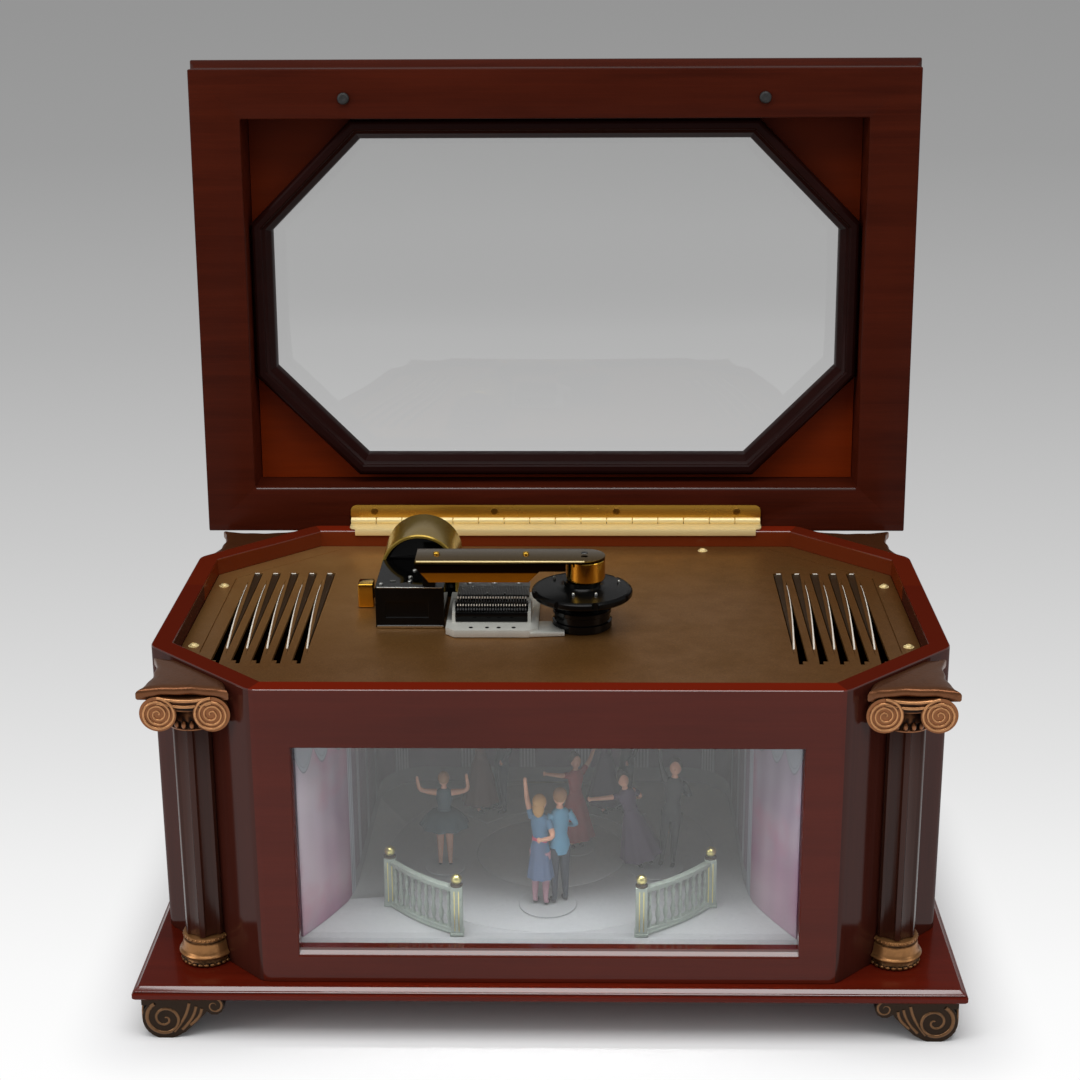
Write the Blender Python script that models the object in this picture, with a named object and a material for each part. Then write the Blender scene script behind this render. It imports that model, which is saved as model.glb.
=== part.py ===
"""Disc-playing music box with a moving ballroom behind its front window, at real size.

Lengths are metres and angles degrees. Heights are measured from the surface that the box stands on.
Plan positions are measured from the middle of the case, with the front towards -Y. At the end a
parent empty moves everything back, so that the origin is at the bottom centre of the whole object.
"""

import math

import bmesh
import bpy
from mathutils import Matrix, Vector

# Clearance between pieces that touch, and reach of a cutter past the face it opens
GAP = 0.0003
PAST = 0.002

# Case
CASE_HALF_X = 0.1667
CASE_HALF_Y = 0.1062
CHAMFER = 0.0483
WALL = 0.0089
RIM_TOP = 0.1560

# Base board and feet
BOARD_PROUD_X = 0.0056
BOARD_PROUD_Y = 0.0063
BOARD_HALF_X = CASE_HALF_X + BOARD_PROUD_X
BOARD_HALF_Y = CASE_HALF_Y + BOARD_PROUD_Y
BOARD_LOW = 0.0197
BOARD_TOP = 0.0254
BOARD_EDGE = 0.0025
FOOT_VOLUTE_R = 0.0095
FOOT_VOLUTE_Z = 0.0090
FOOT_SET_IN_X = 0.0030
FOOT_SET_IN_Y = 0.0040
FOOT_TOE_X = BOARD_HALF_X - FOOT_SET_IN_X
FOOT_TOE_Y = BOARD_HALF_Y - FOOT_SET_IN_Y
FOOT_ARM = 0.0345
FOOT_CURL_R = 0.0042
FOOT_LEAF = ((0.52, 0.15), (0.655, 0.38), (0.735, 0.53))
FOOT_THICK = 0.0120
FOOT_PLATE = 0.0040
FOOT_STEP = 0.0004

# Front window
WINDOW_STILE = 0.0158
WINDOW_HALF_X = CASE_HALF_X - CHAMFER - WINDOW_STILE
WINDOW_LOW = 0.0435
WINDOW_TOP = 0.1308
SILL_LOW = 0.0380
SILL_DEPTH = 0.0042
GLASS_THICK = 0.0024
GLASS_LAP = 0.0028

# Corner columns
COLUMN_SET_IN_X = 0.0217
COLUMN_SET_IN_Y = 0.0212
COLUMN_X = CASE_HALF_X - COLUMN_SET_IN_X
COLUMN_Y = CASE_HALF_Y - COLUMN_SET_IN_Y
SHAFT_R = 0.0086
FLUTE_DEPTH = 0.0014
FLUTES = 6
FILLET_SPAN = 14.0
BASE_R = 0.0117
BASE_TOP = 0.0382
CAPITAL_LOW = 0.1330
CAPITAL_TOP = 0.1545
ABACUS_HALF = 0.0185
ABACUS_THICK = 0.0042
ABACUS_SCOOP = 0.0035
CAPITAL_VOLUTE_R = 0.0075
CAPITAL_VOLUTE_X = 0.0108
CAPITAL_VOLUTE_Z = 0.1430
CAPITAL_VOLUTE_FRONT = 0.0165

# Top plate and its louvres
PLATE_TOP = 0.1482
PLATE_THICK = 0.0016
LOUVRES = 5
LOUVRE_SET_IN = 0.0612
LOUVRE_X = CASE_HALF_X - LOUVRE_SET_IN
LOUVRE_PITCH = 0.00855
LOUVRE_WIDTH = 0.0052
LOUVRE_FRONT = -0.0585
LOUVRE_BACK = 0.0570
FIN_WIDTH = 0.0011
SEAM_SET_IN = 0.0182
SEAM_X = CASE_HALF_X - SEAM_SET_IN
SEAM_FRONT = -0.0460
SEAM_BACK = 0.0500
SEAM_WIDTH = 0.0006

# Lid, in its own flat: s runs up from the hinge axis, n runs from the near face to the far face
LEAN = 3.2
LID_THICK = 0.0290
LID_PROUD = 0.0047
LID_OVERHANG = 0.0049
LID_HALF_X = CASE_HALF_X + LID_PROUD
LID_LOW = -0.0054
LID_TOP = 2 * CASE_HALF_Y + LID_OVERHANG
LID_LIP = 0.0036
LID_LIP_THICK = 0.0090
LID_STILE = 0.0238
LID_TOP_RAIL = 0.0230
OPENING_HALF_X = LID_HALF_X - LID_STILE
OPENING_LOW = 0.0165
OPENING_TOP = LID_TOP - LID_TOP_RAIL
RECESS_DEPTH = 0.0222
CORNER_BOARD = 0.0025
BACK_LAP = 0.0092
MOULDING_WIDTH = 0.0096
MOULDING_HEIGHT = 0.0120
PANE_SET_IN_X = 0.0102
PANE_SET_IN_TOP = 0.0101
PANE_HALF_X = OPENING_HALF_X - PANE_SET_IN_X
PANE_LOW = 0.0296
PANE_TOP = OPENING_TOP - PANE_SET_IN_TOP
PANE_CHAMFER = 0.0440
PANE_THICK = 0.0024
BUMPER_X = 0.0986
BUMPER_SET_IN = 0.0135
BUMPER_S = LID_TOP - BUMPER_SET_IN
BUMPER_R = 0.0028
BUMPER_HEIGHT = 0.0018

# Piano hinge
HINGE_HALF_X = 0.1008
HINGE_BEHIND = 0.0010
HINGE_Y = CASE_HALF_Y + HINGE_BEHIND
HINGE_KNUCKLE_R = 0.0019
HINGE_PIN_R = 0.0009
HINGE_LEAF = 0.0008
HINGE_PAIRS = 8
HINGE_LOWER_REACH = 0.0090
HINGE_UPPER_REACH = 0.0080
HINGE_FACE = 0.0005

# Disc movement on the top plate
HOUSING_X = (-0.0765, -0.0465)
HOUSING_Y = (-0.0163, 0.0210)
HOUSING_HIGH = 0.0185
DOME_X = -0.0602
DOME_R = 0.0176
DOME_BACK = 0.0540
DOME_HIGH = 0.0301
HUB_X = 0.0136
HUB_Y = -0.0130
HUB_BASE_R = 0.0130
HUB_BASE_HIGH = 0.0098
FLANGE_R = 0.0220
FLANGE_HIGH = 0.0172
NECK_R = 0.0080
NECK_HIGH = 0.0212
ARM_HALF_Y = 0.0088
ARM_LEFT = -0.0584
ARM_RIGHT = 0.0236
ARM_TOP = 0.0323
ARM_SKIRT = 0.0095
ARM_SHEET = 0.0013
ARM_PIVOT_X = -0.0530
ARM_PIVOT_DROP = 0.0050
ARM_PIVOT_R = 0.0010
ARM_LUG_R = 0.0028
ARM_NOTCH_X = -0.0048
ARM_NOTCH_HIGH = 0.0046
CAP_R = 0.0085
CAP_EDGE = 0.0008
LEVER_X = (-0.0870, -0.0800)
LEVER_Y = 0.0130
LEVER_WIDE = 0.0080
LEVER_HIGH = 0.0110
LEVER_STEM = 0.0036
LEVER_TRAVEL = 0.0050
BED_X = (-0.0455, -0.0054)
BED_Y = (-0.0284, 0.0207)
BED_THICK = 0.0032
BED_CORNER = 0.0040
TONGUE_RIGHT = 0.0060
TONGUE_THICK = 0.0018
TROUGH_X = (-0.0430, -0.0087)
TROUGH_Y = (-0.0185, -0.0035)
TROUGH_HIGH = 0.0078
TROUGH_WALL = 0.0012
STARS = 16
STAR_TIPS = 5
STAR_R = 0.0048
STAR_ROOT_R = 0.0024
STAR_SHAFT_R = 0.0014
COMB_TEETH = 22
COMB_TIP_Y = 0.0012
COMB_ROOT_Y = 0.0130
COMB_BACK_Y = 0.0195
COMB_SHEET = 0.0012
COMB_HIGH = 0.0090
MOTOR_DEPTH = 0.0260

# Moving scene behind the window
STAGE_TOP = 0.0380
STAGE_BED = 0.0030
STAGE_SET_IN_X = 0.0267
STAGE_SET_IN_FRONT = 0.0095
STAGE_SET_IN_BACK = 0.0132
STAGE_HALF_X = CASE_HALF_X - STAGE_SET_IN_X
STAGE_FRONT = STAGE_SET_IN_FRONT - CASE_HALF_Y
STAGE_BACK = CASE_HALF_Y - STAGE_SET_IN_BACK
STAGE_CORNER = 0.0300
RING_ROOM = 0.0417
RING_R = (STAGE_BACK - STAGE_FRONT - RING_ROOM) / 2
RING_BEHIND_FRONT = 0.0102
STAGE_Y = STAGE_FRONT + RING_BEHIND_FRONT + RING_R
RING_WIDE = 0.0400
DISC_R = RING_R - RING_WIDE
TABLE_THICK = 0.0025
GEAR_THICK = 0.0055
DISC_TEETH = 32
IDLER_TEETH = 10
DRIVE_TEETH = 56
PINION_TEETH = 10
GEAR_UNDER_EDGE = 0.0020
DRIVE_UNDER_EDGE = 0.0040
GEAR_MODULE = 2 * (DISC_R - GEAR_UNDER_EDGE) / DISC_TEETH
DRIVE_MODULE = 2 * (RING_R - DRIVE_UNDER_EDGE) / DRIVE_TEETH
AXLE_R = 0.0030
STAGE_GEARBOX_HALF_X = 0.0260
STAGE_GEARBOX_HIGH = 0.0120
BACKDROP_SHEET = 0.0016
BACKDROP_TOP = 0.1380
BACKDROP_SIDE_ROOM = 0.0105
BACKDROP_BACK_ROOM = 0.0020
BACKDROP_SIDE_X = RING_R + BACKDROP_SIDE_ROOM
BACKDROP_BACK_Y = STAGE_Y + RING_R + BACKDROP_BACK_ROOM
STAGE_MOTOR_ROOM = 0.0045
STAGE_MOTOR_R = (STAGE_BACK - BACKDROP_BACK_Y - STAGE_MOTOR_ROOM) / 2
STAGE_MOTOR_HIGH = 0.0300
STAGE_MOTOR_EDGE = 0.0020
BACKDROP_CORNER = 0.0220
BACKDROP_FOOT = (
    (WINDOW_HALF_X + 0.0011, STAGE_FRONT + 0.0053),
    (WINDOW_HALF_X - 0.0071, STAGE_FRONT + 0.0207),
    (WINDOW_HALF_X - 0.0142, STAGE_FRONT + 0.0367),
    (WINDOW_HALF_X - 0.0169, STAGE_FRONT + 0.0567),
)
RAIL_OUTSIDE = 0.0110
RAIL_R = RING_R + RAIL_OUTSIDE
RAIL_SPAN = (36.0, 63.0)
RAIL_HIGH = 0.0225
RAIL_THICK = 0.0024
BALUSTERS = 9
POST_WIDE = 0.0052
BALL_R = 0.0023
FIGURE_SET_IN = 0.0240
FIGURE_R = RING_R - FIGURE_SET_IN
WOMAN_TALL = 0.0500
MAN_TALL = 0.0520
DANCER_TALL = 0.0460
DRESS_R = 0.0120
PAIR_APART = 0.0110
PAIR_STAND_R = 0.0125
DANCER_STAND_R = 0.0090
ARC_STAND_WIDE = 0.0170
STAND_THICK = 0.0010

# Rear inlet
JACK_SET_IN = 0.0667
JACK_X = CASE_HALF_X - JACK_SET_IN
JACK_Z = 0.0400
JACK_R = 0.0055
JACK_BORE_R = 0.0028

# Heights and gear sizes that follow from the sizes above
HINGE_Z = RIM_TOP + GAP + HINGE_KNUCKLE_R
MOVEMENT_Z = PLATE_TOP + GAP
PANE_NEAR = RECESS_DEPTH + CORNER_BOARD + GAP
RING_TEETH = DISC_TEETH + 2 * IDLER_TEETH
IDLER_X = GEAR_MODULE * (DISC_TEETH + IDLER_TEETH) / 2
PINION_Y = STAGE_Y + DRIVE_MODULE * (DRIVE_TEETH + PINION_TEETH) / 2
GEAR_LOW = BOARD_TOP + GAP + STAGE_BED + GAP
FIGURE_Z = STAGE_TOP + GAP

FINISHES = {
    "mahogany": ((0.090, 0.012, 0.009), 0.32, 0.0),
    "orange_brown_board": ((0.110, 0.022, 0.005), 0.45, 0.0),
    "dark_moulding": ((0.016, 0.004, 0.005), 0.35, 0.0),
    "bronze": ((0.260, 0.110, 0.055), 0.38, 0.85),
    "speckled_plate": ((0.180, 0.095, 0.030), 0.45, 0.60),
    "brass": ((0.780, 0.520, 0.140), 0.15, 1.0),
    "black_gloss": ((0.006, 0.006, 0.007), 0.12, 0.0),
    "grey_cast": ((0.330, 0.350, 0.350), 0.40, 0.80),
    "steel": ((0.480, 0.480, 0.470), 0.30, 1.0),
    "glass": ((0.900, 0.930, 0.920), 0.03, 0.0),
    "rubber": ((0.024, 0.027, 0.030), 0.60, 0.0),
    "lavender_floor": ((0.480, 0.500, 0.580), 0.50, 0.0),
    "drape_print": ((0.330, 0.200, 0.290), 0.60, 0.0),
    "pale_green_resin": ((0.400, 0.460, 0.410), 0.50, 0.0),
    "painted_figure": ((0.100, 0.150, 0.360), 0.55, 0.0),
    "gear_plastic": ((0.500, 0.480, 0.430), 0.50, 0.0),
}


def clear_scene():
    for obj in list(bpy.data.objects):
        bpy.data.objects.remove(obj, do_unlink=True)


def finish(name):
    """The finish's material, made on its first use."""
    found = bpy.data.materials.get(name)
    if found:
        return found
    colour, roughness, metallic = FINISHES[name]
    made = bpy.data.materials.new(name)
    made.use_nodes = True
    shader = made.node_tree.nodes["Principled BSDF"]
    shader.inputs["Base Color"].default_value = (*colour, 1.0)
    shader.inputs["Roughness"].default_value = roughness
    shader.inputs["Metallic"].default_value = metallic
    return made


def lofted(rings, closed=False):
    """Body through rings of 3-D points: capped at both ends, or joined from the last ring to the first."""
    shape = bmesh.new()
    rows = [[shape.verts.new(point) for point in ring] for ring in rings]
    sides = len(rows[0])
    for near, far in zip(rows, rows[1:] + rows[:1] if closed else rows[1:]):
        for i in range(sides):
            j = (i + 1) % sides
            shape.faces.new((near[i], near[j], far[j], far[i]))
    if not closed:
        shape.faces.new(rows[0])
        shape.faces.new(rows[-1])
    bmesh.ops.recalc_face_normals(shape, faces=shape.faces)
    return shape


def extrusion(outline, low, high, axis="z"):
    """Prism on an outline in the two other directions, from low to high along the axis."""
    place = {"x": lambda a, b, c: (c, a, b), "y": lambda a, b, c: (a, c, b), "z": lambda a, b, c: (a, b, c)}
    return lofted([[place[axis](a, b, c) for a, b in outline] for c in (low, high)])


def block(x, y, z):
    """Box between two values each way."""
    return extrusion([(x[0], y[0]), (x[1], y[0]), (x[1], y[1]), (x[0], y[1])], z[0], z[1])


def circle(radius, sides, centre=(0.0, 0.0), start=0.0):
    """Points of a circle, counter-clockwise from the start angle."""
    turn = [math.radians(start) + math.tau * i / sides for i in range(sides)]
    return [(centre[0] + radius * math.cos(a), centre[1] + radius * math.sin(a)) for a in turn]


def turned(profile, sides, centre, axis="z", closed=False):
    """Turned body: a profile of (radius, height) points, round an axis through the centre."""
    rings = []
    for radius, height in profile:
        points = []
        for a, b in circle(radius, sides):
            place = {"x": (height, a, b), "y": (a, height, b), "z": (a, b, height)}[axis]
            points.append(Vector(centre) + Vector(place))
        rings.append(points)
    return lofted(rings, closed)


def octagon(half_x, low_y, high_y, chamfer):
    """Rectangle with its four corners cut at 45 degrees."""
    return [
        (half_x - chamfer, low_y),
        (half_x, low_y + chamfer),
        (half_x, high_y - chamfer),
        (half_x - chamfer, high_y),
        (chamfer - half_x, high_y),
        (-half_x, high_y - chamfer),
        (-half_x, low_y + chamfer),
        (chamfer - half_x, low_y),
    ]


def rectangle(half_x, low_y, high_y):
    return [(-half_x, low_y), (half_x, low_y), (half_x, high_y), (-half_x, high_y)]


def mirrored(shape, across_x, across_y):
    """The body turned over across the x or y middle, with its faces kept outwards."""
    turn = Matrix.Diagonal((-1.0 if across_x else 1.0, -1.0 if across_y else 1.0, 1.0, 1.0))
    bmesh.ops.transform(shape, matrix=turn, verts=shape.verts)
    bmesh.ops.recalc_face_normals(shape, faces=shape.faces)
    return shape


def mesh_of(shape, name):
    mesh = bpy.data.meshes.new(name)
    shape.to_mesh(mesh)
    shape.free()
    return mesh


def combine(body, operation, *tools):
    """Boolean of the body with each tool in turn. The bodies are meshes in case positions."""
    target = bpy.data.objects.new("target", mesh_of(body, "target"))
    bpy.context.scene.collection.objects.link(target)
    helpers = []
    for tool in tools:
        helper = bpy.data.objects.new("tool", mesh_of(tool, "tool"))
        bpy.context.scene.collection.objects.link(helper)
        modifier = target.modifiers.new(operation, "BOOLEAN")
        modifier.operation = operation
        modifier.object = helper
        helpers.append(helper)
    graph = bpy.context.evaluated_depsgraph_get()
    result = bmesh.new()
    result.from_mesh(target.evaluated_get(graph).data)
    for obj in [target, *helpers]:
        bpy.data.objects.remove(obj, do_unlink=True)
    return result


def fused(body, *tools):
    return combine(body, "UNION", *tools)


def carved(body, *tools):
    return combine(body, "DIFFERENCE", *tools)


def together(*shapes):
    """Several bodies that stand apart, as one shape, for use as a single tool."""
    result = shapes[0]
    for shape in shapes[1:]:
        result.from_mesh(mesh_of(shape, "more"))
    return result


def piece(name, shape, finish_name, axis_point=(0.0, 0.0, 0.0), smooth=None):
    """The named object, with its origin on axis_point. smooth is the angle past which edges stay sharp."""
    bmesh.ops.translate(shape, vec=-Vector(axis_point), verts=shape.verts)
    mesh = mesh_of(shape, name)
    if smooth:
        mesh.shade_smooth()
        mesh.set_sharp_from_angle(angle=math.radians(smooth))
    mesh.materials.append(finish(finish_name))
    obj = bpy.data.objects.new(name, mesh)
    obj.location = axis_point
    bpy.context.scene.collection.objects.link(obj)
    return obj


def lid_y(n):
    """Case position of a depth in the lid, while the lid is thought upright on its hinge axis."""
    return HINGE_Y + HINGE_FACE + n


def lid_rings(outlines):
    """Rings for an upright lid piece, from pairs of an (x, s) outline and its depth n."""
    return [[(x, lid_y(n), HINGE_Z + s) for x, s in outline] for outline, n in outlines]


def leaned(shape):
    """The upright lid piece as it stands at rest, leaning back about the hinge axis."""
    turn = Matrix.Rotation(math.radians(-LEAN), 4, "X")
    axis = Vector((0.0, HINGE_Y, HINGE_Z))
    move = Matrix.Translation(axis) @ turn @ Matrix.Translation(-axis)
    bmesh.ops.transform(shape, matrix=move, verts=shape.verts)
    return shape


def case_side(clearance=0.0):
    """Prism of the case's outer plan, grown by the clearance, for cutting the column pieces."""
    grow = clearance * (2 - math.sqrt(2))
    half_x = CASE_HALF_X + clearance
    half_y = CASE_HALF_Y + clearance
    return extrusion(octagon(half_x, -half_y, half_y, CHAMFER + grow), -PAST, RIM_TOP + PAST)


def base_board():
    edge = BOARD_EDGE
    levels = (
        (BOARD_LOW, edge * 0.4),
        (BOARD_LOW + edge * 0.4, 0.0),
        (BOARD_LOW + edge * 1.2, 0.0),
        (BOARD_LOW + edge * 1.7, edge * 0.4),
        (BOARD_TOP - edge * 0.2, edge * 0.8),
        (BOARD_TOP, edge),
    )
    rings = []
    for z, inset in levels:
        outline = rectangle(BOARD_HALF_X - inset, inset - BOARD_HALF_Y, BOARD_HALF_Y - inset)
        rings.append([(x, y, z) for x, y in outline])
    piece("base_board", lofted(rings), "mahogany")


def foot_arm(toe, depth, axis, top):
    """Scroll and leaf seen from the flat side: toe is the far end of the foot, depth its two faces."""
    volute = (toe - FOOT_VOLUTE_R, FOOT_VOLUTE_Z)
    curl = (toe - FOOT_ARM + FOOT_CURL_R, top - FOOT_CURL_R)
    outline = [(toe, top), (toe, top - FOOT_PLATE)]
    for i in range(11):
        turn = math.radians(42 - 162 * i / 10)
        out, up = math.cos(turn), math.sin(turn)
        outline.append((volute[0] + FOOT_VOLUTE_R * out, volute[1] + FOOT_VOLUTE_R * up))
    for along, up in FOOT_LEAF:
        outline.append((toe - FOOT_ARM * along, top * up))
    for i in range(8):
        turn = math.radians(-40 - 230 * i / 7)
        outline.append((curl[0] + FOOT_CURL_R * math.cos(turn), curl[1] + FOOT_CURL_R * math.sin(turn)))
    return extrusion(outline, *depth, axis)


def feet():
    """A corner foot has one scroll along the front and one along the side, which stands in a little."""
    top = BOARD_LOW - GAP
    for front in (True, False):
        for right in (True, False):
            along = foot_arm(FOOT_TOE_X, (-FOOT_TOE_Y, FOOT_THICK - FOOT_TOE_Y), "y", top)
            side_x = FOOT_TOE_X - FOOT_STEP
            side = foot_arm(FOOT_TOE_Y - FOOT_STEP, (side_x - FOOT_THICK, side_x), "x", top - FOOT_STEP)
            mirrored(side, False, True)
            slab = block((-1, 1), (-1, 1), (-1, 0))
            shape = carved(fused(along, side), slab)
            mirrored(shape, not right, not front)
            name = f"foot_{'front' if front else 'rear'}_{'right' if right else 'left'}"
            piece(name, shape, "bronze")


def mitred_board(start, end, inward):
    """Plan of a board between two corners of the case, its ends cut to meet a board at 45 degrees."""
    along = Vector(end) - Vector(start)
    along.normalize()
    pull = GAP / 2 / math.cos(math.pi / 8)
    shorter = WALL * math.tan(math.pi / 8) + pull
    first = Vector(start) + along * pull
    last = Vector(end) - along * pull
    inner_last = Vector(end) - along * shorter + Vector(inward) * WALL
    inner_first = Vector(start) + along * shorter + Vector(inward) * WALL
    return [tuple(point) for point in (first, last, inner_last, inner_first)]


def window_cutter():
    """The window's hole, with its sloping sill and the rebate that holds the glass from behind."""
    front = -CASE_HALF_Y
    back = front + WALL
    rebate = back - GLASS_THICK - GAP
    sill = front + SILL_DEPTH
    half = WINDOW_HALF_X
    lap = half + GLASS_LAP
    levels = (
        (front - PAST, half + GAP, SILL_LOW - PAST, WINDOW_TOP),
        (sill, half, WINDOW_LOW, WINDOW_TOP),
        (rebate, half, WINDOW_LOW, WINDOW_TOP),
        (rebate + GAP / 10, lap, WINDOW_LOW - GLASS_LAP, WINDOW_TOP + GLASS_LAP),
        (back + PAST, lap, WINDOW_LOW - GLASS_LAP, WINDOW_TOP + GLASS_LAP),
    )
    rings = []
    for y, half_x, low, high in levels:
        rings.append([(x, y, z) for x, z in rectangle(half_x, low, high)])
    return lofted(rings)


def case():
    flat_x = CASE_HALF_X - CHAMFER
    flat_y = CASE_HALF_Y - CHAMFER
    low = BOARD_TOP + GAP
    front = mitred_board((-flat_x, -CASE_HALF_Y), (flat_x, -CASE_HALF_Y), (0, 1))
    panel = carved(extrusion(front, low, RIM_TOP), window_cutter())
    piece("front_panel", panel, "mahogany")
    rear = mirrored(extrusion(front, low, RIM_TOP), False, True)
    inside = CASE_HALF_Y - WALL - PAST
    bore_r = JACK_BORE_R * 1.6
    bore = turned([(bore_r, inside), (bore_r, CASE_HALF_Y + PAST)], 16, (JACK_X, 0, JACK_Z), "y")
    piece("rear_panel", carved(rear, bore), "mahogany")
    side = mitred_board((CASE_HALF_X, -flat_y), (CASE_HALF_X, flat_y), (-1, 0))
    piece("right_panel", extrusion(side, low, RIM_TOP), "mahogany")
    piece("left_panel", mirrored(extrusion(side, low, RIM_TOP), True, False), "mahogany")
    slope = math.sqrt(0.5)
    corner = mitred_board((flat_x, -CASE_HALF_Y), (CASE_HALF_X, -flat_y), (-slope, slope))
    for front_side in (True, False):
        for right in (True, False):
            shape = mirrored(extrusion(corner, low, RIM_TOP), not right, not front_side)
            name = f"corner_panel_{'front' if front_side else 'rear'}_{'right' if right else 'left'}"
            piece(name, shape, "mahogany")


def window_glass():
    back = -CASE_HALF_Y + WALL
    half = WINDOW_HALF_X + GLASS_LAP - GAP
    low = WINDOW_LOW - GLASS_LAP + GAP
    high = WINDOW_TOP + GLASS_LAP - GAP
    shape = block((-half, half), (back - GLASS_THICK, back), (low, high))
    piece("window_glass", shape, "glass")


def column_shaft():
    """Narrow fillets, one of them facing the front, between wide hollow flutes."""
    span = 360.0 / FLUTES
    hollow = span - FILLET_SPAN
    outline = []
    for i in range(FLUTES):
        start = -90.0 - FILLET_SPAN / 2 + span * i
        outline += [(start, 0.0), (start + FILLET_SPAN, 0.0)]
        for share, dip in ((0.15, 0.7), (0.35, 1.0), (0.65, 1.0), (0.85, 0.7)):
            outline.append((start + FILLET_SPAN + hollow * share, dip * FLUTE_DEPTH))
    plan = []
    for degrees, dip in outline:
        turn = math.radians(degrees)
        radius = SHAFT_R - dip
        plan.append((COLUMN_X + radius * math.cos(turn), -COLUMN_Y + radius * math.sin(turn)))
    return extrusion(plan, BASE_TOP + GAP, CAPITAL_LOW - GAP)


def column_base():
    """Bead ring at the foot, a bell with a lip, a groove and a thin collar under the shaft."""
    low = BOARD_TOP + GAP
    tall = BASE_TOP - low
    profile = (
        (BASE_R * 0.96, 0.0),
        (BASE_R * 0.96, 0.14),
        (BASE_R * 0.86, 0.25),
        (BASE_R * 0.99, 0.33),
        (BASE_R, 0.38),
        (BASE_R * 0.92, 0.52),
        (BASE_R * 0.85, 0.66),
        (BASE_R * 0.82, 0.79),
        (BASE_R * 0.77, 0.85),
        (BASE_R * 0.84, 0.90),
        (BASE_R * 0.83, 1.0),
    )
    return turned([(r, low + tall * share) for r, share in profile], 18, (COLUMN_X, -COLUMN_Y, 0))


def abacus_outline():
    """Square with its four sides scooped in between the tips."""
    tips = [(1, -1), (1, 1), (-1, 1), (-1, -1)]
    outline = []
    for (ax, ay), (bx, by) in zip(tips, tips[1:] + tips[:1]):
        for share in (0.0, 0.08, 0.3, 0.5, 0.7, 0.92):
            x = ax + (bx - ax) * share
            y = ay + (by - ay) * share
            scoop = 1 - ABACUS_SCOOP / ABACUS_HALF * 4 * share * (1 - share)
            x *= scoop if ax == bx else 1.0
            y *= scoop if ay == by else 1.0
            outline.append((COLUMN_X + ABACUS_HALF * x, -COLUMN_Y + ABACUS_HALF * y))
    return outline


def column_capital():
    abacus = extrusion(abacus_outline(), CAPITAL_TOP - ABACUS_THICK, CAPITAL_TOP)
    centre = (COLUMN_X, -COLUMN_Y, 0)
    under = CAPITAL_TOP - ABACUS_THICK / 2
    profile = [(SHAFT_R * 1.12, CAPITAL_LOW), (SHAFT_R * 1.2, CAPITAL_LOW + 0.003), (SHAFT_R * 1.1, under)]
    neck = turned(profile, 16, centre)
    scrolls = []
    for side in (-1, 1):
        at = (COLUMN_X + side * CAPITAL_VOLUTE_X, 0, CAPITAL_VOLUTE_Z)
        front = -COLUMN_Y - CAPITAL_VOLUTE_FRONT
        back = -COLUMN_Y + CAPITAL_VOLUTE_FRONT
        bolster = (
            (CAPITAL_VOLUTE_R, front),
            (CAPITAL_VOLUTE_R, front + 0.004),
            (CAPITAL_VOLUTE_R * 0.8, -COLUMN_Y),
            (CAPITAL_VOLUTE_R, back - 0.004),
            (CAPITAL_VOLUTE_R, back),
        )
        scrolls.append(turned(bolster, 18, at, "y"))
    bridge_x = (COLUMN_X - CAPITAL_VOLUTE_X, COLUMN_X + CAPITAL_VOLUTE_X)
    bridge_y = (-COLUMN_Y - CAPITAL_VOLUTE_FRONT + 0.002, -COLUMN_Y + CAPITAL_VOLUTE_FRONT - 0.002)
    bridge = block(bridge_x, bridge_y, (CAPITAL_VOLUTE_Z - 0.001, under))
    return fused(abacus, neck, *scrolls, bridge)


def columns():
    """Each corner's shaft, base and capital stand against the chamfered corner board."""
    parts = (
        ("shaft", column_shaft, "dark_moulding"),
        ("base", column_base, "bronze"),
        ("capital", column_capital, "bronze"),
    )
    for front in (True, False):
        for right in (True, False):
            for part_name, build, finish_name in parts:
                shape = mirrored(carved(build(), case_side(GAP)), not right, not front)
                name = f"column_{part_name}_{'front' if front else 'rear'}_{'right' if right else 'left'}"
                piece(name, shape, finish_name, smooth=35)


def top_plate():
    """Plate with louvres: each slot is two triangles either side of a diagonal fin."""
    inset = WALL + GAP
    chamfer = CHAMFER - inset * (2 - math.sqrt(2))
    outline = octagon(CASE_HALF_X - inset, inset - CASE_HALF_Y, CASE_HALF_Y - inset, chamfer)
    plate = extrusion(outline, PLATE_TOP - PLATE_THICK, PLATE_TOP)
    low = PLATE_TOP - PLATE_THICK - PAST
    high = PLATE_TOP + PAST
    cuts = []
    for side in (-1, 1):
        for i in range(LOUVRES):
            middle = LOUVRE_X + LOUVRE_PITCH * i
            inner = middle - LOUVRE_WIDTH / 2
            outer = middle + LOUVRE_WIDTH / 2
            short = FIN_WIDTH * 8
            near = [(inner, LOUVRE_FRONT + short), (inner, LOUVRE_BACK), (outer - FIN_WIDTH, LOUVRE_BACK)]
            far = [(inner + FIN_WIDTH, LOUVRE_FRONT), (outer, LOUVRE_FRONT), (outer, LOUVRE_BACK - short)]
            for triangle in (near, far):
                cuts.append(extrusion([(side * x, y) for x, y in triangle], low, high))
        seam = (side * SEAM_X - SEAM_WIDTH / 2, side * SEAM_X + SEAM_WIDTH / 2)
        cuts.append(block(seam, (SEAM_FRONT, SEAM_BACK), (PLATE_TOP - PLATE_THICK / 3, high)))
    piece("top_plate", carved(plate, together(*cuts)), "speckled_plate")


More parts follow.
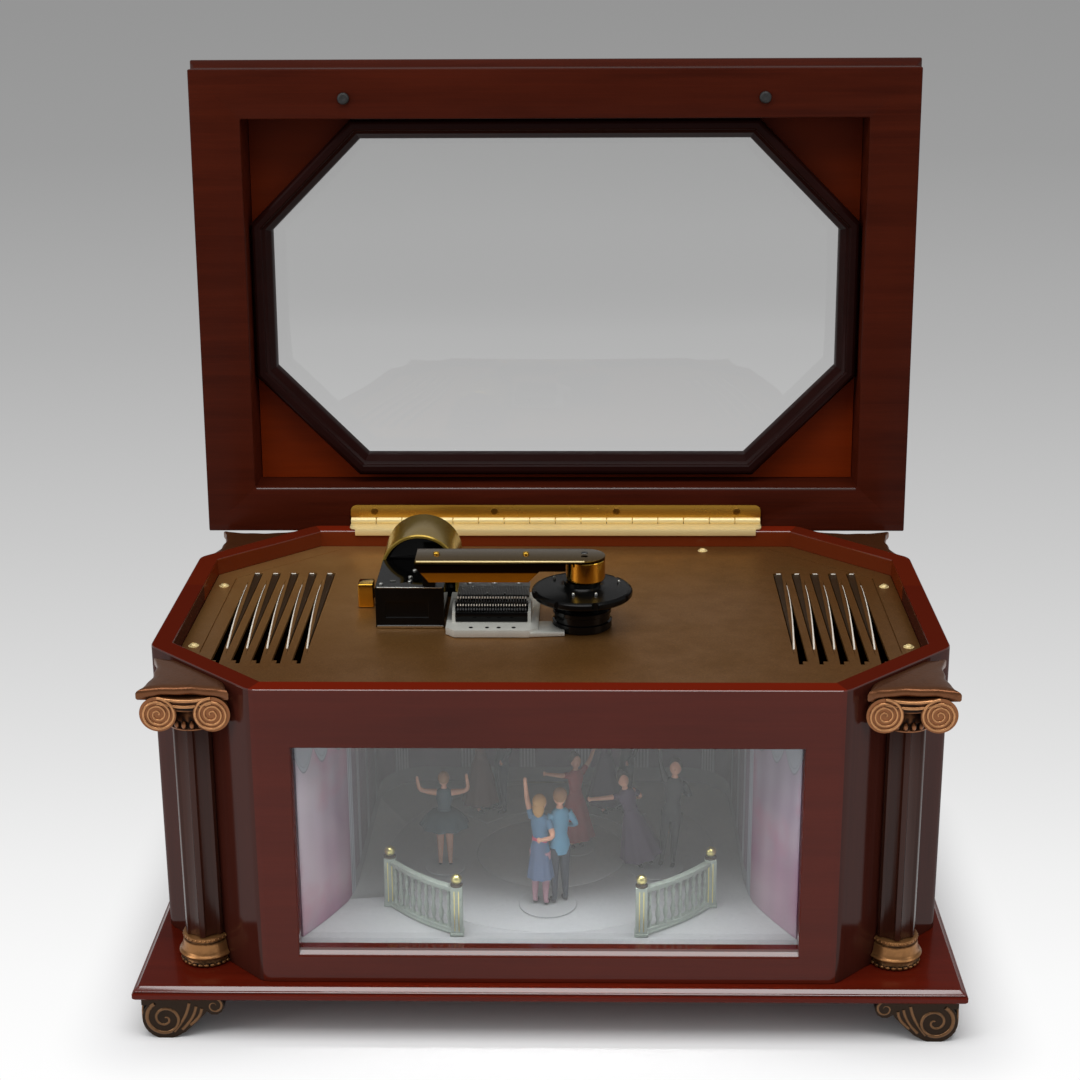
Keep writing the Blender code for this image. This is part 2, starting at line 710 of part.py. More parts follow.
def power_jack():
    flange = CASE_HALF_Y + GAP
    profile = [
        (JACK_R, flange),
        (JACK_R, flange + 0.0016),
        (JACK_BORE_R, flange + 0.0016),
        (JACK_BORE_R, flange - WALL * 0.8),
        (JACK_BORE_R * 1.5, flange - WALL * 0.8),
        (JACK_BORE_R * 1.5, flange),
    ]
    shape = turned(profile, 16, (JACK_X, 0, JACK_Z), "y", closed=True)
    piece("power_jack", shape, "black_gloss", smooth=35)


def opening(inset):
    """The lid opening's outline, smaller by the inset."""
    return rectangle(OPENING_HALF_X - inset, OPENING_LOW + inset, OPENING_TOP - inset)


def lid_outline(grow):
    return rectangle(LID_HALF_X + grow, LID_LOW - grow, LID_TOP + grow)


def pane_outline(grow):
    """The glass opening's octagon, grown by the same distance on all its sides."""
    chamfer = PANE_CHAMFER + grow * (2 - math.sqrt(2))
    return octagon(PANE_HALF_X + grow, PANE_LOW - grow, PANE_TOP + grow, chamfer)


def lid():
    axis = (0.0, HINGE_Y, HINGE_Z)
    lap_near = PANE_NEAR + PANE_THICK + GAP
    frame = (
        (lid_outline(0), 0.0),
        (opening(0), 0.0),
        (opening(0), lap_near),
        (opening(BACK_LAP), lap_near),
        (opening(BACK_LAP), LID_THICK),
        (lid_outline(LID_LIP * 0.8), LID_THICK),
        (lid_outline(LID_LIP), LID_THICK - LID_LIP_THICK * 0.25),
        (lid_outline(LID_LIP * 0.8), LID_THICK - LID_LIP_THICK * 0.5),
        (lid_outline(0), LID_THICK - LID_LIP_THICK),
    )
    clear = HINGE_KNUCKLE_R + GAP
    groove_x = HINGE_HALF_X + GAP
    groove_z = (HINGE_Z - clear, HINGE_Z + clear)
    groove = block((-groove_x, groove_x), (lid_y(-PAST), HINGE_Y + clear), groove_z)
    shape = carved(lofted(lid_rings(frame), True), groove)
    piece("lid_frame", leaned(shape), "mahogany", axis)
    board = octagon(OPENING_HALF_X - GAP, OPENING_LOW + GAP, OPENING_TOP - GAP, 0.001)
    panel = (
        (board, RECESS_DEPTH),
        (pane_outline(MOULDING_WIDTH), RECESS_DEPTH),
        (pane_outline(MOULDING_WIDTH * 0.9), RECESS_DEPTH - MOULDING_HEIGHT),
        (pane_outline(MOULDING_WIDTH * 0.35), RECESS_DEPTH - MOULDING_HEIGHT),
        (pane_outline(0), RECESS_DEPTH - MOULDING_HEIGHT * 0.4),
        (pane_outline(0), RECESS_DEPTH + CORNER_BOARD),
        (board, RECESS_DEPTH + CORNER_BOARD),
    )
    piece("lid_panel", leaned(lofted(lid_rings(panel), True)), "orange_brown_board", axis)
    pane = [(pane_outline(BACK_LAP / 2), n) for n in (PANE_NEAR, PANE_NEAR + PANE_THICK)]
    piece("lid_glass", leaned(lofted(lid_rings(pane))), "glass", axis)
    for side, name in ((-1, "lid_bumper_left"), (1, "lid_bumper_right")):
        rings = []
        for share, high in ((0.8, 1.0), (1.0, 0.6), (1.0, 0.0)):
            ring = circle(BUMPER_R * share, 12, (side * BUMPER_X, BUMPER_S))
            rings.append((ring, -GAP - BUMPER_HEIGHT * high))
        piece(name, leaned(lofted(lid_rings(rings))), "rubber", axis, smooth=35)


def hinge_leaf(plate, tongues, first):
    """A leaf and every second knuckle along it, bored for the pin."""
    pitch = HINGE_HALF_X / HINGE_PAIRS
    rolls = []
    links = []
    for i in range(first, HINGE_PAIRS * 2, 2):
        low = -HINGE_HALF_X + pitch * i + GAP / 2
        high = low + pitch - GAP
        rolls.append(extrusion(circle(HINGE_KNUCKLE_R, 8, (HINGE_Y, HINGE_Z)), low, high, "x"))
        links.append(block((low, high), *tongues))
    reach = HINGE_HALF_X + PAST
    bore = extrusion(circle(HINGE_PIN_R + GAP, 6, (HINGE_Y, HINGE_Z)), -reach, reach, "x")
    return carved(fused(plate, together(*links), together(*rolls)), bore)


def hinge():
    axis = (0.0, HINGE_Y, HINGE_Z)
    across = (-HINGE_HALF_X, HINGE_HALF_X)
    clear = HINGE_KNUCKLE_R + GAP
    low = RIM_TOP + GAP
    level = (low, low + HINGE_LEAF)
    plate = block(across, (HINGE_Y - HINGE_LOWER_REACH, HINGE_Y - clear), level)
    tongues = ((HINGE_Y - clear - HINGE_LEAF, HINGE_Y - HINGE_PIN_R / 2), level)
    piece("hinge_leaf_case", hinge_leaf(plate, tongues, 0), "brass", smooth=40)
    near = (lid_y(-GAP - HINGE_LEAF), lid_y(-GAP))
    plate = block(across, near, (HINGE_Z + clear, HINGE_Z + HINGE_UPPER_REACH))
    tongues = (near, (HINGE_Z + HINGE_PIN_R / 2, HINGE_Z + clear + HINGE_LEAF))
    piece("hinge_leaf_lid", leaned(hinge_leaf(plate, tongues, 1)), "brass", axis, smooth=40)
    pin = extrusion(circle(HINGE_PIN_R, 6, (HINGE_Y, HINGE_Z)), *across, "x")
    piece("hinge_pin", pin, "brass", smooth=50)


def arm_pivot_z():
    return MOVEMENT_Z + ARM_TOP - ARM_PIVOT_DROP


def movement_housing():
    """Drive housing, with the lug that carries the arm and the slot that the lever slides in."""
    top = MOVEMENT_Z + HOUSING_HIGH
    body = block(HOUSING_X, HOUSING_Y, (MOVEMENT_Z, top))
    pivot = arm_pivot_z()
    lug = [(ARM_PIVOT_X - ARM_LUG_R, top - PAST), (ARM_PIVOT_X + ARM_LUG_R, top - PAST)]
    lug += [(ARM_PIVOT_X + x, pivot + z) for x, z in circle(ARM_LUG_R, 16)[:9]]
    lug_y = (HOUSING_Y[0] + PAST / 2, HUB_Y + ARM_HALF_Y - ARM_SHEET - GAP)
    hole = extrusion(circle(ARM_PIVOT_R + GAP, 10, (ARM_PIVOT_X, pivot)), -1, 1, "y")
    slot_y = (LEVER_Y - LEVER_STEM / 2 - GAP, LEVER_Y + LEVER_STEM / 2 + LEVER_TRAVEL + GAP)
    stem_z = MOVEMENT_Z + LEVER_HIGH / 2
    slot_z = (stem_z - LEVER_STEM / 2 - GAP, stem_z + LEVER_STEM / 2 + GAP)
    slot = block((HOUSING_X[0] - PAST, HOUSING_X[0] + LEVER_STEM), slot_y, slot_z)
    shape = carved(fused(body, extrusion(lug, *lug_y, "y")), hole, slot)
    piece("movement_housing", shape, "black_gloss")


def dome_cover():
    """Barrel-topped cover behind the housing."""
    centre = MOVEMENT_Z + DOME_HIGH - DOME_R
    outline = [(DOME_X + DOME_R, MOVEMENT_Z)]
    outline += [(DOME_X + x, centre + z) for x, z in circle(DOME_R, 48)[:25]]
    outline.append((DOME_X - DOME_R, MOVEMENT_Z))
    shape = extrusion(outline, HOUSING_Y[1] + GAP, DOME_BACK, "y")
    piece("dome_cover", shape, "brass", smooth=30)


def start_lever():
    rest = (0.0, LEVER_Y, MOVEMENT_Z)
    stem_z = MOVEMENT_Z + LEVER_HIGH / 2
    half = LEVER_STEM / 2
    knob_y = (LEVER_Y - LEVER_WIDE / 2, LEVER_Y + LEVER_WIDE / 2)
    knob = block(LEVER_X, knob_y, (MOVEMENT_Z, MOVEMENT_Z + LEVER_HIGH))
    stem_x = (LEVER_X[1] - half, HOUSING_X[0] + LEVER_STEM - GAP)
    stem = block(stem_x, (LEVER_Y - half, LEVER_Y + half), (stem_z - half, stem_z + half))
    piece("start_lever", fused(knob, stem), "brass", rest)


def star_axis_z():
    return MOVEMENT_Z + BED_THICK + GAP + STAR_R


def bedplate():
    """Cast bed with a trough for the star wheels, two ears for their shaft and a tongue beside the hub."""
    top = MOVEMENT_Z + BED_THICK
    outline = [
        (BED_X[0], BED_Y[1]),
        (BED_X[0], BED_Y[0] + BED_CORNER),
        (BED_X[0] + BED_CORNER, BED_Y[0]),
        (BED_X[1] - BED_CORNER, BED_Y[0]),
        (BED_X[1], BED_Y[0] + BED_CORNER),
        (BED_X[1], BED_Y[1]),
    ]
    walls = []
    level = (top - BED_THICK / 2, MOVEMENT_Z + TROUGH_HIGH)
    walls.append(block(TROUGH_X, (TROUGH_Y[0], TROUGH_Y[0] + TROUGH_WALL), level))
    walls.append(block(TROUGH_X, (TROUGH_Y[1] - TROUGH_WALL, TROUGH_Y[1]), level))
    ears = []
    middle = sum(TROUGH_Y) / 2
    for low, high in ((TROUGH_X[0], TROUGH_X[0] + TROUGH_WALL), (TROUGH_X[1] - TROUGH_WALL, TROUGH_X[1])):
        near, far = TROUGH_Y[0] + PAST / 4, TROUGH_Y[1] - PAST / 4
        shoulder = level[1] - PAST / 4
        crown = star_axis_z() + STAR_ROOT_R
        ear = [(near, level[0]), (far, level[0]), (far, shoulder), (middle + STAR_ROOT_R, crown)]
        ear += [(middle - STAR_ROOT_R, crown), (near, shoulder)]
        ears.append(extrusion(ear, low, high, "x"))
    bore_ring = circle(STAR_SHAFT_R + GAP, 10, (middle, star_axis_z()))
    bore = extrusion(bore_ring, TROUGH_X[0] - PAST, TROUGH_X[1] + PAST, "x")
    bed = extrusion(outline, MOVEMENT_Z, top)
    tip = [
        (BED_X[1] - BED_CORNER, BED_Y[0] + PAST / 4),
        (TONGUE_RIGHT, BED_Y[0] + BED_CORNER / 2),
        (TONGUE_RIGHT, HUB_Y),
        (BED_X[1] - BED_CORNER, HUB_Y),
    ]
    tongue = extrusion(tip, MOVEMENT_Z, MOVEMENT_Z + TONGUE_THICK)
    hub_room = circle(HUB_BASE_R + GAP, 24, (HUB_X, HUB_Y))
    tongue = carved(tongue, extrusion(hub_room, MOVEMENT_Z - PAST, top + PAST))
    shape = carved(fused(bed, tongue, together(*walls), together(*ears)), bore)
    piece("bedplate", shape, "grey_cast")


def star_wheels():
    """One shaft with a row of star wheels along it."""
    middle = sum(TROUGH_Y) / 2
    low = TROUGH_X[0] + TROUGH_WALL + GAP
    high = TROUGH_X[1] - TROUGH_WALL - GAP
    pitch = (high - low) / STARS
    round_ring = [(STAR_SHAFT_R * a, STAR_SHAFT_R * b) for a, b in circle(1.0, STAR_TIPS * 2)]
    star_ring = []
    for i, (a, b) in enumerate(circle(1.0, STAR_TIPS * 2)):
        radius = STAR_ROOT_R if i % 2 else STAR_R
        star_ring.append((radius * a, radius * b))
    places = [(low - TROUGH_WALL, round_ring)]
    for i in range(STARS):
        left = low + pitch * (i + 0.25)
        right = low + pitch * (i + 0.75)
        places += [(left, round_ring), (left, star_ring), (right, star_ring), (right, round_ring)]
    places.append((high + TROUGH_WALL, round_ring))
    rings = [[(x, middle + a, star_axis_z() + b) for a, b in ring] for x, ring in places]
    piece("star_wheels", lofted(rings), "steel", (0.0, middle, star_axis_z()))


def comb():
    """Steel comb: teeth cut in a sheet that stands on its foot."""
    low = TROUGH_X[0] + TROUGH_WALL
    high = TROUGH_X[1] - TROUGH_WALL
    pitch = (high - low) / COMB_TEETH
    outline = [(high, COMB_BACK_Y), (low, COMB_BACK_Y)]
    for i in range(COMB_TEETH):
        left = low + pitch * i
        right = left + pitch * 0.6
        outline += [(left, COMB_TIP_Y), (right, COMB_TIP_Y)]
        if i < COMB_TEETH - 1:
            outline += [(right, COMB_ROOT_Y), (left + pitch, COMB_ROOT_Y)]
    outline += [(high - pitch * 0.4, COMB_ROOT_Y), (high, COMB_ROOT_Y)]
    top = MOVEMENT_Z + COMB_HIGH
    sheet = extrusion(outline, top - COMB_SHEET, top)
    foot_z = (MOVEMENT_Z + BED_THICK + GAP, top - COMB_SHEET / 2)
    foot = block((low + GAP, high - GAP), (COMB_ROOT_Y + GAP, COMB_BACK_Y - GAP), foot_z)
    piece("comb", fused(sheet, foot), "steel")


def pressure_arm():
    """Channel arm with a round end, and the cap under it that holds the disc on its hub."""
    pivot = (ARM_PIVOT_X, HUB_Y, arm_pivot_z())
    top = MOVEMENT_Z + ARM_TOP
    low = top - ARM_SKIRT
    outer = ARM_HALF_Y
    inner = ARM_HALF_Y - ARM_SHEET
    channel = [(-outer, low), (-outer, top), (outer, top), (outer, low)]
    channel += [(inner, low), (inner, top - ARM_SHEET), (-inner, top - ARM_SHEET), (-inner, low)]
    body = extrusion([(HUB_Y + y, z) for y, z in channel], ARM_LEFT, ARM_RIGHT, "x")
    cut = [
        (ARM_LEFT - PAST, low - PAST),
        (ARM_LEFT + ARM_SKIRT * 0.8, low - PAST),
        (ARM_LEFT - PAST / 4, top - ARM_SHEET * 1.5),
        (ARM_LEFT - PAST, top - ARM_SHEET * 1.5),
    ]
    flange_end = ARM_RIGHT - 2 * CAP_R
    notch = [
        (ARM_NOTCH_X - ARM_NOTCH_HIGH - PAST, low - PAST),
        (ARM_NOTCH_X, top - ARM_NOTCH_HIGH),
        (flange_end, top - ARM_NOTCH_HIGH),
        (flange_end, top - ARM_SHEET),
        (ARM_RIGHT + PAST, top - ARM_SHEET),
        (ARM_RIGHT + PAST, low - PAST),
    ]
    past_end = (HUB_Y - ARM_HALF_Y - PAST, HUB_Y + ARM_HALF_Y + PAST)
    corners = [(ARM_RIGHT - ARM_HALF_Y, past_end[0]), (ARM_RIGHT + PAST, past_end[0])]
    corners += [(ARM_RIGHT + PAST, past_end[1]), (ARM_RIGHT - ARM_HALF_Y, past_end[1])]
    for i in range(15):
        turn = math.radians(90 - 180 * i / 14)
        x = ARM_RIGHT - ARM_HALF_Y + ARM_HALF_Y * math.cos(turn)
        corners.append((x, HUB_Y + ARM_HALF_Y * math.sin(turn)))
    body = carved(body, extrusion(cut, -1, 1, "y"), extrusion(notch, -1, 1, "y"))
    body = carved(body, extrusion(corners, low - PAST, top + PAST))
    cap_low = MOVEMENT_Z + NECK_HIGH + GAP
    cap_top = top - ARM_SHEET / 2
    profile = [
        (CAP_R * 0.97, cap_low),
        (CAP_R, cap_low + CAP_EDGE),
        (CAP_R, cap_top),
    ]
    cap = turned(profile, 24, (ARM_RIGHT - CAP_R, HUB_Y, 0))
    pin_y = (HUB_Y - ARM_HALF_Y + ARM_SHEET / 2, HUB_Y + ARM_HALF_Y - ARM_SHEET / 2)
    pin = extrusion(circle(ARM_PIVOT_R, 10, (ARM_PIVOT_X, arm_pivot_z())), *pin_y, "y")
    piece("pressure_arm", fused(body, cap, pin), "brass", pivot, smooth=35)


def hub():
    at = (HUB_X, HUB_Y, MOVEMENT_Z)
    base = [(HUB_BASE_R, 0.0), (HUB_BASE_R, HUB_BASE_HIGH * 0.7), (HUB_BASE_R * 0.9, HUB_BASE_HIGH)]
    piece("hub_base", turned(base, 24, at), "black_gloss", smooth=35)
    low = HUB_BASE_HIGH + GAP
    rise = FLANGE_HIGH - low
    profile = (
        (HUB_BASE_R * 0.9, low),
        (FLANGE_R * 0.88, low + rise * 0.45),
        (FLANGE_R, low + rise * 0.62),
        (FLANGE_R, FLANGE_HIGH),
        (FLANGE_R * 0.94, FLANGE_HIGH + 0.0006),
        (NECK_R * 1.08, FLANGE_HIGH + 0.0010),
        (NECK_R, FLANGE_HIGH + 0.0018),
        (NECK_R, NECK_HIGH),
    )
    piece("disc_hub", turned(profile, 28, at), "black_gloss", at, smooth=35)


def movement_motor():
    """Gear motor hung under the plate below the housing."""
    top = PLATE_TOP - PLATE_THICK - GAP
    low = top - MOTOR_DEPTH
    gearbox = block(HOUSING_X, (HOUSING_Y[0] * 0.6, HOUSING_Y[1]), (top - MOTOR_DEPTH / 2, top))
    middle = (sum(HOUSING_X) / 2, HOUSING_Y[1] / 3, 0)
    radius = (HOUSING_X[1] - HOUSING_X[0]) * 0.4
    can = turned([(radius * 0.9, low), (radius, low + 0.001), (radius, top - MOTOR_DEPTH / 4)], 20, middle)
    piece("movement_motor", fused(gearbox, can), "grey_cast", smooth=35)


def gear_outline(teeth, module, centre, phase=0.0, slack=-0.30, tip=0.7, root=0.95):
    """Gear with straight-sided teeth, one of them at the phase angle. slack widens or thins a tooth."""
    pitch_r = module * teeth / 2
    half = 360.0 / teeth / 4 * (1 + slack)
    outline = []
    for i in range(teeth):
        middle = phase + 360.0 / teeth * i
        for radius, turn in (
            (pitch_r - module * root, -half * 1.5),
            (pitch_r + module * tip, -half * 0.6),
            (pitch_r + module * tip, half * 0.6),
            (pitch_r - module * root, half * 1.5),
        ):
            angle = math.radians(middle + turn)
            tip_x = centre[0] + radius * math.cos(angle)
            outline.append((tip_x, centre[1] + radius * math.sin(angle)))
    return outline


def stage_floor():
    """Floor block with the well that the turning tables sit in, and their axle posts."""
    low = BOARD_TOP + GAP
    bed = low + STAGE_BED
    body = extrusion(octagon(STAGE_HALF_X, STAGE_FRONT, STAGE_BACK, STAGE_CORNER), low, STAGE_TOP)
    well = extrusion(circle(RING_R + GAP, 64, (0, STAGE_Y)), bed, STAGE_TOP + PAST)
    pinion_r = DRIVE_MODULE * (PINION_TEETH / 2 + 1)
    pocket = extrusion(circle(pinion_r, 24, (0, PINION_Y)), bed, STAGE_TOP + PAST)
    body = carved(body, well, pocket)
    posts = []
    for x, y, high in ((0, STAGE_Y, GEAR_THICK), (IDLER_X, STAGE_Y, GEAR_THICK), (0, PINION_Y, GEAR_THICK)):
        posts.append(extrusion(circle(AXLE_R, 12, (x, y)), bed - STAGE_BED / 2, GEAR_LOW + high - GAP))
    piece("stage_floor", fused(body, together(*posts)), "lavender_floor")


def stage_ring():
    """Outer turntable: geared outside for the drive pinion and inside for the idler."""
    axis = (0.0, STAGE_Y, GEAR_LOW)
    table_low = STAGE_TOP - TABLE_THICK
    teeth = gear_outline(DRIVE_TEETH, DRIVE_MODULE, (0, STAGE_Y))
    outer = extrusion(teeth, GEAR_LOW, table_low + TABLE_THICK / 2)
    table = extrusion(circle(RING_R, 64, (0, STAGE_Y)), table_low, STAGE_TOP)
    half_pitch = 180.0 / RING_TEETH
    inside = gear_outline(RING_TEETH, GEAR_MODULE, (0, STAGE_Y), half_pitch, 0.25, 0.95, 0.7)
    gear_hole = extrusion(inside, GEAR_LOW - PAST, table_low)
    table_hole = extrusion(circle(DISC_R + GAP, 48, (0, STAGE_Y)), table_low - PAST, STAGE_TOP + PAST)
    shape = carved(fused(outer, table), gear_hole, table_hole)
    piece("stage_ring", shape, "lavender_floor", axis, smooth=30)


def axle_bore(x, y):
    return extrusion(circle(AXLE_R + GAP, 12, (x, y)), GEAR_LOW - PAST, GEAR_LOW + GEAR_THICK)


def stage_disc():
    axis = (0.0, STAGE_Y, GEAR_LOW)
    table_low = STAGE_TOP - TABLE_THICK
    teeth = gear_outline(DISC_TEETH, GEAR_MODULE, (0, STAGE_Y))
    gear = extrusion(teeth, GEAR_LOW, table_low + TABLE_THICK / 2)
    table = extrusion(circle(DISC_R, 48, (0, STAGE_Y)), table_low, STAGE_TOP)
    shape = carved(fused(gear, table), axle_bore(0, STAGE_Y))
    piece("stage_disc", shape, "lavender_floor", axis, smooth=30)


def stage_gears():
    """Idler between the two turntables, and the drive pinion with its boss up to the motor."""
    phase = 180.0 / IDLER_TEETH
    outline = gear_outline(IDLER_TEETH, GEAR_MODULE, (IDLER_X, STAGE_Y), phase)
    idler = extrusion(outline, GEAR_LOW, GEAR_LOW + GEAR_THICK)
    idler = carved(idler, extrusion(circle(AXLE_R + GAP, 12, (IDLER_X, STAGE_Y)), 0, 1))
    piece("stage_idler", idler, "gear_plastic", (IDLER_X, STAGE_Y, GEAR_LOW))
    gear = extrusion(gear_outline(PINION_TEETH, DRIVE_MODULE, (0, PINION_Y)), GEAR_LOW, GEAR_LOW + GEAR_THICK)
    boss = extrusion(circle(AXLE_R * 1.6, 16, (0, PINION_Y)), GEAR_LOW + GEAR_THICK / 2, STAGE_TOP)
    shape = carved(fused(gear, boss), axle_bore(0, PINION_Y))
    piece("stage_pinion", shape, "gear_plastic", (0.0, PINION_Y, GEAR_LOW))


def stage_motor():
    """Gear motor that stands on the floor behind the backdrop, over the pinion."""
    low = STAGE_TOP + GAP
    front = BACKDROP_BACK_Y + BACKDROP_SHEET / 2 + GAP
    box_top = low + STAGE_GEARBOX_HIGH
    box_x = (-STAGE_GEARBOX_HALF_X, STAGE_GEARBOX_HALF_X)
    gearbox = block(box_x, (front, STAGE_BACK - GAP), (low, box_top))
    radius = STAGE_MOTOR_R
    top = box_top + STAGE_MOTOR_HIGH
    profile = [(radius, box_top - PAST), (radius, top - STAGE_MOTOR_EDGE), (radius - STAGE_MOTOR_EDGE, top)]
    can = turned(profile, 20, (0, STAGE_BACK - GAP - radius, 0))
    piece("stage_motor", fused(gearbox, can), "grey_cast", smooth=35)


def ribbon(points, width):
    """Plan of a strip of even width along a path."""
    left = []
    right = []
    for i, point in enumerate(points):
        here = Vector(point)
        before = Vector(points[max(i - 1, 0)])
        after = Vector(points[min(i + 1, len(points) - 1)])
        along = (after - before).normalized()
        across = Vector((-along.y, along.x)) * width / 2
        left.append(tuple(here + across))
        right.append(tuple(here - across))
    return left + right[::-1]


def backdrop():
    """Printed sheet that stands round the stage, flaring towards the window."""
    corner = BACKDROP_CORNER
    side = list(BACKDROP_FOOT) + [(BACKDROP_SIDE_X, BACKDROP_BACK_Y - corner)]
    bend = (BACKDROP_SIDE_X - corner, BACKDROP_BACK_Y - corner)
    side += circle(corner, 24, bend)[1:7]
    side[-1] = (bend[0], BACKDROP_BACK_Y)
    path = side + [(-x, y) for x, y in side[::-1]]
    shape = extrusion(ribbon(path, BACKDROP_SHEET), STAGE_TOP + GAP, BACKDROP_TOP)
    piece("backdrop", shape, "drape_print", smooth=40)


def balustrades():
    """Curved balustrade either side of the front of the stage: two rails, balusters, posts and balls."""
    low = STAGE_TOP + GAP
    high = low + RAIL_HIGH
    first, last = RAIL_SPAN
    for side, name in ((-1, "balustrade_left"), (1, "balustrade_right")):
        at = []
        for i in range(13):
            turn = math.radians(first + (last - first) * i / 12)
            at.append((side * RAIL_R * math.cos(turn), STAGE_Y - RAIL_R * math.sin(turn)))
        plan = ribbon(at, RAIL_THICK)
        foot = extrusion(plan, low, low + 0.0025)
        rail = extrusion(plan, high - 0.0030, high - 0.0005)
        uprights = []
        for i in range(BALUSTERS):
            share = (i + 1) / (BALUSTERS + 1)
            turn = math.radians(first + (last - first) * share)
            centre = (side * RAIL_R * math.cos(turn), STAGE_Y - RAIL_R * math.sin(turn))
            uprights.append(extrusion(circle(RAIL_THICK * 0.42, 6, centre), low + 0.001, high - 0.002))
        ends = []
        for x, y in (at[0], at[-1]):
            half = POST_WIDE / 2
            ends.append(block((x - half, x + half), (y - half, y + half), (low, high)))
        balls = [ball((x, y, high + BALL_R * 0.8), BALL_R) for x, y in (at[0], at[-1])]
        shape = fused(foot, together(*uprights), rail, together(*ends), together(*balls))
        piece(name, shape, "pale_green_resin")


def ball(centre, radius, tall=1.0):
    profile = []
    for share in (0.15, 0.38, 0.62, 0.85):
        turn = math.pi * share
        profile.append((radius * math.sin(turn), -radius * tall * math.cos(turn)))
    return turned(profile, 7, centre)


def limb(start, end, start_r, end_r, sides=6):
    """Tapered round bar between two points."""
    start = Vector(start)
    end = Vector(end)
    along = (end - start).normalized()
    across = along.orthogonal().normalized()
    other = along.cross(across)
    rings = []
    for centre, radius in ((start, start_r), (end, end_r)):
        rings.append([centre + across * a + other * b for a, b in circle(radius, sides)])
    return lofted(rings)


def dancer(at, facing, tall, skirt_r, hands, lean=0.0):
    """Parts of one figure. hands are where its hands are, in shares of its height, before it is turned."""
    legs_apart = 0.045
    parts = []
    for side in (-1, 1):
        parts.append(limb((side * legs_apart, -0.02, 0), (side * 0.04, 0, 0.50), 0.026, 0.05))
    if skirt_r:
        parts.append(limb((0, 0, 0.24), (0, 0, 0.60), skirt_r / tall, 0.06, 9))
    parts.append(limb((0, 0.001, 0.46), (0, 0, 0.70), 0.075, 0.085))
    parts.append(limb((0.002, 0, 0.68), (0, 0, 0.83), 0.086, 0.05))
    parts.append(limb((0, 0.002, 0.80), (0, 0, 0.88), 0.024, 0.022))
    parts.append(ball((0, 0, 0.92), 0.062, 1.2))
    for side, hand in zip((-1, 1), hands):
        shoulder = Vector((side * 0.045, 0.003, 0.765))
        elbow = (shoulder + Vector(hand)) / 2 + Vector((side * 0.03, 0, -0.03))
        parts.append(limb(shoulder, elbow, 0.028, 0.023, 5))
        parts.append(limb(elbow - (Vector(hand) - elbow) * 0.08, hand, 0.024, 0.016, 5))
    turn = Matrix.Rotation(math.radians(facing), 4, "Z") @ Matrix.Rotation(math.radians(lean), 4, "Y")
    lift = tall * 0.08 * abs(math.sin(math.radians(lean)))
    place = Matrix.Translation(Vector((*at, FIGURE_Z + lift)))
    move = place @ turn @ Matrix.Diagonal((tall, tall, tall, 1.0))
    for part in parts:
        bmesh.ops.transform(part, matrix=move, verts=part.verts)
    return parts


def figure_group(name, figures, stand, finish_name):
    """Figures joined on a thin stand, given by its plan."""
    parts = [extrusion(stand, FIGURE_Z, FIGURE_Z + STAND_THICK)]
    for figure in figures:
        parts += dancer(*figure)
    piece(name, fused(*parts), finish_name, (0.0, STAGE_Y, GEAR_LOW))


def on_ring(degrees, out=0.0):
    """Plan position at an angle on the circle where the couples stand."""
    turn = math.radians(degrees)
    radius = FIGURE_R + out
    return (radius * math.cos(turn), STAGE_Y + radius * math.sin(turn))


def figures():
    up_left = (-0.24, -0.02, 1.12)
    hold_right = (0.10, 0.12, 0.72)
    hold_left = (-0.10, 0.12, 0.72)
    wide_left = (-0.42, -0.02, 0.88)
    wide_right = (0.42, -0.02, 0.88)
    x, y = on_ring(-90)
    woman = ((x - PAIR_APART * 0.6, y), 0, WOMAN_TALL, DRESS_R * 0.5, (up_left, hold_right))
    man_hands = ((-0.20, -0.05, 0.66), (0.12, 0.10, 0.60))
    man = ((x + PAIR_APART * 0.4, y - 0.001), 20, MAN_TALL, 0, man_hands)
    figure_group("couple_front", (woman, man), circle(PAIR_STAND_R, 14, (x, y)), "painted_figure")
    x, y = on_ring(-18)
    woman = ((x - PAIR_APART / 2, y), 10, WOMAN_TALL, DRESS_R * 0.7, (wide_left, hold_right), -14)
    man = ((x + PAIR_APART / 2, y + 0.001), 0, MAN_TALL, 0, (up_left, hold_left), 4)
    figure_group("couple_right", (woman, man), circle(PAIR_STAND_R, 14, (x, y)), "painted_figure")
    x, y = on_ring(198)
    dancer_left = ((x, y), 0, DANCER_TALL, DRESS_R, (wide_left, wide_right))
    figure_group("dancer_left", (dancer_left,), circle(DANCER_STAND_R, 14, (x, y)), "painted_figure")
    rear = []
    for degrees in (54, 126):
        x, y = on_ring(degrees)
        rear.append(((x - PAIR_APART / 2, y), 0, WOMAN_TALL, DRESS_R * 0.7, (wide_left,)))
        rear.append(((x + PAIR_APART / 2, y), 0, MAN_TALL, 0, ()))
    arc = ribbon([on_ring(angle) for angle in range(42, 139, 8)], ARC_STAND_WIDE)
    figure_group("couples_rear", rear, arc, "painted_figure")
    centre = (0.0105, STAGE_Y + 0.0040)
    spinner = (centre, 30, DANCER_TALL, DRESS_R, (wide_left, (0.30, 0.10, 1.05)))
    stand = circle(DANCER_STAND_R, 14, centre)
    figure_group("dancer_centre", (spinner,), stand, "painted_figure")


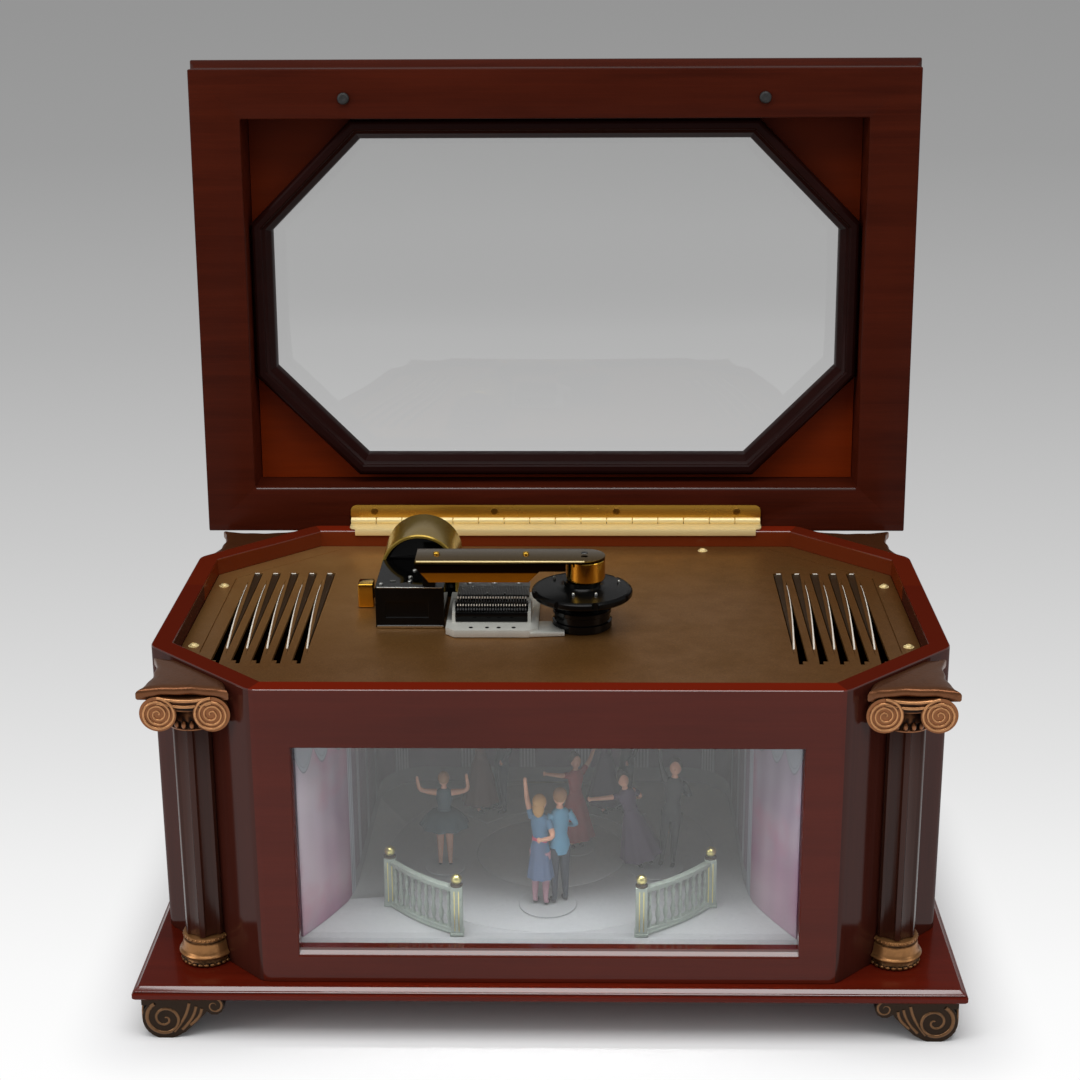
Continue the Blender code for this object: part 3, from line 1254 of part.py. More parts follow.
def music_box():
    """Builds every piece, then moves the whole to its own origin."""
    clear_scene()
    base_board()
    feet()
    case()
    window_glass()
    columns()
    top_plate()
    power_jack()
    lid()
    hinge()
    movement_housing()
    dome_cover()
    start_lever()
    bedplate()
    star_wheels()
    comb()
    pressure_arm()
    hub()
    movement_motor()
    stage_floor()
    stage_ring()
    stage_disc()
    stage_gears()
    stage_motor()
    backdrop()
    balustrades()
    figures()
    lean = math.radians(LEAN)
    far = LID_THICK - LID_LIP_THICK * 0.25
    corners = []
    for n, grow in ((far, LID_LIP), (LID_THICK, LID_LIP * 0.8)):
        corners.append(lid_y(n) - HINGE_Y + math.tan(lean) * (LID_TOP + grow))
    back = HINGE_Y + math.cos(lean) * max(corners)
    root = bpy.data.objects.new("music_box", None)
    bpy.context.scene.collection.objects.link(root)
    root.location = (0.0, (BOARD_HALF_Y - back) / 2, 0.0)
    for obj in bpy.data.objects:
        if obj is not root:
            obj.parent = root
    return root


music_box()
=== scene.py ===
"""Looks of the music box: refined pieces, their finishes and a plain studio, built round the fixed frame."""

import logging
from dataclasses import dataclass
from enum import Enum
from math import cos, pi, radians, sin, sqrt, tau
from typing import Callable, Optional, Sequence

import bmesh
import bpy
from mathutils import Matrix, Vector
from mathutils.bvhtree import BVHTree


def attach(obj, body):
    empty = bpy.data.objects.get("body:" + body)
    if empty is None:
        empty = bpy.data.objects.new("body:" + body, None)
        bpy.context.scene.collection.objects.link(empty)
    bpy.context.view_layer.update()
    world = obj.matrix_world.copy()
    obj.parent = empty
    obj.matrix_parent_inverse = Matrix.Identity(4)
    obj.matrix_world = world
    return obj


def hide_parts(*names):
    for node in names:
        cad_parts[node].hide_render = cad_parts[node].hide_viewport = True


LOG = logging.getLogger("music_box")

Colour = tuple[float, float, float]
Point = tuple[float, float, float]
Pair = tuple[float, float]
Pairs = Sequence[Pair]
Obj = bpy.types.Object
Socket = bpy.types.NodeSocket
Material = bpy.types.Material
NodeTree = bpy.types.NodeTree

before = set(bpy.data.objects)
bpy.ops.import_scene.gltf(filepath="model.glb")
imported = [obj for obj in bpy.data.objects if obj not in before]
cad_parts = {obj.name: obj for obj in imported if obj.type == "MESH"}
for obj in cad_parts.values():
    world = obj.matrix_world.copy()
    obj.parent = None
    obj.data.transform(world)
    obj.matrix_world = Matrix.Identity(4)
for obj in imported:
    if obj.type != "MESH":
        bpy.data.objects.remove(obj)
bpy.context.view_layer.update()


def srgb(code: str) -> Colour:
    """Linear colour of a six-digit hex code."""
    parts = [int(code[i : i + 2], 16) / 255 for i in (0, 2, 4)]
    return tuple(p / 12.92 if p <= 0.04045 else ((p + 0.055) / 1.055) ** 2.4 for p in parts)


# Places that several pieces share, in metres, in the same frame as the fixed parts
SHIFT_Y = -0.018222
GAP = 0.0003
CASE_HALF_X = 0.1667
CASE_HALF_Y = 0.1062
CHAMFER = 0.0483
WALL = 0.0089
RIM_TOP = 0.1560
PLATE_TOP = 0.1482
BOARD_TOP = 0.0254
# Depth of a bump of one, and how far below the rim the lacquer's coat ends, in metres
BUMP_DEPTH = 0.0002
COAT_END = 0.00005
# The coat itself
COAT_ROUGHNESS = 0.10
COAT_IOR = 1.8


def mm(value: object) -> object:
    """Lengths in metres of a number, or of every number in nested tuples and lists, given in millimetres."""
    if isinstance(value, (int, float)):
        return round(value / 1000, 8)
    return type(value)(mm(part) for part in value)


class Along(Enum):
    """Direction that a grain runs in, as the turn of its Mapping node in degrees."""

    X = (0.0, 0.0, 0.0)
    Z = (0.0, 90.0, 0.0)


class Tree:
    """Short way to write a node tree: each call adds one node and links or sets its inputs."""

    def __init__(self, tree: NodeTree) -> None:
        """Starts on an existing tree."""
        self.tree = tree

    def feed(self, target: Socket, value: object) -> None:
        """Links an output into an input, or sets the input's value. A colour's alpha is one."""
        if isinstance(value, Socket):
            self.tree.links.new(value, target)
        else:
            target.default_value = (*value[:3], 1.0) if target.type == "RGBA" else value

    def add(self, kind: str, inputs: Optional[dict] = None, **settings: object) -> bpy.types.Node:
        """Adds a node.

        Args:
            kind: The node's type name, without the ShaderNode start.
            inputs: Values, or output sockets to link, by input name or number.
            settings: The node's own properties.

        Returns:
            The new node.
        """
        node = self.tree.nodes.new("ShaderNode" + kind)
        for key, value in settings.items():
            setattr(node, key, value)
        for key, value in (inputs or {}).items():
            self.feed(node.inputs[key], value)
        return node

    def math(self, operation: str, first: object, second: object = 0.0) -> Socket:
        """A Math node's result."""
        return self.add("Math", {0: first, 1: second}, operation=operation).outputs[0]

    def times(self, first: object, second: object) -> Socket:
        """A product."""
        return self.math("MULTIPLY", first, second)

    def plus(self, first: object, second: object) -> Socket:
        """A sum."""
        return self.math("ADD", first, second)

    def mix(self, share: object, first: object, second: object) -> Socket:
        """A colour mix's result."""
        return self.add("Mix", {0: share, 6: first, 7: second}, data_type="RGBA").outputs[2]

    def spread(
        self, value: object, low: float, high: float, to_low: float = 0.0, to_high: float = 1.0
    ) -> Socket:
        """A value mapped from one range to another, held inside it."""
        return self.add("MapRange", {0: value, 1: low, 2: high, 3: to_low, 4: to_high}).outputs[0]

    def scaled(self, vector: Socket, scale: Point) -> Socket:
        """A vector stretched each way."""
        return self.add("Mapping", {"Vector": vector, "Scale": scale}).outputs[0]

    def noise(self, vector: Socket, scale: float, detail: float = 4.0, rough: float = 0.5) -> Socket:
        """A noise texture's value."""
        inputs = {"Vector": vector, "Scale": scale, "Detail": detail, "Roughness": rough}
        return self.add("TexNoise", inputs).outputs[0]

    def results(self, **sockets: Socket) -> NodeTree:
        """Gives a group its outputs, a colour for the name Color and a number for the others."""
        for label in sockets:
            kind = "NodeSocketColor" if label == "Color" else "NodeSocketFloat"
            self.tree.interface.new_socket(label, in_out="OUTPUT", socket_type=kind)
        end = self.tree.nodes.new("NodeGroupOutput")
        for label, socket in sockets.items():
            self.feed(end.inputs[label], socket)
        return self.tree


def new_group(name: str, colours: Sequence[str], numbers: Sequence[str]) -> tuple:
    """A shader node group with a vector and named inputs.

    Args:
        name: The group's name.
        colours: Names of its colour inputs.
        numbers: Names of its number inputs.

    Returns:
        Its Tree, and what comes in by name.
    """
    group = bpy.data.node_groups.new(name, "ShaderNodeTree")
    for kind, labels in (("Vector", ("Vector",)), ("Color", colours), ("Float", numbers)):
        for label in labels:
            group.interface.new_socket(label, in_out="INPUT", socket_type="NodeSocket" + kind)
    return Tree(group), group.nodes.new("NodeGroupInput").outputs


class Effects:
    """The shader effects that more than one finish uses, each built once."""

    def __init__(self) -> None:
        """Builds all the groups."""
        self.timber = self._timber()
        self.smudge = self._smudge()
        self.patina = self._patina()
        self.speckle = self._speckle()

    @staticmethod
    def _timber() -> NodeTree:
        """Lacquered close-grained wood: long streaks, fine pores and a slow tone change."""
        t, given = new_group("timber", ("Base", "Dark", "Light"), ("Grain", "Gloss"))
        stretch = t.scaled(given["Vector"], (1.0, 14.0, 14.0))
        wavy = t.noise(stretch, 9.0, 6.0, 0.62)
        streak = t.noise(t.scaled(stretch, (0.6, 5.0, 5.0)), 16.0, 5.0, 0.7)
        pores = t.noise(t.scaled(stretch, (3.0, 9.0, 9.0)), 60.0, 2.0, 0.6)
        slow = t.noise(given["Vector"], 7.0, 3.0)
        tone = t.mix(t.times(t.spread(wavy, 0.42, 0.68), given["Grain"]), given["Base"], given["Dark"])
        tone = t.mix(t.times(t.spread(streak, 0.50, 0.78, 0.0, 0.5), given["Grain"]), tone, given["Light"])
        tone = t.mix(t.spread(slow, 0.35, 0.75, 0.0, 0.28), tone, given["Light"])
        tone = t.mix(t.spread(pores, 0.60, 0.75, 0.0, 0.22), tone, given["Dark"])
        rough = t.plus(given["Gloss"], t.spread(slow, 0.3, 0.8, -0.03, 0.06))
        return t.results(
            Color=tone, Roughness=rough, Height=t.plus(t.times(wavy, 0.4), t.times(pores, 0.6))
        )

    @staticmethod
    def _smudge() -> NodeTree:
        """Finger marks and fine wiping lines on polished metal, glass and plastic."""
        t, given = new_group("smudge", (), ("Gloss", "Amount"))
        cloud = t.noise(given["Vector"], 38.0, 5.0, 0.6)
        wipe = t.noise(t.scaled(given["Vector"], (1.0, 18.0, 6.0)), 70.0, 3.0)
        mask = t.times(t.spread(cloud, 0.48, 0.72), given["Amount"])
        lines = t.times(t.spread(wipe, 0.5, 0.8, 0.0, 0.5), given["Amount"])
        rough = t.plus(given["Gloss"], t.times(t.plus(mask, lines), 0.10))
        return t.results(Roughness=rough, Mask=mask, Height=wipe)

    @staticmethod
    def _patina() -> NodeTree:
        """Antique finish: dark in the hollows, rubbed bright on the high places."""
        t, given = new_group("patina", ("Base", "Bright", "Deep"), ("Hollow",))
        cloud = t.noise(given["Vector"], 160.0, 6.0, 0.65)
        fine = t.noise(given["Vector"], 700.0, 4.0, 0.6)
        worn = t.plus(given["Hollow"], t.spread(cloud, 0.3, 0.7, -0.16, 0.16))
        tone = t.mix(t.spread(worn, 0.15, 0.50), given["Deep"], given["Base"])
        tone = t.mix(t.spread(worn, 0.52, 0.95), tone, given["Bright"])
        tone = t.mix(t.spread(fine, 0.55, 0.8, 0.0, 0.3), tone, given["Deep"])
        return t.results(
            Color=tone, Roughness=t.spread(worn, 0.2, 0.9, 0.55, 0.30), Height=t.plus(cloud, fine)
        )

    @staticmethod
    def _speckle() -> NodeTree:
        """Fine hammered or sprayed grain of bright and dark flecks."""
        t, given = new_group("speckle", ("Base", "Fleck", "Deep"), ("Size", "Gloss"))
        inputs = {0: given["Vector"], "Scale": given["Size"]}
        sized = t.add("VectorMath", operation="SCALE", inputs=inputs).outputs[0]
        fine = t.noise(sized, 1500.0, 3.0, 0.6)
        broad = t.noise(sized, 60.0, 4.0, 0.6)
        tone = t.mix(t.spread(fine, 0.55, 0.75, 0.0, 0.55), given["Base"], given["Fleck"])
        tone = t.mix(t.spread(fine, 0.42, 0.28, 0.0, 0.55), tone, given["Deep"])
        tone = t.mix(t.spread(broad, 0.35, 0.7, 0.0, 0.25), tone, given["Deep"])
        rough = t.plus(given["Gloss"], t.spread(broad, 0.3, 0.7, -0.05, 0.08))
        return t.results(Color=tone, Roughness=rough, Height=fine)


EFFECTS = Effects()


class Surface(Tree):
    """A new material's tree, with its shader and Object coordinates."""

    def __init__(self, name: str) -> None:
        """Makes the material."""
        self.made = bpy.data.materials.new(name)
        self.made.use_nodes = True
        super().__init__(self.made.node_tree)
        self.shader = self.tree.nodes["Principled BSDF"]
        self.where = self.add("TexCoord").outputs["Object"]

    def set(self, label: str, value: object) -> None:
        """Links or sets one of the shader's inputs."""
        self.feed(self.shader.inputs[label], value)

    def split(self) -> tuple[Socket, Socket, Socket]:
        """The three Object coordinates."""
        parts = self.add("SeparateXYZ", {0: self.where}).outputs
        return parts["X"], parts["Y"], parts["Z"]

    def bump(self, height: Socket, strength: float) -> None:
        """Lets a height move the shader's normal."""
        node = self.add("Bump", {"Height": height, "Strength": strength, "Distance": BUMP_DEPTH})
        self.set("Normal", node.outputs[0])

    def dress(self, group: NodeTree, bump: float, **values: object) -> Sequence:
        """Adds an effect, and feeds its colour, roughness and height to the shader.

        Args:
            group: The effect.
            bump: Strength of its height.
            values: What goes into it. Text is a colour's hex code.

        Returns:
            The effect's outputs.
        """
        inputs = {key: srgb(value) if isinstance(value, str) else value for key, value in values.items()}
        effect = self.add("Group", {"Vector": self.where, **inputs}, node_tree=group).outputs
        if "Color" in effect:
            self.set("Base Color", effect["Color"])
        self.set("Roughness", effect["Roughness"])
        self.bump(effect["Height"], bump)
        return effect


@dataclass(frozen=True)
class Finish:
    """A named recipe for a material."""

    name: str

    def surface(self) -> Surface:
        """Its new material."""
        return Surface(self.name)


@dataclass(frozen=True)
class TimberFinish(Finish):
    """Lacquered wood, with its coat at full strength in its shiny boxes (half width, depths, heights),
    painted light on the rim's top and on the rear above the plate where a rim colour is given, and painted
    shade towards the top where its heights are given.
    """

    base: str
    dark: str
    light: str
    along: Along = Along.X
    gloss: float = 0.24
    shine: float = 0.25
    coat: float = 0.0
    grain: float = 0.4
    shiny: tuple[tuple[float, float, float, float, float], ...] = ()
    rim: str = ""
    painted_shade_heights: Optional[Pair] = None

    def build(self) -> Material:
        """The finish's material."""
        t = self.surface()
        turned = tuple(radians(a) for a in self.along.value)
        vector = t.add("Mapping", {"Vector": t.where, "Rotation": turned}).outputs[0]
        tones = {"Base": self.base, "Dark": self.dark, "Light": self.light}
        effect = t.dress(EFFECTS.timber, 0.05, Vector=vector, Grain=self.grain, Gloss=self.gloss, **tones)
        t.set("Specular IOR Level", self.shine)
        x, y, z = t.split()
        if self.coat:
            weight = t.times(t.math("LESS_THAN", z, RIM_TOP - COAT_END), self.coat)
            for half, near, far, low, high in self.shiny:
                inside = t.math("LESS_THAN", t.math("ABSOLUTE", x), half)
                for value, least, most in ((y, near, far), (z, low, high)):
                    inside = t.times(inside, t.math("GREATER_THAN", value, least))
                    inside = t.times(inside, t.math("LESS_THAN", value, most))
                weight = t.math("MAXIMUM", weight, inside)
            t.set("Coat Weight", weight)
            t.set("Coat Roughness", COAT_ROUGHNESS)
            t.set("Coat IOR", COAT_IOR)
        tone = effect["Color"]
        # Painted shade: between these two heights the tone darkens towards the dark colour, darkest at the
        # top.
        if self.painted_shade_heights:
            tone = t.mix(t.spread(z, *self.painted_shade_heights, 0.0, 0.9), tone, srgb(self.dark))
        # Painted light: the rim's top turns lighter and redder, as where light falls on it, and the rear half
        # above the plate takes a lighter, redder tint as painted light on the rear boards' inner faces, which
        # also reaches their outer faces.
        if self.rim:
            painted_rear_light = t.times(t.math("GREATER_THAN", z, PLATE_TOP), t.math("GREATER_THAN", y, 0.0))
            tone = t.mix(t.times(painted_rear_light, 0.7), tone, srgb("6e2a0c"))
            tone = t.mix(t.spread(z, RIM_TOP - 0.0004, RIM_TOP - 0.0001, 0.0, 0.85), tone, srgb(self.rim))
        t.set("Base Color", tone)
        return t.made


@dataclass(frozen=True)
class MetalFinish(Finish):
    """Polished or satin metal with finger marks, in other colours above some heights as painted reflections.
    """

    colour: str
    gloss: float = 0.08
    marks: float = 1.0
    metallic: float = 1.0
    above: tuple[tuple[float, str], ...] = ()

    def build(self) -> Material:
        """The finish's material."""
        t = self.surface()
        effect = t.dress(EFFECTS.smudge, 0.02, Gloss=self.gloss, Amount=self.marks)
        base = srgb(self.colour)
        tone = t.mix(t.times(effect["Mask"], 0.5), base, tuple(c * 0.72 for c in base))
        height = t.split()[2]
        # Painted reflection: above each height the metal takes another colour, standing in for what it
        # mirrors there.
        for level, colour in self.above:
            tone = t.mix(t.spread(height, level, level + 0.0005), tone, srgb(colour))
        t.set("Base Color", tone)
        t.set("Metallic", self.metallic)
        return t.made


@dataclass(frozen=True)
class PatinaFinish(Finish):
    """Antique bronze that reads the hollow attribute of its piece."""

    base: str
    bright: str
    deep: str

    def build(self) -> Material:
        """The finish's material."""
        t = self.surface()
        hollow = t.add("Attribute", attribute_name="hollow").outputs["Fac"]
        t.dress(EFFECTS.patina, 0.35, Base=self.base, Bright=self.bright, Deep=self.deep, Hollow=hollow)
        t.set("Metallic", 0.75)
        return t.made


@dataclass(frozen=True)
class SpeckleFinish(Finish):
    """Flecked paint or casting, with a lighter tone towards the left rear as a painted sheen where it has a
    lift.
    """

    base: str
    fleck: str
    deep: str
    gloss: float
    metallic: float = 0.0
    size: float = 1.0
    bump: float = 0.08
    lift: str = ""

    def build(self) -> Material:
        """The finish's material."""
        t = self.surface()
        tones = {"Base": self.base, "Fleck": self.fleck, "Deep": self.deep}
        effect = t.dress(EFFECTS.speckle, self.bump, Size=self.size, Gloss=self.gloss, **tones)
        # Painted sheen: a lighter tone towards the left rear of the piece.
        if self.lift:
            x, y, _ = t.split()
            share = t.times(t.spread(x, 0.08, -0.12), t.spread(y, -0.08, 0.06, 0.0, 0.6))
            t.set("Base Color", t.mix(share, effect["Color"], srgb(self.lift)))
        t.set("Metallic", self.metallic)
        return t.made


@dataclass(frozen=True)
class GlossFinish(Finish):
    """Gloss or satin plastic and rubber."""

    colour: str
    gloss: float
    marks: float = 1.0
    shine: float = 0.5

    def build(self) -> Material:
        """The finish's material."""
        t = self.surface()
        effect = t.dress(EFFECTS.smudge, 0.03, Gloss=self.gloss, Amount=self.marks)
        base = srgb(self.colour)
        t.set("Base Color", t.mix(effect["Mask"], base, tuple(min(1.0, c * 1.25 + 0.002) for c in base)))
        t.set("Specular IOR Level", self.shine)
        return t.made


@dataclass(frozen=True)
class GlassFinish(Finish):
    """Clear pane: see-through, with the reflection growing towards glancing angles."""

    straight: float = 0.04

    def build(self) -> Material:
        """The finish's material."""
        t = self.surface()
        inputs = {"Vector": t.where, "Gloss": 0.02, "Amount": 0.15}
        effect = t.add("Group", inputs, node_tree=EFFECTS.smudge).outputs
        t.set("Roughness", effect["Roughness"])
        t.set("Base Color", (0.95, 0.97, 0.96))
        t.set("Metallic", 1.0)
        facing = t.add("LayerWeight", {"Blend": 0.5}).outputs["Facing"]
        share = t.plus(t.times(t.math("POWER", facing, 5.0), 1.0 - self.straight), self.straight)
        t.set("Alpha", t.plus(share, t.times(effect["Mask"], 0.01)))
        t.made.surface_render_method = "BLENDED"
        return t.made


@dataclass(frozen=True)
class PrintFinish(Finish):
    """Printed hall: draped wings, pale columns and mauve walls, by length along the sheet and height."""

    wing_from: float = 0.1930
    top_z: float = 0.1380
    columns: tuple[float, ...] = (0.0135, 0.0420, 0.0760, 0.1100, 0.1420, 0.1720)
    column_half: float = 0.0042

    def band(self, t: Tree, value: object, centre: float, half: float, soft: float = 0.0006) -> object:
        """One inside a band of a value, nothing outside it."""
        off = t.math("ABSOLUTE", t.math("SUBTRACT", value, centre))
        return t.spread(off, half, half - soft)

    def build(self) -> Material:
        """The finish's material."""
        t = self.surface()
        split = t.add("SeparateXYZ", {0: t.add("UVMap", uv_map="print").outputs["UV"]})
        along, up = split.outputs["X"], split.outputs["Y"]
        away = t.math("ABSOLUTE", along)
        cloud = t.noise(t.where, 30.0, 4.0, 0.55)
        broad = t.noise(t.where, 14.0, 2.0, 0.5)
        wall = t.mix(t.spread(cloud, 0.35, 0.65), srgb("6d5a6c"), srgb("8a7488"))
        wall = t.mix(t.spread(up, 0.060, 0.040, 0.0, 0.5), wall, srgb("54465a"))
        pillars = None
        fluting = t.math("SINE", t.times(away, tau / 0.0016))
        for centre in self.columns:
            one = self.band(t, away, centre, self.column_half)
            pillars = one if pillars is None else t.math("MAXIMUM", pillars, one)
        stone = t.mix(t.spread(fluting, -1.0, 1.0), srgb("8f8f98"), srgb("b9bac2"))
        tone = t.mix(pillars, wall, stone)
        cornice = self.band(t, up, 0.1290, 0.0045)
        dentils = t.spread(t.math("SINE", t.times(away, tau / 0.0042)), -0.1, 0.1)
        tone = t.mix(cornice, tone, t.mix(dentils, srgb("9a9aa4"), srgb("7c7a86")))
        plinth = t.spread(up, 0.0465, 0.0455)
        tone = t.mix(plinth, tone, srgb("8a8890"))
        fold = t.math("SINE", t.times(t.plus(away, t.times(broad, 0.012)), tau / 0.0115))
        low_share = t.spread(t.plus(up, t.times(broad, 0.05)), 0.125, 0.085)
        drape = t.mix(low_share, srgb("a092a4"), srgb("8c4a74"))
        drape = t.mix(t.spread(fold, -1.0, 1.0, 0.0, 0.22), drape, srgb("5c3a58"))
        drape = t.mix(t.spread(broad, 0.52, 0.68, 0.0, 0.60), drape, srgb("c8bac2"))
        drape = t.mix(t.spread(cloud, 0.52, 0.68, 0.0, 0.45), drape, srgb("b25c78"))
        scallop = t.math("ABSOLUTE", t.math("SINE", t.times(away, pi / 0.0130)))
        valance = t.plus(self.top_z - 0.018, t.times(scallop, -0.009))
        over = t.math("SUBTRACT", up, valance)
        drape = t.mix(t.spread(over, -0.0003, 0.0003), drape, srgb("9a9ea8"))
        drape = t.mix(self.band(t, over, 0.0002, 0.0005), drape, srgb("54545e"))
        drape = t.mix(self.band(t, over, 0.0026, 0.0004), drape, srgb("6a6c76"))
        tone = t.mix(t.spread(away, self.wing_from - 0.0002, self.wing_from + 0.0002), tone, drape)
        edge = self.band(t, away, self.wing_from - 0.0035, 0.0036, 0.0003)
        lines = t.spread(t.math("SINE", t.times(away, tau / 0.0024)), -1.0, 1.0)
        tone = t.mix(edge, tone, t.mix(lines, srgb("8c8e9a"), srgb("c0c3ce")))
        t.set("Base Color", tone)
        t.set("Roughness", t.spread(cloud, 0.3, 0.7, 0.50, 0.62))
        t.bump(t.noise(t.where, 900.0, 2.0), 0.03)
        return t.made


class Axis(Enum):
    """Directions that shapes are pulled or turned along."""

    X = (1.0, 0.0, 0.0)
    Y = (0.0, 1.0, 0.0)
    Z = (0.0, 0.0, 1.0)


def shares(count: int) -> list[float]:
    """Even steps from nothing to one, both ends included."""
    return [i / count for i in range(count + 1)]


def face_on(points: Pairs, axis: Axis, height: float) -> list[Point]:
    """Plan points set at a height along an axis."""
    place = {
        Axis.X: lambda a, b: (height, a, b), Axis.Y: lambda a, b: (a, height, b), Axis.Z: lambda a,
        b: (a, b, height)
    }
    return [place[axis](a, b) for a, b in points]


def around(radius: float, turn: float, centre: Pair = (0.0, 0.0)) -> Pair:
    """Plan point at a distance from a centre, in the direction of an angle in radians."""
    return (centre[0] + radius * cos(turn), centre[1] + radius * sin(turn))


def ring_of(radius: float, count: int, centre: Pair) -> list[Pair]:
    """Plan points of a circle."""
    return [around(radius, tau * i / count, centre) for i in range(count)]


def linked(name: str, data: bpy.types.ID) -> Obj:
    """A new object in the scene."""
    obj = bpy.data.objects.new(name, data)
    bpy.context.scene.collection.objects.link(obj)
    return obj


def from_bmesh(name: str, shape: bmesh.types.BMesh) -> Obj:
    """A new object from a loose mesh, which is used up."""
    mesh = bpy.data.meshes.new(name)
    shape.to_mesh(mesh)
    shape.free()
    return linked(name, mesh)


class Bench:
    """Modelling steps made with Blender's operators, on one object at a time."""

    @staticmethod
    def only(*objects: Obj) -> Obj:
        """Leaves just these objects selected, the first of them active."""
        if bpy.context.object and bpy.context.object.mode != "OBJECT":
            bpy.ops.object.mode_set(mode="OBJECT")
        bpy.ops.object.select_all(action="DESELECT")
        for obj in objects:
            obj.select_set(True)
        bpy.context.view_layer.objects.active = objects[0]
        return objects[0]

    @staticmethod
    def edit(obj: Obj, steps: Callable[[], object], everything: bool = True) -> Obj:
        """Runs operator steps in edit mode, with the whole mesh selected unless told otherwise."""
        Bench.only(obj)
        bpy.ops.object.mode_set(mode="EDIT")
        if everything:
            bpy.ops.mesh.select_all(action="SELECT")
        steps()
        bpy.ops.object.mode_set(mode="OBJECT")
        return obj

    @staticmethod
    def outline(points: Sequence[Point], filled: bool = True) -> Obj:
        """A ring of points, from a circle whose corners are moved into place."""
        bpy.ops.object.select_all(action="DESELECT")
        fill = "NGON" if filled else "NOTHING"
        bpy.ops.mesh.primitive_circle_add(vertices=len(points), radius=0.01, fill_type=fill)
        obj = bpy.context.object
        obj.data.vertices.foreach_set("co", [c for point in points for c in point])
        obj.data.update()
        return obj

    @staticmethod
    def outward(obj: Obj) -> Obj:
        """Merges doubles and turns the faces outwards."""

        def steps() -> None:
            bpy.ops.mesh.remove_doubles(threshold=1e-6)
            bpy.ops.mesh.normals_make_consistent(inside=False)

        return Bench.edit(obj, steps)

    @staticmethod
    def prism(points: Pairs, low: float, high: float, axis: Axis = Axis.Z) -> Obj:
        """A solid pulled from an outline along an axis."""
        obj = Bench.outline(face_on(points, axis, low))
        pull = tuple(c * (high - low) for c in axis.value)

        def steps() -> None:
            bpy.ops.mesh.extrude_region_move(TRANSFORM_OT_translate={"value": pull})

        Bench.edit(obj, steps)
        return Bench.outward(obj)

    @staticmethod
    def box(x: Pair, y: Pair, z: Pair) -> Obj:
        """A block between two values each way."""
        return Bench.prism([(x[0], y[0]), (x[1], y[0]), (x[1], y[1]), (x[0], y[1])], z[0], z[1])

    @staticmethod
    def lathe(profile: Pairs, centre: Point, axis: Axis = Axis.Z, steps: int = 40) -> Obj:
        """A turned solid.

        Args:
            profile: Radius and height of each corner of its half outline; the ends are closed at the axis.
            centre: A point of the axis, from which the heights count.
            axis: Direction of the axis.
            steps: Sides round the axis.

        Returns:
            The solid, with its place in its mesh.
        """
        shape = [(0.0, profile[0][1]), *profile, (0.0, profile[-1][1])]
        place = {
            Axis.X: lambda r, h: (h, r, 0.0), Axis.Y: lambda r, h: (r, h, 0.0), Axis.Z: lambda r,
            h: (r, 0.0, h)
        }
        points = [tuple(Vector(centre) + Vector(place[axis](r, h))) for r, h in shape]
        obj = Bench.outline(points, filled=False)
        last = len(points) - 1
        for edge in obj.data.edges:
            edge.select = set(edge.vertices) == {0, last}
        for vertex in obj.data.vertices:
            vertex.select = False

        def turn() -> None:
            bpy.ops.mesh.select_mode(type="EDGE")
            bpy.ops.mesh.delete(type="EDGE")
            bpy.ops.mesh.select_mode(type="VERT")
            bpy.ops.mesh.select_all(action="SELECT")
            bpy.ops.mesh.spin(steps=steps, angle=tau, center=centre, axis=axis.value)

        Bench.edit(obj, turn, everything=False)
        return Bench.outward(obj)

    @staticmethod
    def tube(
        path: Sequence[Point], radius: float, sides: int = 2, closed: bool = False,
        taper: Sequence[float] = ()
    ) -> Obj:
        """A round bar along a path, made as a curve and then turned into a mesh."""
        data = bpy.data.curves.new("path", "CURVE")
        data.dimensions = "3D"
        data.bevel_depth = radius
        data.bevel_resolution = sides
        data.use_fill_caps = True
        spline = data.splines.new("POLY")
        spline.points.add(len(path) - 1)
        for i, (point, place) in enumerate(zip(spline.points, path)):
            point.co = (*place, 1.0)
            point.radius = taper[i] if taper else 1.0
        spline.use_cyclic_u = closed
        Bench.only(linked("path", data))
        bpy.ops.object.convert(target="MESH")
        return bpy.context.object

    @staticmethod
    def ball(matrix: Matrix, radius: float = 1.0, segments: int = 0, rings: int = 0) -> Obj:
        """A ball moved and stretched by a matrix: an even one, or one of segments and rings."""
        bpy.ops.object.select_all(action="DESELECT")
        if segments:
            bpy.ops.mesh.primitive_uv_sphere_add(segments=segments, ring_count=rings, radius=radius)
        else:
            bpy.ops.mesh.primitive_ico_sphere_add(subdivisions=2, radius=radius)
        return Bench.moved(bpy.context.object, matrix)

    @staticmethod
    def copy_of(source: Obj) -> Obj:
        """A copy of a mesh object with its own mesh, free of parent and custom values."""
        return linked(source.name + "_copy", source.data.copy())

    @staticmethod
    def moved(obj: Obj, matrix: Matrix) -> Obj:
        """Moves the mesh itself, and keeps its faces outwards if that mirrors it."""
        obj.data.transform(matrix)
        if matrix.determinant() < 0:
            obj.data.flip_normals()
        obj.data.update()
        return obj

    @staticmethod
    def join(objects: Sequence[Obj]) -> Obj:
        """Joins several objects into the first."""
        Bench.only(*objects)
        if len(objects) > 1:
            bpy.ops.object.join()
        return bpy.context.object

    @staticmethod
    def merged(objects: Sequence[Obj], angle: float) -> Obj:
        """Joins several objects and shades them smooth up to an angle."""
        return Bench.smooth(Bench.join(objects), angle)

    @staticmethod
    def apply(obj: Obj, kind: str, **settings: object) -> Obj:
        """Adds a modifier and applies it."""
        Bench.only(obj)
        modifier = obj.modifiers.new(kind, kind)
        for key, value in settings.items():
            setattr(modifier, key, value)
        bpy.ops.object.modifier_apply(modifier=modifier.name)
        return obj

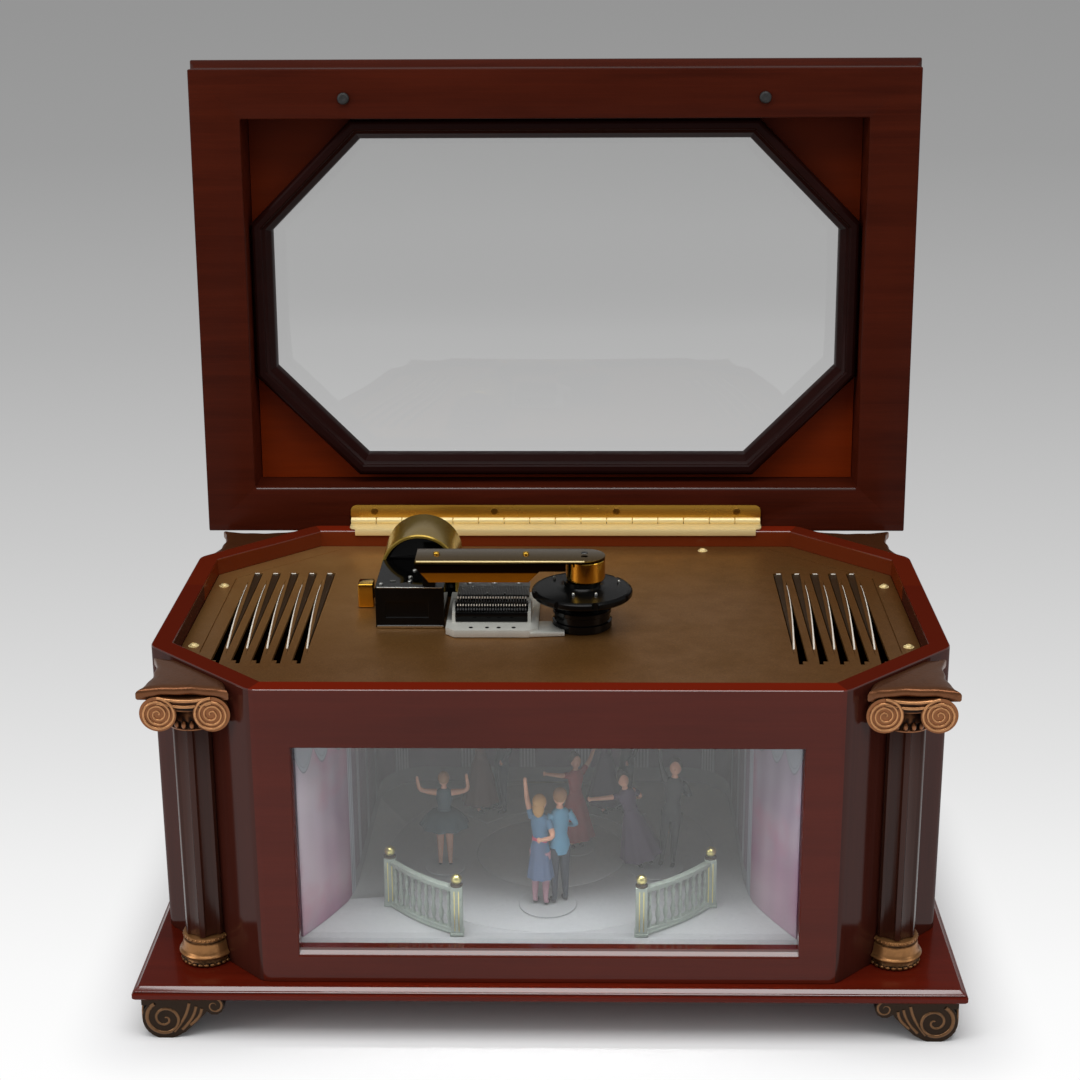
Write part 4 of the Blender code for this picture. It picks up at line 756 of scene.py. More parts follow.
    @staticmethod
    def cut(obj: Obj, tool: Obj, operation: str = "DIFFERENCE") -> Obj:
        """Boolean with a tool, which is used up."""
        Bench.apply(obj, "BOOLEAN", object=tool, operation=operation, solver="EXACT")
        bpy.data.objects.remove(tool, do_unlink=True)
        return obj

    @staticmethod
    def bevel(obj: Obj, width: float, segments: int = 2, angle: float = 30.0) -> Obj:
        """Rounds the edges that are sharper than an angle."""
        settings = {
            "width": width, "segments": segments, "limit_method": "ANGLE", "angle_limit": radians(angle)
        }
        Bench.apply(obj, "BEVEL", use_clamp_overlap=True, miter_outer="MITER_ARC", **settings)
        return obj

    @staticmethod
    def smooth(obj: Obj, angle: float = 35.0) -> Obj:
        """Shades smooth, with edges past an angle kept sharp."""
        Bench.only(obj)
        bpy.ops.object.shade_smooth_by_angle(angle=radians(angle))
        return obj


def refined(node: str, width: float, segments: int = 2, angle: float = 30.0, smooth: float = 40.0) -> Obj:
    """A cleaned copy of a node with its edges rounded.

    Args:
        node: Name of the node.
        width: Width of the rounding.
        segments: Steps across the rounding.
        angle: Edges flatter than this stay as they are.
        smooth: Edges past this stay sharp in the shading.

    Returns:
        The copy, which stands for nothing yet.
    """
    obj = Bench.copy_of(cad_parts[node])

    def steps() -> None:
        bpy.ops.mesh.remove_doubles(threshold=2e-6)
        bpy.ops.mesh.dissolve_limited(angle_limit=radians(1.0))
        bpy.ops.mesh.normals_make_consistent(inside=False)

    Bench.edit(obj, steps)
    if width:
        Bench.bevel(obj, width, segments, angle)
    return Bench.smooth(obj, smooth)


def hollows(obj: Obj, reach: float, rays: int = 20) -> Obj:
    """Writes how open each point of a mesh is, from 0 in a deep hollow to 1 on a high place."""
    shape = bmesh.new()
    shape.from_mesh(obj.data)
    tree = BVHTree.FromBMesh(shape)
    golden = pi * (3 - sqrt(5))
    compass = []
    for i in range(rays):
        height = (i + 0.5) / rays
        radius = sqrt(1 - height * height)
        compass.append(Vector((radius * cos(golden * i), radius * sin(golden * i), height)))
    values = []
    for vertex in shape.verts:
        turn = vertex.normal.to_track_quat("Z", "Y")
        start = vertex.co + vertex.normal * 5e-5
        free = sum(1.0 for way in compass if tree.ray_cast(start, turn @ way, reach)[0] is None)
        values.append(free / rays)
    shape.free()
    layer = obj.data.attributes.new("hollow", "FLOAT", "POINT")
    layer.data.foreach_set("value", values)
    return obj


PAINTS = {
    "skin": ("d9a184", "e6b498", "a86f58"),
    "blue": ("4f7a9c", "6b94b4", "33546e"),
    "slate_blue": ("54688a", "6c82a6", "36445e"),
    "sky": ("5c98b8", "7ab2cc", "3b6a86"),
    "navy": ("2b3140", "3c4456", "191d28"),
    "sash": ("c8506e", "da6c88", "8e3048"),
    "teal": ("2f4c58", "44646e", "1c3038"),
    "plum": ("4a2f52", "62446c", "2e1a34"),
    "rust": ("6a3c28", "845038", "422214"),
    "red": ("a3282c", "bc4040", "6e1618"),
    "black_coat": ("262428", "36343a", "151416"),
    "blond": ("b98a4c", "d0a468", "7e5a2a"),
    "sandy": ("96693e", "b08050", "624222"),
    "dark_hair": ("3c2a20", "543c2e", "241810"),
    "stocking": ("b98a98", "c89ca8", "8a606e"),
    "shoe": ("2a2226", "3a3036", "181416"),
    "stand": ("b4b8ba", "c2c6c8", "9ca0a4"),
}


def all_finishes() -> dict[str, Material]:
    """Every material of the object, by name."""
    front = SHIFT_Y - CASE_HALF_Y
    arris = (1.0, -1.0, 1.0, RIM_TOP - 0.0006, RIM_TOP - COAT_END)
    sill = (0.105, front + 0.0003, front + 0.0085, 0.030, 0.0470)
    lid_lip = (0.1470, 0.0898, 0.0918, 0.1736, 0.1749)
    chamfer = (1.0, -1.0, 1.0, BOARD_TOP - 0.0023, BOARD_TOP - 0.0002)
    x, z = Along.X, Along.Z
    kinds = {
        TimberFinish: (
            # The last colour of the first two rows is the painted light on the rim's top.
            ("case_wood", "4c180d", "340f08", "622318", x, 0.24, 0.0, 0.20, 0.4, (arris, sill), "681a0a"),
            # This row is the case's wood made darker, as painted shade on the boards turned away from the
            # front, with its grain upright.
            ("side_wood", "391710", "240d09", "4e2219", z, 0.24, 0.0, 0.20, 0.4, (arris,), "50160a"),
            ("board_wood", "501408", "320a04", "6a1c0e", x, 0.24, 0.03, 0.12, 0.4, (chamfer,)),
            ("lid_wood", "3c1409", "260a05", "521c0e", x, 0.3, 0.04, 0.02, 0.6, (lid_lip,)),
            ("column_wood", "34180f", "1d0d09", "4a241a", z, 0.2),
            # The last pair of this row gives the heights of the corner boards' painted shade, darker towards
            # the lid's top.
            ("corner_board", "742606", "3c1003", "8e370c", x, 0.4, 0.05, 0.0, 0.4, (), "", (0.24, 0.36)),
            ("dark_moulding", "1c0806", "0f0403", "2a0e0a", x, 0.3, 0.05),
        ),
        PatinaFinish: (
            ("antique_bronze", "3a2010", "8a5836", "080402"),
            ("slab_bronze", "3e2212", "6e4428", "120804"),
            ("worn_bronze", "7c5030", "c08a5c", "1c0e06"),
            ("base_bronze", "3c2410", "9a6c40", "0a0502"),
            # The feet's bronze tones are their own dark patina made much darker still, as painted shade under
            # the board; their ridges are darkened less.
            ("foot_bronze", "120c07", "2a1c10", "040302"),
            ("foot_edge_bronze", "3a2818", "725236", "0c0704"),
        ),
        MetalFinish: (
            ("hinge_brass", "c8963a", 0.26, 0.4, 0.85),
            ("leaf_brass", "e6d096", 0.36, 0.4, 0.3),
            ("polished_brass", "d8a840", 0.10, 0.3),
            ("pale_brass", "f2d88c", 0.14),
            ("dome_brass", "a08438", 0.20, 0.5, 0.7),
            ("steel", "b8b8b4", 0.25),
            ("screw_brass", "8a6428", 0.3),
            # The arm's brass is dark above the flange's middle and olive on its top, as painted reflections.
            ("arm_brass", "c09838", 0.10, 0.15, 1.0, ((0.1752, "221a08"), (0.1801, "6a5018"))),
            ("dark_steel", "6a6a68", 0.3),
            ("soft_gold", "e3d98c", 0.28),
        ),
        GlossFinish: (
            ("gloss_black", "050505", 0.06, 0.3, 0.18),
            ("satin_black", "060606", 0.24, 0.4, 0.15),
            # This pale colour is for painted highlights: glints on the star wheels and bars on the louvres'
            # cut edges.
            ("star_tip", "e6ded0", 0.3, 0.3),
            ("dark_star", "0c0a09", 0.30, 0.4, 0.3),
            ("bumper_rubber", "0e0d0c", 0.5),
        ),
        SpeckleFinish: (
            # The gilt plate's last colour is its painted sheen towards the left rear.
            ("gilt_plate", "845a2c", "b08348", "3f2a12", 0.42, 0.75, 1.0, 0.08, "c8985a"),
            # This dark brown is painted shade on the louvre flaps sunk in their slots; the balustrades' ball
            # seats wear it as their own dark colour.
            ("louvre_flap", "3a2812", "4a361c", "1e140a", 0.45, 0.4),
            ("grey_casting", "c4c4bc", "e0e0da", "8c8c86", 0.38, 0.35, 2.0, 0.2),
            ("stage_floor", "b8bcbe", "c6cacc", "a0a4a8", 0.45, 0.0, 0.4, 0.02),
            ("gear_plastic", "bcb7aa", "cfcabd", "9c978a", 0.45, 0.0, 0.6, 0.02),
            ("resin", "9aa69d", "b6c0b8", "5f6a62", 0.5, 0.0, 0.8, 0.05),
            *(("paint_" + name, *tones, 0.5, 0.0, 1.4, 0.04) for name, tones in PAINTS.items()),
        ),
        GlassFinish: (("clear_glass",), ("window_glass", 0.055)),
        PrintFinish: (("backdrop_print",),),
    }
    return {row[0]: kind(*row).build() for kind, rows in kinds.items() for row in rows}


@dataclass
class Assembly:
    """Pieces that belong together, and the finishes that they choose from."""

    finishes: dict[str, Material]

    def place(self, obj: Obj, name: str, body: str, slot: str, finish: str, *replaces: str) -> None:
        """Names a piece, gives it its finish and hands it to its body.

        Args:
            obj: The finished piece.
            name: Its name.
            body: The body that it rides on.
            slot: Its kind of material; not used.
            finish: Name of its finish, or nothing where its parts are painted already.
            replaces: The nodes that it stands for.
        """
        obj.name = obj.data.name = name
        if finish:
            obj.data.materials.clear()
            obj.data.materials.append(self.finishes[finish])
        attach(obj, body)
        if replaces:
            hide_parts(*replaces)
        LOG.info("%s: %d faces on %s", name, len(obj.data.polygons), body)


@dataclass
class Studio:
    """Pale floor, soft lamps and the camera at the photograph's angle."""

    eye: Point = (0.0165, -0.869722, 0.4631)
    pitch: float = 18.181
    yaw: float = 1.122
    roll: float = -0.303
    lens: float = 68.084
    shift_x: float = -0.01006
    tones: tuple[tuple[float, str], ...] = (
        (0.094, "95"), (0.20, "9c"), (0.352, "b1"), (0.515, "ca"),
        (0.688, "e2"), (0.80, "f1"), (0.90, "fa"), (1.0, "ff"),
    )

    def camera(self) -> None:
        """Places the camera."""
        data = bpy.data.cameras.new("camera")
        data.lens = self.lens
        data.sensor_width = 36.0
        data.sensor_fit = "HORIZONTAL"
        data.shift_x = self.shift_x
        data.clip_start = 0.01
        obj = linked("camera", data)
        tilt, yaw, roll = (radians(a) for a in (self.pitch, self.yaw, self.roll))
        turn = Matrix.Rotation(yaw, 3, "Z")
        ahead = turn @ Vector((0.0, cos(tilt), -sin(tilt)))
        level_up = turn @ Vector((0.0, sin(tilt), cos(tilt)))
        level_right = turn @ Vector((1.0, 0.0, 0.0))
        right = level_right * cos(roll) + level_up * sin(roll)
        up = level_up * cos(roll) - level_right * sin(roll)
        placed = Matrix((right, up, -ahead)).transposed().to_4x4()
        placed.translation = Vector(self.eye)
        obj.matrix_world = placed
        bpy.context.scene.camera = obj

    @staticmethod
    def seen(t: Tree) -> Socket:
        """One for the rays that show a surface: straight, mirrored or through glass."""
        path = t.add("LightPath").outputs
        mirrored = t.math("MAXIMUM", path["Is Glossy Ray"], path["Is Transmission Ray"])
        return t.math("MAXIMUM", path["Is Camera Ray"], mirrored)

    def distance(self, t: Surface) -> Socket:
        """How far a place of the floor lies from the camera's side, level across the picture."""
        x, y, _ = t.split()
        behind = t.math("MAXIMUM", y, 0.0)
        beside = t.math("MAXIMUM", t.math("SUBTRACT", t.math("ABSOLUTE", x), 0.6), 0.0)
        before = t.math("MAXIMUM", t.math("SUBTRACT", -0.9, y), 0.0)
        squares = t.times(behind, behind)
        for value in (beside, before):
            squares = t.plus(squares, t.times(value, value))
        near = t.math("MAXIMUM", t.math("MINIMUM", y, 0.0), -0.2)
        return t.plus(t.plus(t.math("SQRT", squares), near), -self.eye[1])

    def near_object(self, t: Surface) -> Socket:
        """One under and close round the base, where the floor shows its shadow, and nothing further out."""
        x, y, _ = t.split()
        off_x = t.math("MAXIMUM", t.math("SUBTRACT", t.math("ABSOLUTE", x), 0.165), 0.0)
        off_y = t.math(
            "MAXIMUM", t.math("SUBTRACT", t.math("ABSOLUTE", t.math("SUBTRACT", y, SHIFT_Y)), 0.106), 0.0
        )
        off = t.math("SQRT", t.plus(t.times(off_x, off_x), t.times(off_y, off_y)))
        share = t.add(
            "MapRange", {0: off, 1: 0.0, 2: 0.045, 3: 1.0, 4: 0.0}, interpolation_type="SMOOTHSTEP"
        )
        return share.outputs[0]

    def floor(self) -> None:
        """Large pale floor, white under the object and grey far behind it, that keeps its shadow."""
        obj = Bench.box((-40.0, 40.0), (-40.0, 40.0), (-0.02, 0.0))
        obj.name = "floor"
        t = Surface("studio_floor")
        for label, value in (
            ("Base Color", (0.80, 0.80, 0.80)), ("Roughness", 0.9), ("Specular IOR Level", 0.0)
        ):
            t.set(label, value)
        nearness = t.math("DIVIDE", 1.0 / 1.4, self.distance(t))
        ramp = t.add("ValToRGB", {0: nearness})
        stops = self.tones
        while len(ramp.color_ramp.elements) < len(stops):
            ramp.color_ramp.elements.new(0.5)
        for element, (place, tone) in zip(ramp.color_ramp.elements, stops):
            element.position = place
            element.color = (*srgb(tone * 3), 1.0)
        glow = t.add("Emission", {"Color": ramp.outputs[0], "Strength": 1.0})
        away = t.math("SUBTRACT", 1.0, self.near_object(t))
        share = t.times(self.seen(t), away)
        both = t.add("MixShader", {0: share, 1: t.shader.outputs[0], 2: glow.outputs[0]})
        t.feed(t.tree.nodes["Material Output"].inputs["Surface"], both.outputs[0])
        obj.data.materials.append(t.made)

    def lamp(
        self, name: str, place: Point, aim: Point, size: Pair, power: float, spread: float = 180.0
    ) -> None:
        """A soft rectangular lamp; spread is the angle in degrees that it shines into."""
        data = bpy.data.lights.new(name, "AREA")
        data.shape = "RECTANGLE"
        data.size, data.size_y = size
        data.energy = power
        data.spread = radians(spread)
        obj = linked(name, data)
        obj.location = place
        obj.rotation_euler = (Vector(aim) - Vector(place)).to_track_quat("-Z", "Y").to_euler()

    def world(self) -> None:
        """Soft surroundings that show as the grey of the far floor."""
        world = bpy.data.worlds.new("studio")
        world.use_nodes = True
        bpy.context.scene.world = world
        t = Tree(world.node_tree)
        plain = t.tree.nodes["Background"]
        plain.inputs["Color"].default_value = (0.75, 0.76, 0.78, 1.0)
        plain.inputs["Strength"].default_value = 0.55
        shown = t.add("Background", {"Color": srgb("959595"), "Strength": 1.0})
        both = t.add("MixShader", {0: self.seen(t), 1: plain.outputs[0], 2: shown.outputs[0]})
        t.feed(t.tree.nodes["World Output"].inputs["Surface"], both.outputs[0])

    def build(self) -> None:
        """Sets up the whole studio."""
        self.camera()
        self.floor()
        self.world()
        self.lamp("lamp_top", (0.0, -0.60, 1.6), (0.0, 0.0, 0.1), (1.4, 0.9), 16.0)
        self.lamp("lamp_left", (-1.4, -0.7, 0.9), (0.0, 0.0, 0.15), (0.7, 1.1), 9.0)
        self.lamp("lamp_right", (1.4, -0.7, 0.8), (0.0, 0.0, 0.15), (0.7, 0.9), 3.5)
        self.lamp(
            "stage_lamp", (0.0, -0.098 + SHIFT_Y, 0.1290), (0.0, -0.100 + SHIFT_Y, 0.040), (0.19, 0.010),
            0.035, 80.0
        )
        bpy.context.scene.view_settings.view_transform = "Standard"


def corner_places() -> list[tuple[str, bool, bool]]:
    """Name ending and mirrorings of the four corners, from the front right one."""
    places = []
    for front in (True, False):
        for right in (True, False):
            places.append((
                f"{'front' if front else 'rear'}_{'right' if right else 'left'}", not right, not front
            ))
    return places


def to_corner(obj: Obj, across_x: bool, across_y: bool) -> Obj:
    """Moves a piece from the front right corner of the case to another, and to the frame's own place."""
    turn = Matrix.Diagonal((-1.0 if across_x else 1.0, -1.0 if across_y else 1.0, 1.0, 1.0))
    return Bench.moved(obj, Matrix.Translation((0.0, SHIFT_Y, 0.0)) @ turn)


def flush_to_case(obj: Obj) -> Obj:
    """Cuts a corner piece flat where it stands against the chamfered corner board."""
    reach = (CASE_HALF_X + CASE_HALF_Y - CHAMFER) + GAP * sqrt(2)
    normal = Vector((1.0, -1.0, 0.0)).normalized()

    def steps() -> None:
        bpy.ops.mesh.bisect(plane_co=(reach, 0.0, 0.0), plane_no=normal, use_fill=True, clear_inner=True)

    return Bench.edit(obj, steps)


def loft(rings: Sequence[Sequence[Point]], capped: bool = True) -> Obj:
    """A solid or a band through rings of points with the same count."""
    shape = bmesh.new()
    rows = [[shape.verts.new(point) for point in ring] for ring in rings]
    sides = len(rows[0])
    for near, far in zip(rows, rows[1:]):
        for i in range(sides):
            j = (i + 1) % sides
            shape.faces.new((near[i], near[j], far[j], far[i]))
    if capped:
        shape.faces.new(rows[0])
        shape.faces.new(rows[-1])
    bmesh.ops.recalc_face_normals(shape, faces=shape.faces)
    return from_bmesh("loft", shape)


@dataclass
class Case(Assembly):
    """Base board, the eight boards of the case, and the window pane."""

    board_half: Pair = (0.1723, 0.1125)
    board_low: float = 0.0197
    corner_round: float = 0.0010
    corner_radius: float = 0.0080
    arris: float = 0.0006
    window_half: float = 0.1026
    window_low: float = 0.0403
    window_top: float = 0.1308
    sill_low: float = 0.0376
    sill_depth: float = 0.0020
    glass_thick: float = 0.0024
    glass_lap: float = 0.0028
    pane_low: float = 0.0386

    def board_ring(self, inset: float, z: float) -> list[Point]:
        """Outline of the base board, smaller by an inset, with small round corners."""
        half_x = self.board_half[0] - inset
        half_y = self.board_half[1] - inset
        ring = []
        for sign_x, sign_y, start in ((1, 1, 0), (-1, 1, 90), (-1, -1, 180), (1, -1, 270)):
            for step in range(5):
                turn = radians(start + 22.5 * step)
                x = sign_x * (half_x - self.corner_round) + self.corner_round * cos(turn)
                y = sign_y * (half_y - self.corner_round) + self.corner_round * sin(turn)
                ring.append((x, y + SHIFT_Y, z))
        return ring

    def base_board(self) -> None:
        """Board with a rounded lower edge, a fine groove and bead, and a sloping upper edge."""
        low, high = self.board_low, BOARD_TOP
        levels = [
            (0.0014, low), (0.0005, low + 0.0003), (0.0, low + 0.0009), (0.0, low + 0.0026),
            (0.0003, low + 0.0030)
        ]
        levels += [
            (0.0008, low + 0.0032), (0.0009, low + 0.0035), (0.0006, low + 0.0037), (0.0005, low + 0.0039),
            (0.0007, low + 0.0041)
        ]
        levels += [
            (0.0012, low + 0.0043), (0.0026, high - 0.0002), (0.0032, high - 0.00004), (0.0040, high)
        ]
        obj = loft([self.board_ring(inset, z) for inset, z in levels])
        Bench.smooth(obj, 12)
        self.place(obj, "base_board_moulded", "case", "mahogany", "board_wood", "base_board")

    def board_plan(self, start: Point, end: Point, facing: float) -> list[Pair]:
        """Plan of one board of the case, with half of each rounded corner at its ends.

        Args:
            start: Corner of the case where it begins, going anticlockwise.
            end: Corner where it ends.
            facing: Direction in degrees that its outer face looks in.

        Returns:
            The corners of its plan.
        """
        half_turn = cos(radians(22.5))
        plan = []
        for corner, low, high, mitre in (
            (start, facing - 22.5, facing, facing - 22.5), (end, facing, facing + 22.5, facing + 22.5)
        ):
            way = Vector((cos(radians(mitre)), sin(radians(mitre))))
            centre = Vector(corner) - way * (self.corner_radius / half_turn)
            for step in range(5):
                turn = radians(low + (high - low) * step / 4)
                plan.append(tuple(centre + self.corner_radius * Vector((cos(turn), sin(turn)))))
        for corner, mitre in ((end, facing + 22.5), (start, facing - 22.5)):
            way = Vector((cos(radians(mitre)), sin(radians(mitre))))
            plan.append(tuple(Vector(corner) - way * (WALL / half_turn)))
        return [(x, y + SHIFT_Y) for x, y in plan]

    def window_tool(self) -> Obj:
        """Cutter for the window: sloping sill, straight jambs and the rebate for the glass."""
        front = SHIFT_Y - CASE_HALF_Y
        back = front + WALL
        rebate = back - self.glass_thick - GAP
        half, lap = self.window_half, self.window_half + self.glass_lap
        slope = self.sill_depth / 1.23
        levels = [(front - 0.002, half + 0.0002, self.sill_low - slope, self.window_top)]
        levels.append((front + self.sill_depth, half, self.sill_low + slope, self.window_top))
        levels += [
            (front + self.sill_depth + 0.0002, half, self.window_low, self.window_top),
            (rebate, half, self.window_low, self.window_top)
        ]
        for y in (rebate + 0.00003, back + 0.002):
            levels.append((y, lap, self.pane_low - GAP, self.window_top + self.glass_lap))
        rings = [[(-h, y, low), (h, y, low), (h, y, high), (-h, y, high)] for y, h, low, high in levels]
        return loft(rings)

    def soften(
        self, obj: Obj, width: float, chosen: Callable[[Vector, Vector], bool], segments: int = 2
    ) -> None:
        """Bevels the edges that a test of their two ends picks."""
        for edge in obj.data.edges:
            a, b = (obj.data.vertices[v].co for v in edge.vertices)
            edge.select = chosen(a, b)
        chosen_ones = [edge.index for edge in obj.data.edges if edge.select]

        def steps() -> None:
            shape = bmesh.from_edit_mesh(obj.data)
            shape.edges.ensure_lookup_table()
            for edge in shape.edges:
                edge.select_set(False)
            for index in chosen_ones:
                shape.edges[index].select_set(True)
            bmesh.update_edit_mesh(obj.data)
            bpy.ops.mesh.bevel(offset=width, segments=segments, profile=0.5, affect="EDGES")

        Bench.edit(obj, steps, everything=False)

    def boards(self) -> None:
        """Eight mitred boards whose lacquer runs round the corners, with a fine arris along the rim."""
        flat_x, flat_y = CASE_HALF_X - CHAMFER, CASE_HALF_Y - CHAMFER
        w, h = CASE_HALF_X, CASE_HALF_Y
        corners = [
            (-flat_x, -h), (flat_x, -h), (w, -flat_y), (w, flat_y), (flat_x, h), (-flat_x, h), (-w, flat_y),
            (-w, -flat_y)
        ]
        names = ["front_panel", "corner_panel_front_right", "right_panel", "corner_panel_rear_right"]
        names += ["rear_panel", "corner_panel_rear_left", "left_panel", "corner_panel_front_left"]
        for i, name in enumerate(names):
            plan = self.board_plan(corners[i], corners[(i + 1) % 8], 45.0 * i - 90.0)
            obj = Bench.prism(plan, BOARD_TOP + GAP, RIM_TOP)
            if name == "front_panel":
                Bench.cut(obj, self.window_tool())
            mitres = [Vector((corners[k][0], corners[k][1] + SHIFT_Y)) for k in (i, (i + 1) % 8)]

            def on_rim(a: Vector, b: Vector) -> bool:
                across = any(
                    (a.xy - m).length < 0.012 and (b.xy - m).length < 0.012 and (a - b).length > 0.006
                    for m in mitres
                )
                return min(a.z, b.z) > RIM_TOP - 1e-5 and not across

            self.soften(obj, self.arris, on_rim, 3)
            if name == "front_panel":
                face_y = SHIFT_Y - CASE_HALF_Y

                def round_window(a: Vector, b: Vector) -> bool:
                    on_face = max(a.y, b.y) < face_y + 1e-5
                    return on_face and all(abs(v.x) < 0.105 and 0.034 < v.z < 0.134 for v in (a, b))

                self.soften(obj, 0.0005, round_window, 2)
            if name == "rear_panel":
                bore = Bench.lathe([(0.0045, 0.09), (0.0045, 0.12)], (0.1, SHIFT_Y, 0.04), Axis.Y, 24)
                Bench.cut(obj, bore)
            Bench.smooth(obj, 15)
            # The side and corner boards take the darker copy of the case's wood, as painted shade.
            wood = "case_wood" if i % 4 == 0 else "side_wood"
            self.place(obj, name + "_lacquered", "case", "mahogany", wood, name)

    def glass(self) -> None:
        """Pane with lightly ground edges."""
        back = SHIFT_Y - CASE_HALF_Y + WALL - GAP
        half, high = self.window_half + self.glass_lap - GAP, self.window_top + self.glass_lap - GAP
        obj = Bench.bevel(
            Bench.box((-half, half), (back - self.glass_thick, back), (self.pane_low, high)), 0.0003, 2
        )
        self.place(obj, "window_pane", "case", "glass", "window_glass", "window_glass")

    def build(self) -> None:
        """Builds the case."""
        self.base_board()
        self.boards()
        self.glass()


@dataclass
class Columns(Assembly):
    """Engaged fluted columns with scrolled capitals and turned bases at the four corners."""

    spot: Pair = (0.1450, -0.0850)
    shaft_radius: float = 0.0086
    flutes: int = 6
    fillet: float = 14.0
    flute_depth: float = 0.0016
    shaft_low: float = 0.0385
    shaft_high: float = 0.1327
    capital_top: float = 0.1545
    abacus_half: float = 0.0185
    volute_x: float = 0.0108
    volute_z: float = 0.1430
    volute_radius: float = 0.0075
    volute_front: float = 0.0165
    bead_radius: float = 0.00075
    egg_radius: float = 0.0013
    eggs: int = 20

    def shaft(self) -> Obj:
        """Fluted shaft: narrow fillets between wide hollow flutes."""
        x, y = self.spot
        span = 360.0 / self.flutes
        outline = []
        for i in range(self.flutes):
            start = -90.0 - self.fillet / 2 + span * i
            outline += [(start, 0.0), (start + self.fillet, 0.0)]
            hollow = span - self.fillet
            for share in shares(10)[1:-1]:
                dip = self.flute_depth * sin(pi * min(1.0, 0.12 + 0.76 * share)) ** 0.8
                outline.append((start + self.fillet + hollow * share, dip))
        plan = [
            (
                (self.shaft_radius - dip) * cos(radians(a)) + x,
                (self.shaft_radius - dip) * sin(radians(a)) + y
            )
            for a, dip in outline
        ]
        obj = Bench.prism(plan, self.shaft_low, self.shaft_high)
        flush_to_case(obj)
        Bench.bevel(obj, 0.00018, 2, 24)
        return Bench.smooth(obj, 32)

    def base(self) -> Obj:
        """Turned base: a ring of long beads, a bell with a bright lip, a groove and a thin beaded collar."""
        x, y = self.spot
        profile = mm([
            (9.6, 25.7), (10.4, 25.8), (10.6, 26.2), (10.6, 27), (10.2, 27.5), (9.9, 27.9), (9.9, 28.9)
        ])
        profile += mm([(10.8, 29.4), (11.6, 29.7), (11.7, 30.1), (11.5, 30.5), (10.9, 30.9)])
        for share in shares(7)[1:]:
            profile.append((0.0108 - 0.0011 * share**0.7, 0.0309 + 0.0045 * share))
        profile += mm([(9.1, 35.7), (9, 36.1), (9.3, 36.4), (9.6, 36.6), (9.6, 38), (9.2, 38.2)])
        obj = Bench.lathe(profile, (x, y, 0.0), Axis.Z, 64)
        beads = []
        for count, radius, height, stretch in (
            (26, 0.0105, 0.0266, (1.0, 1.6, 0.95)), (30, 0.0094, 0.0373, (0.8, 0.9, 0.8))
        ):
            for i in range(count):
                turn = tau * i / count
                place = Matrix.Translation((*around(radius, turn, self.spot), height))
                size = Matrix.Diagonal((*stretch, 1.0))
                beads.append(Bench.ball(place @ Matrix.Rotation(turn, 4, "Z") @ size, self.bead_radius))
        obj = Bench.join([obj, *beads])
        flush_to_case(obj)
        Bench.smooth(obj, 40)
        return hollows(obj, 0.004)

    def spiral(self, centre_x: float, mirror: int, face_y: float) -> Obj:
        """Raised spiral ridge on the face of a volute, which ends on the bridge between the volutes."""
        path, taper = [], []
        turns, count = 3.3, 110
        for i in range(count + 1):
            share = i / count
            angle = radians(90) - tau * turns * (1 - share)
            radius = 0.0005 + (self.volute_radius - 0.0010) * share**0.85
            path.append((
                centre_x + mirror * -radius * cos(angle), face_y, self.volute_z + radius * sin(angle)
            ))
            taper.append(0.55 + 0.45 * share)
        return Bench.tube(path, 0.00062, 3, taper=taper)

    def sag(self, z: float, drop: float, face_y: float, radius: float) -> Obj:
        """One of the ridges that sag between the volutes."""
        x = self.spot[0]
        path = []
        for share in shares(20):
            path.append((x + self.volute_x * (2 * share - 1), face_y, z - drop * sin(pi * share)))
        return Bench.tube(path, radius, 3)

    def abacus(self) -> Obj:
        """Scooped top slab with hooked tips and a stained, gently domed top."""
        x, y = self.spot
        tips = [(1, -1), (1, 1), (-1, 1), (-1, -1)]
        plan = []
        for (ax, ay), (bx, by) in zip(tips, tips[1:] + tips[:1]):
            for share in shares(17)[:-1]:
                px, py = ax + (bx - ax) * share, ay + (by - ay) * share
                bow = 4 * share * (1 - share)
                scoop = 1 - 0.19 * bow**0.8 - 0.02 * sin(6 * pi * share) * bow
                plan.append((px * (scoop if ax == bx else 1.0), py * (scoop if ay == by else 1.0), bow))
        rings = []
        for scale, z in (
            (0.80, -0.0048), (0.90, -0.0040), (0.975, -0.0034), (1.0, -0.0026), (1.0, -0.0014),
            (0.975, -0.0007), (0.93, -0.0003), (0.80, 0.0)
        ):
            ring = []
            for px, py, bow in plan:
                hook = 0.0009 * (1 - bow) ** 6 if z < -0.002 else 0.0
                ring.append((
                    x + self.abacus_half * px * scale, y + self.abacus_half * py * scale,
                    self.capital_top + z - hook
                ))
            rings.append(ring)
        return loft(rings)

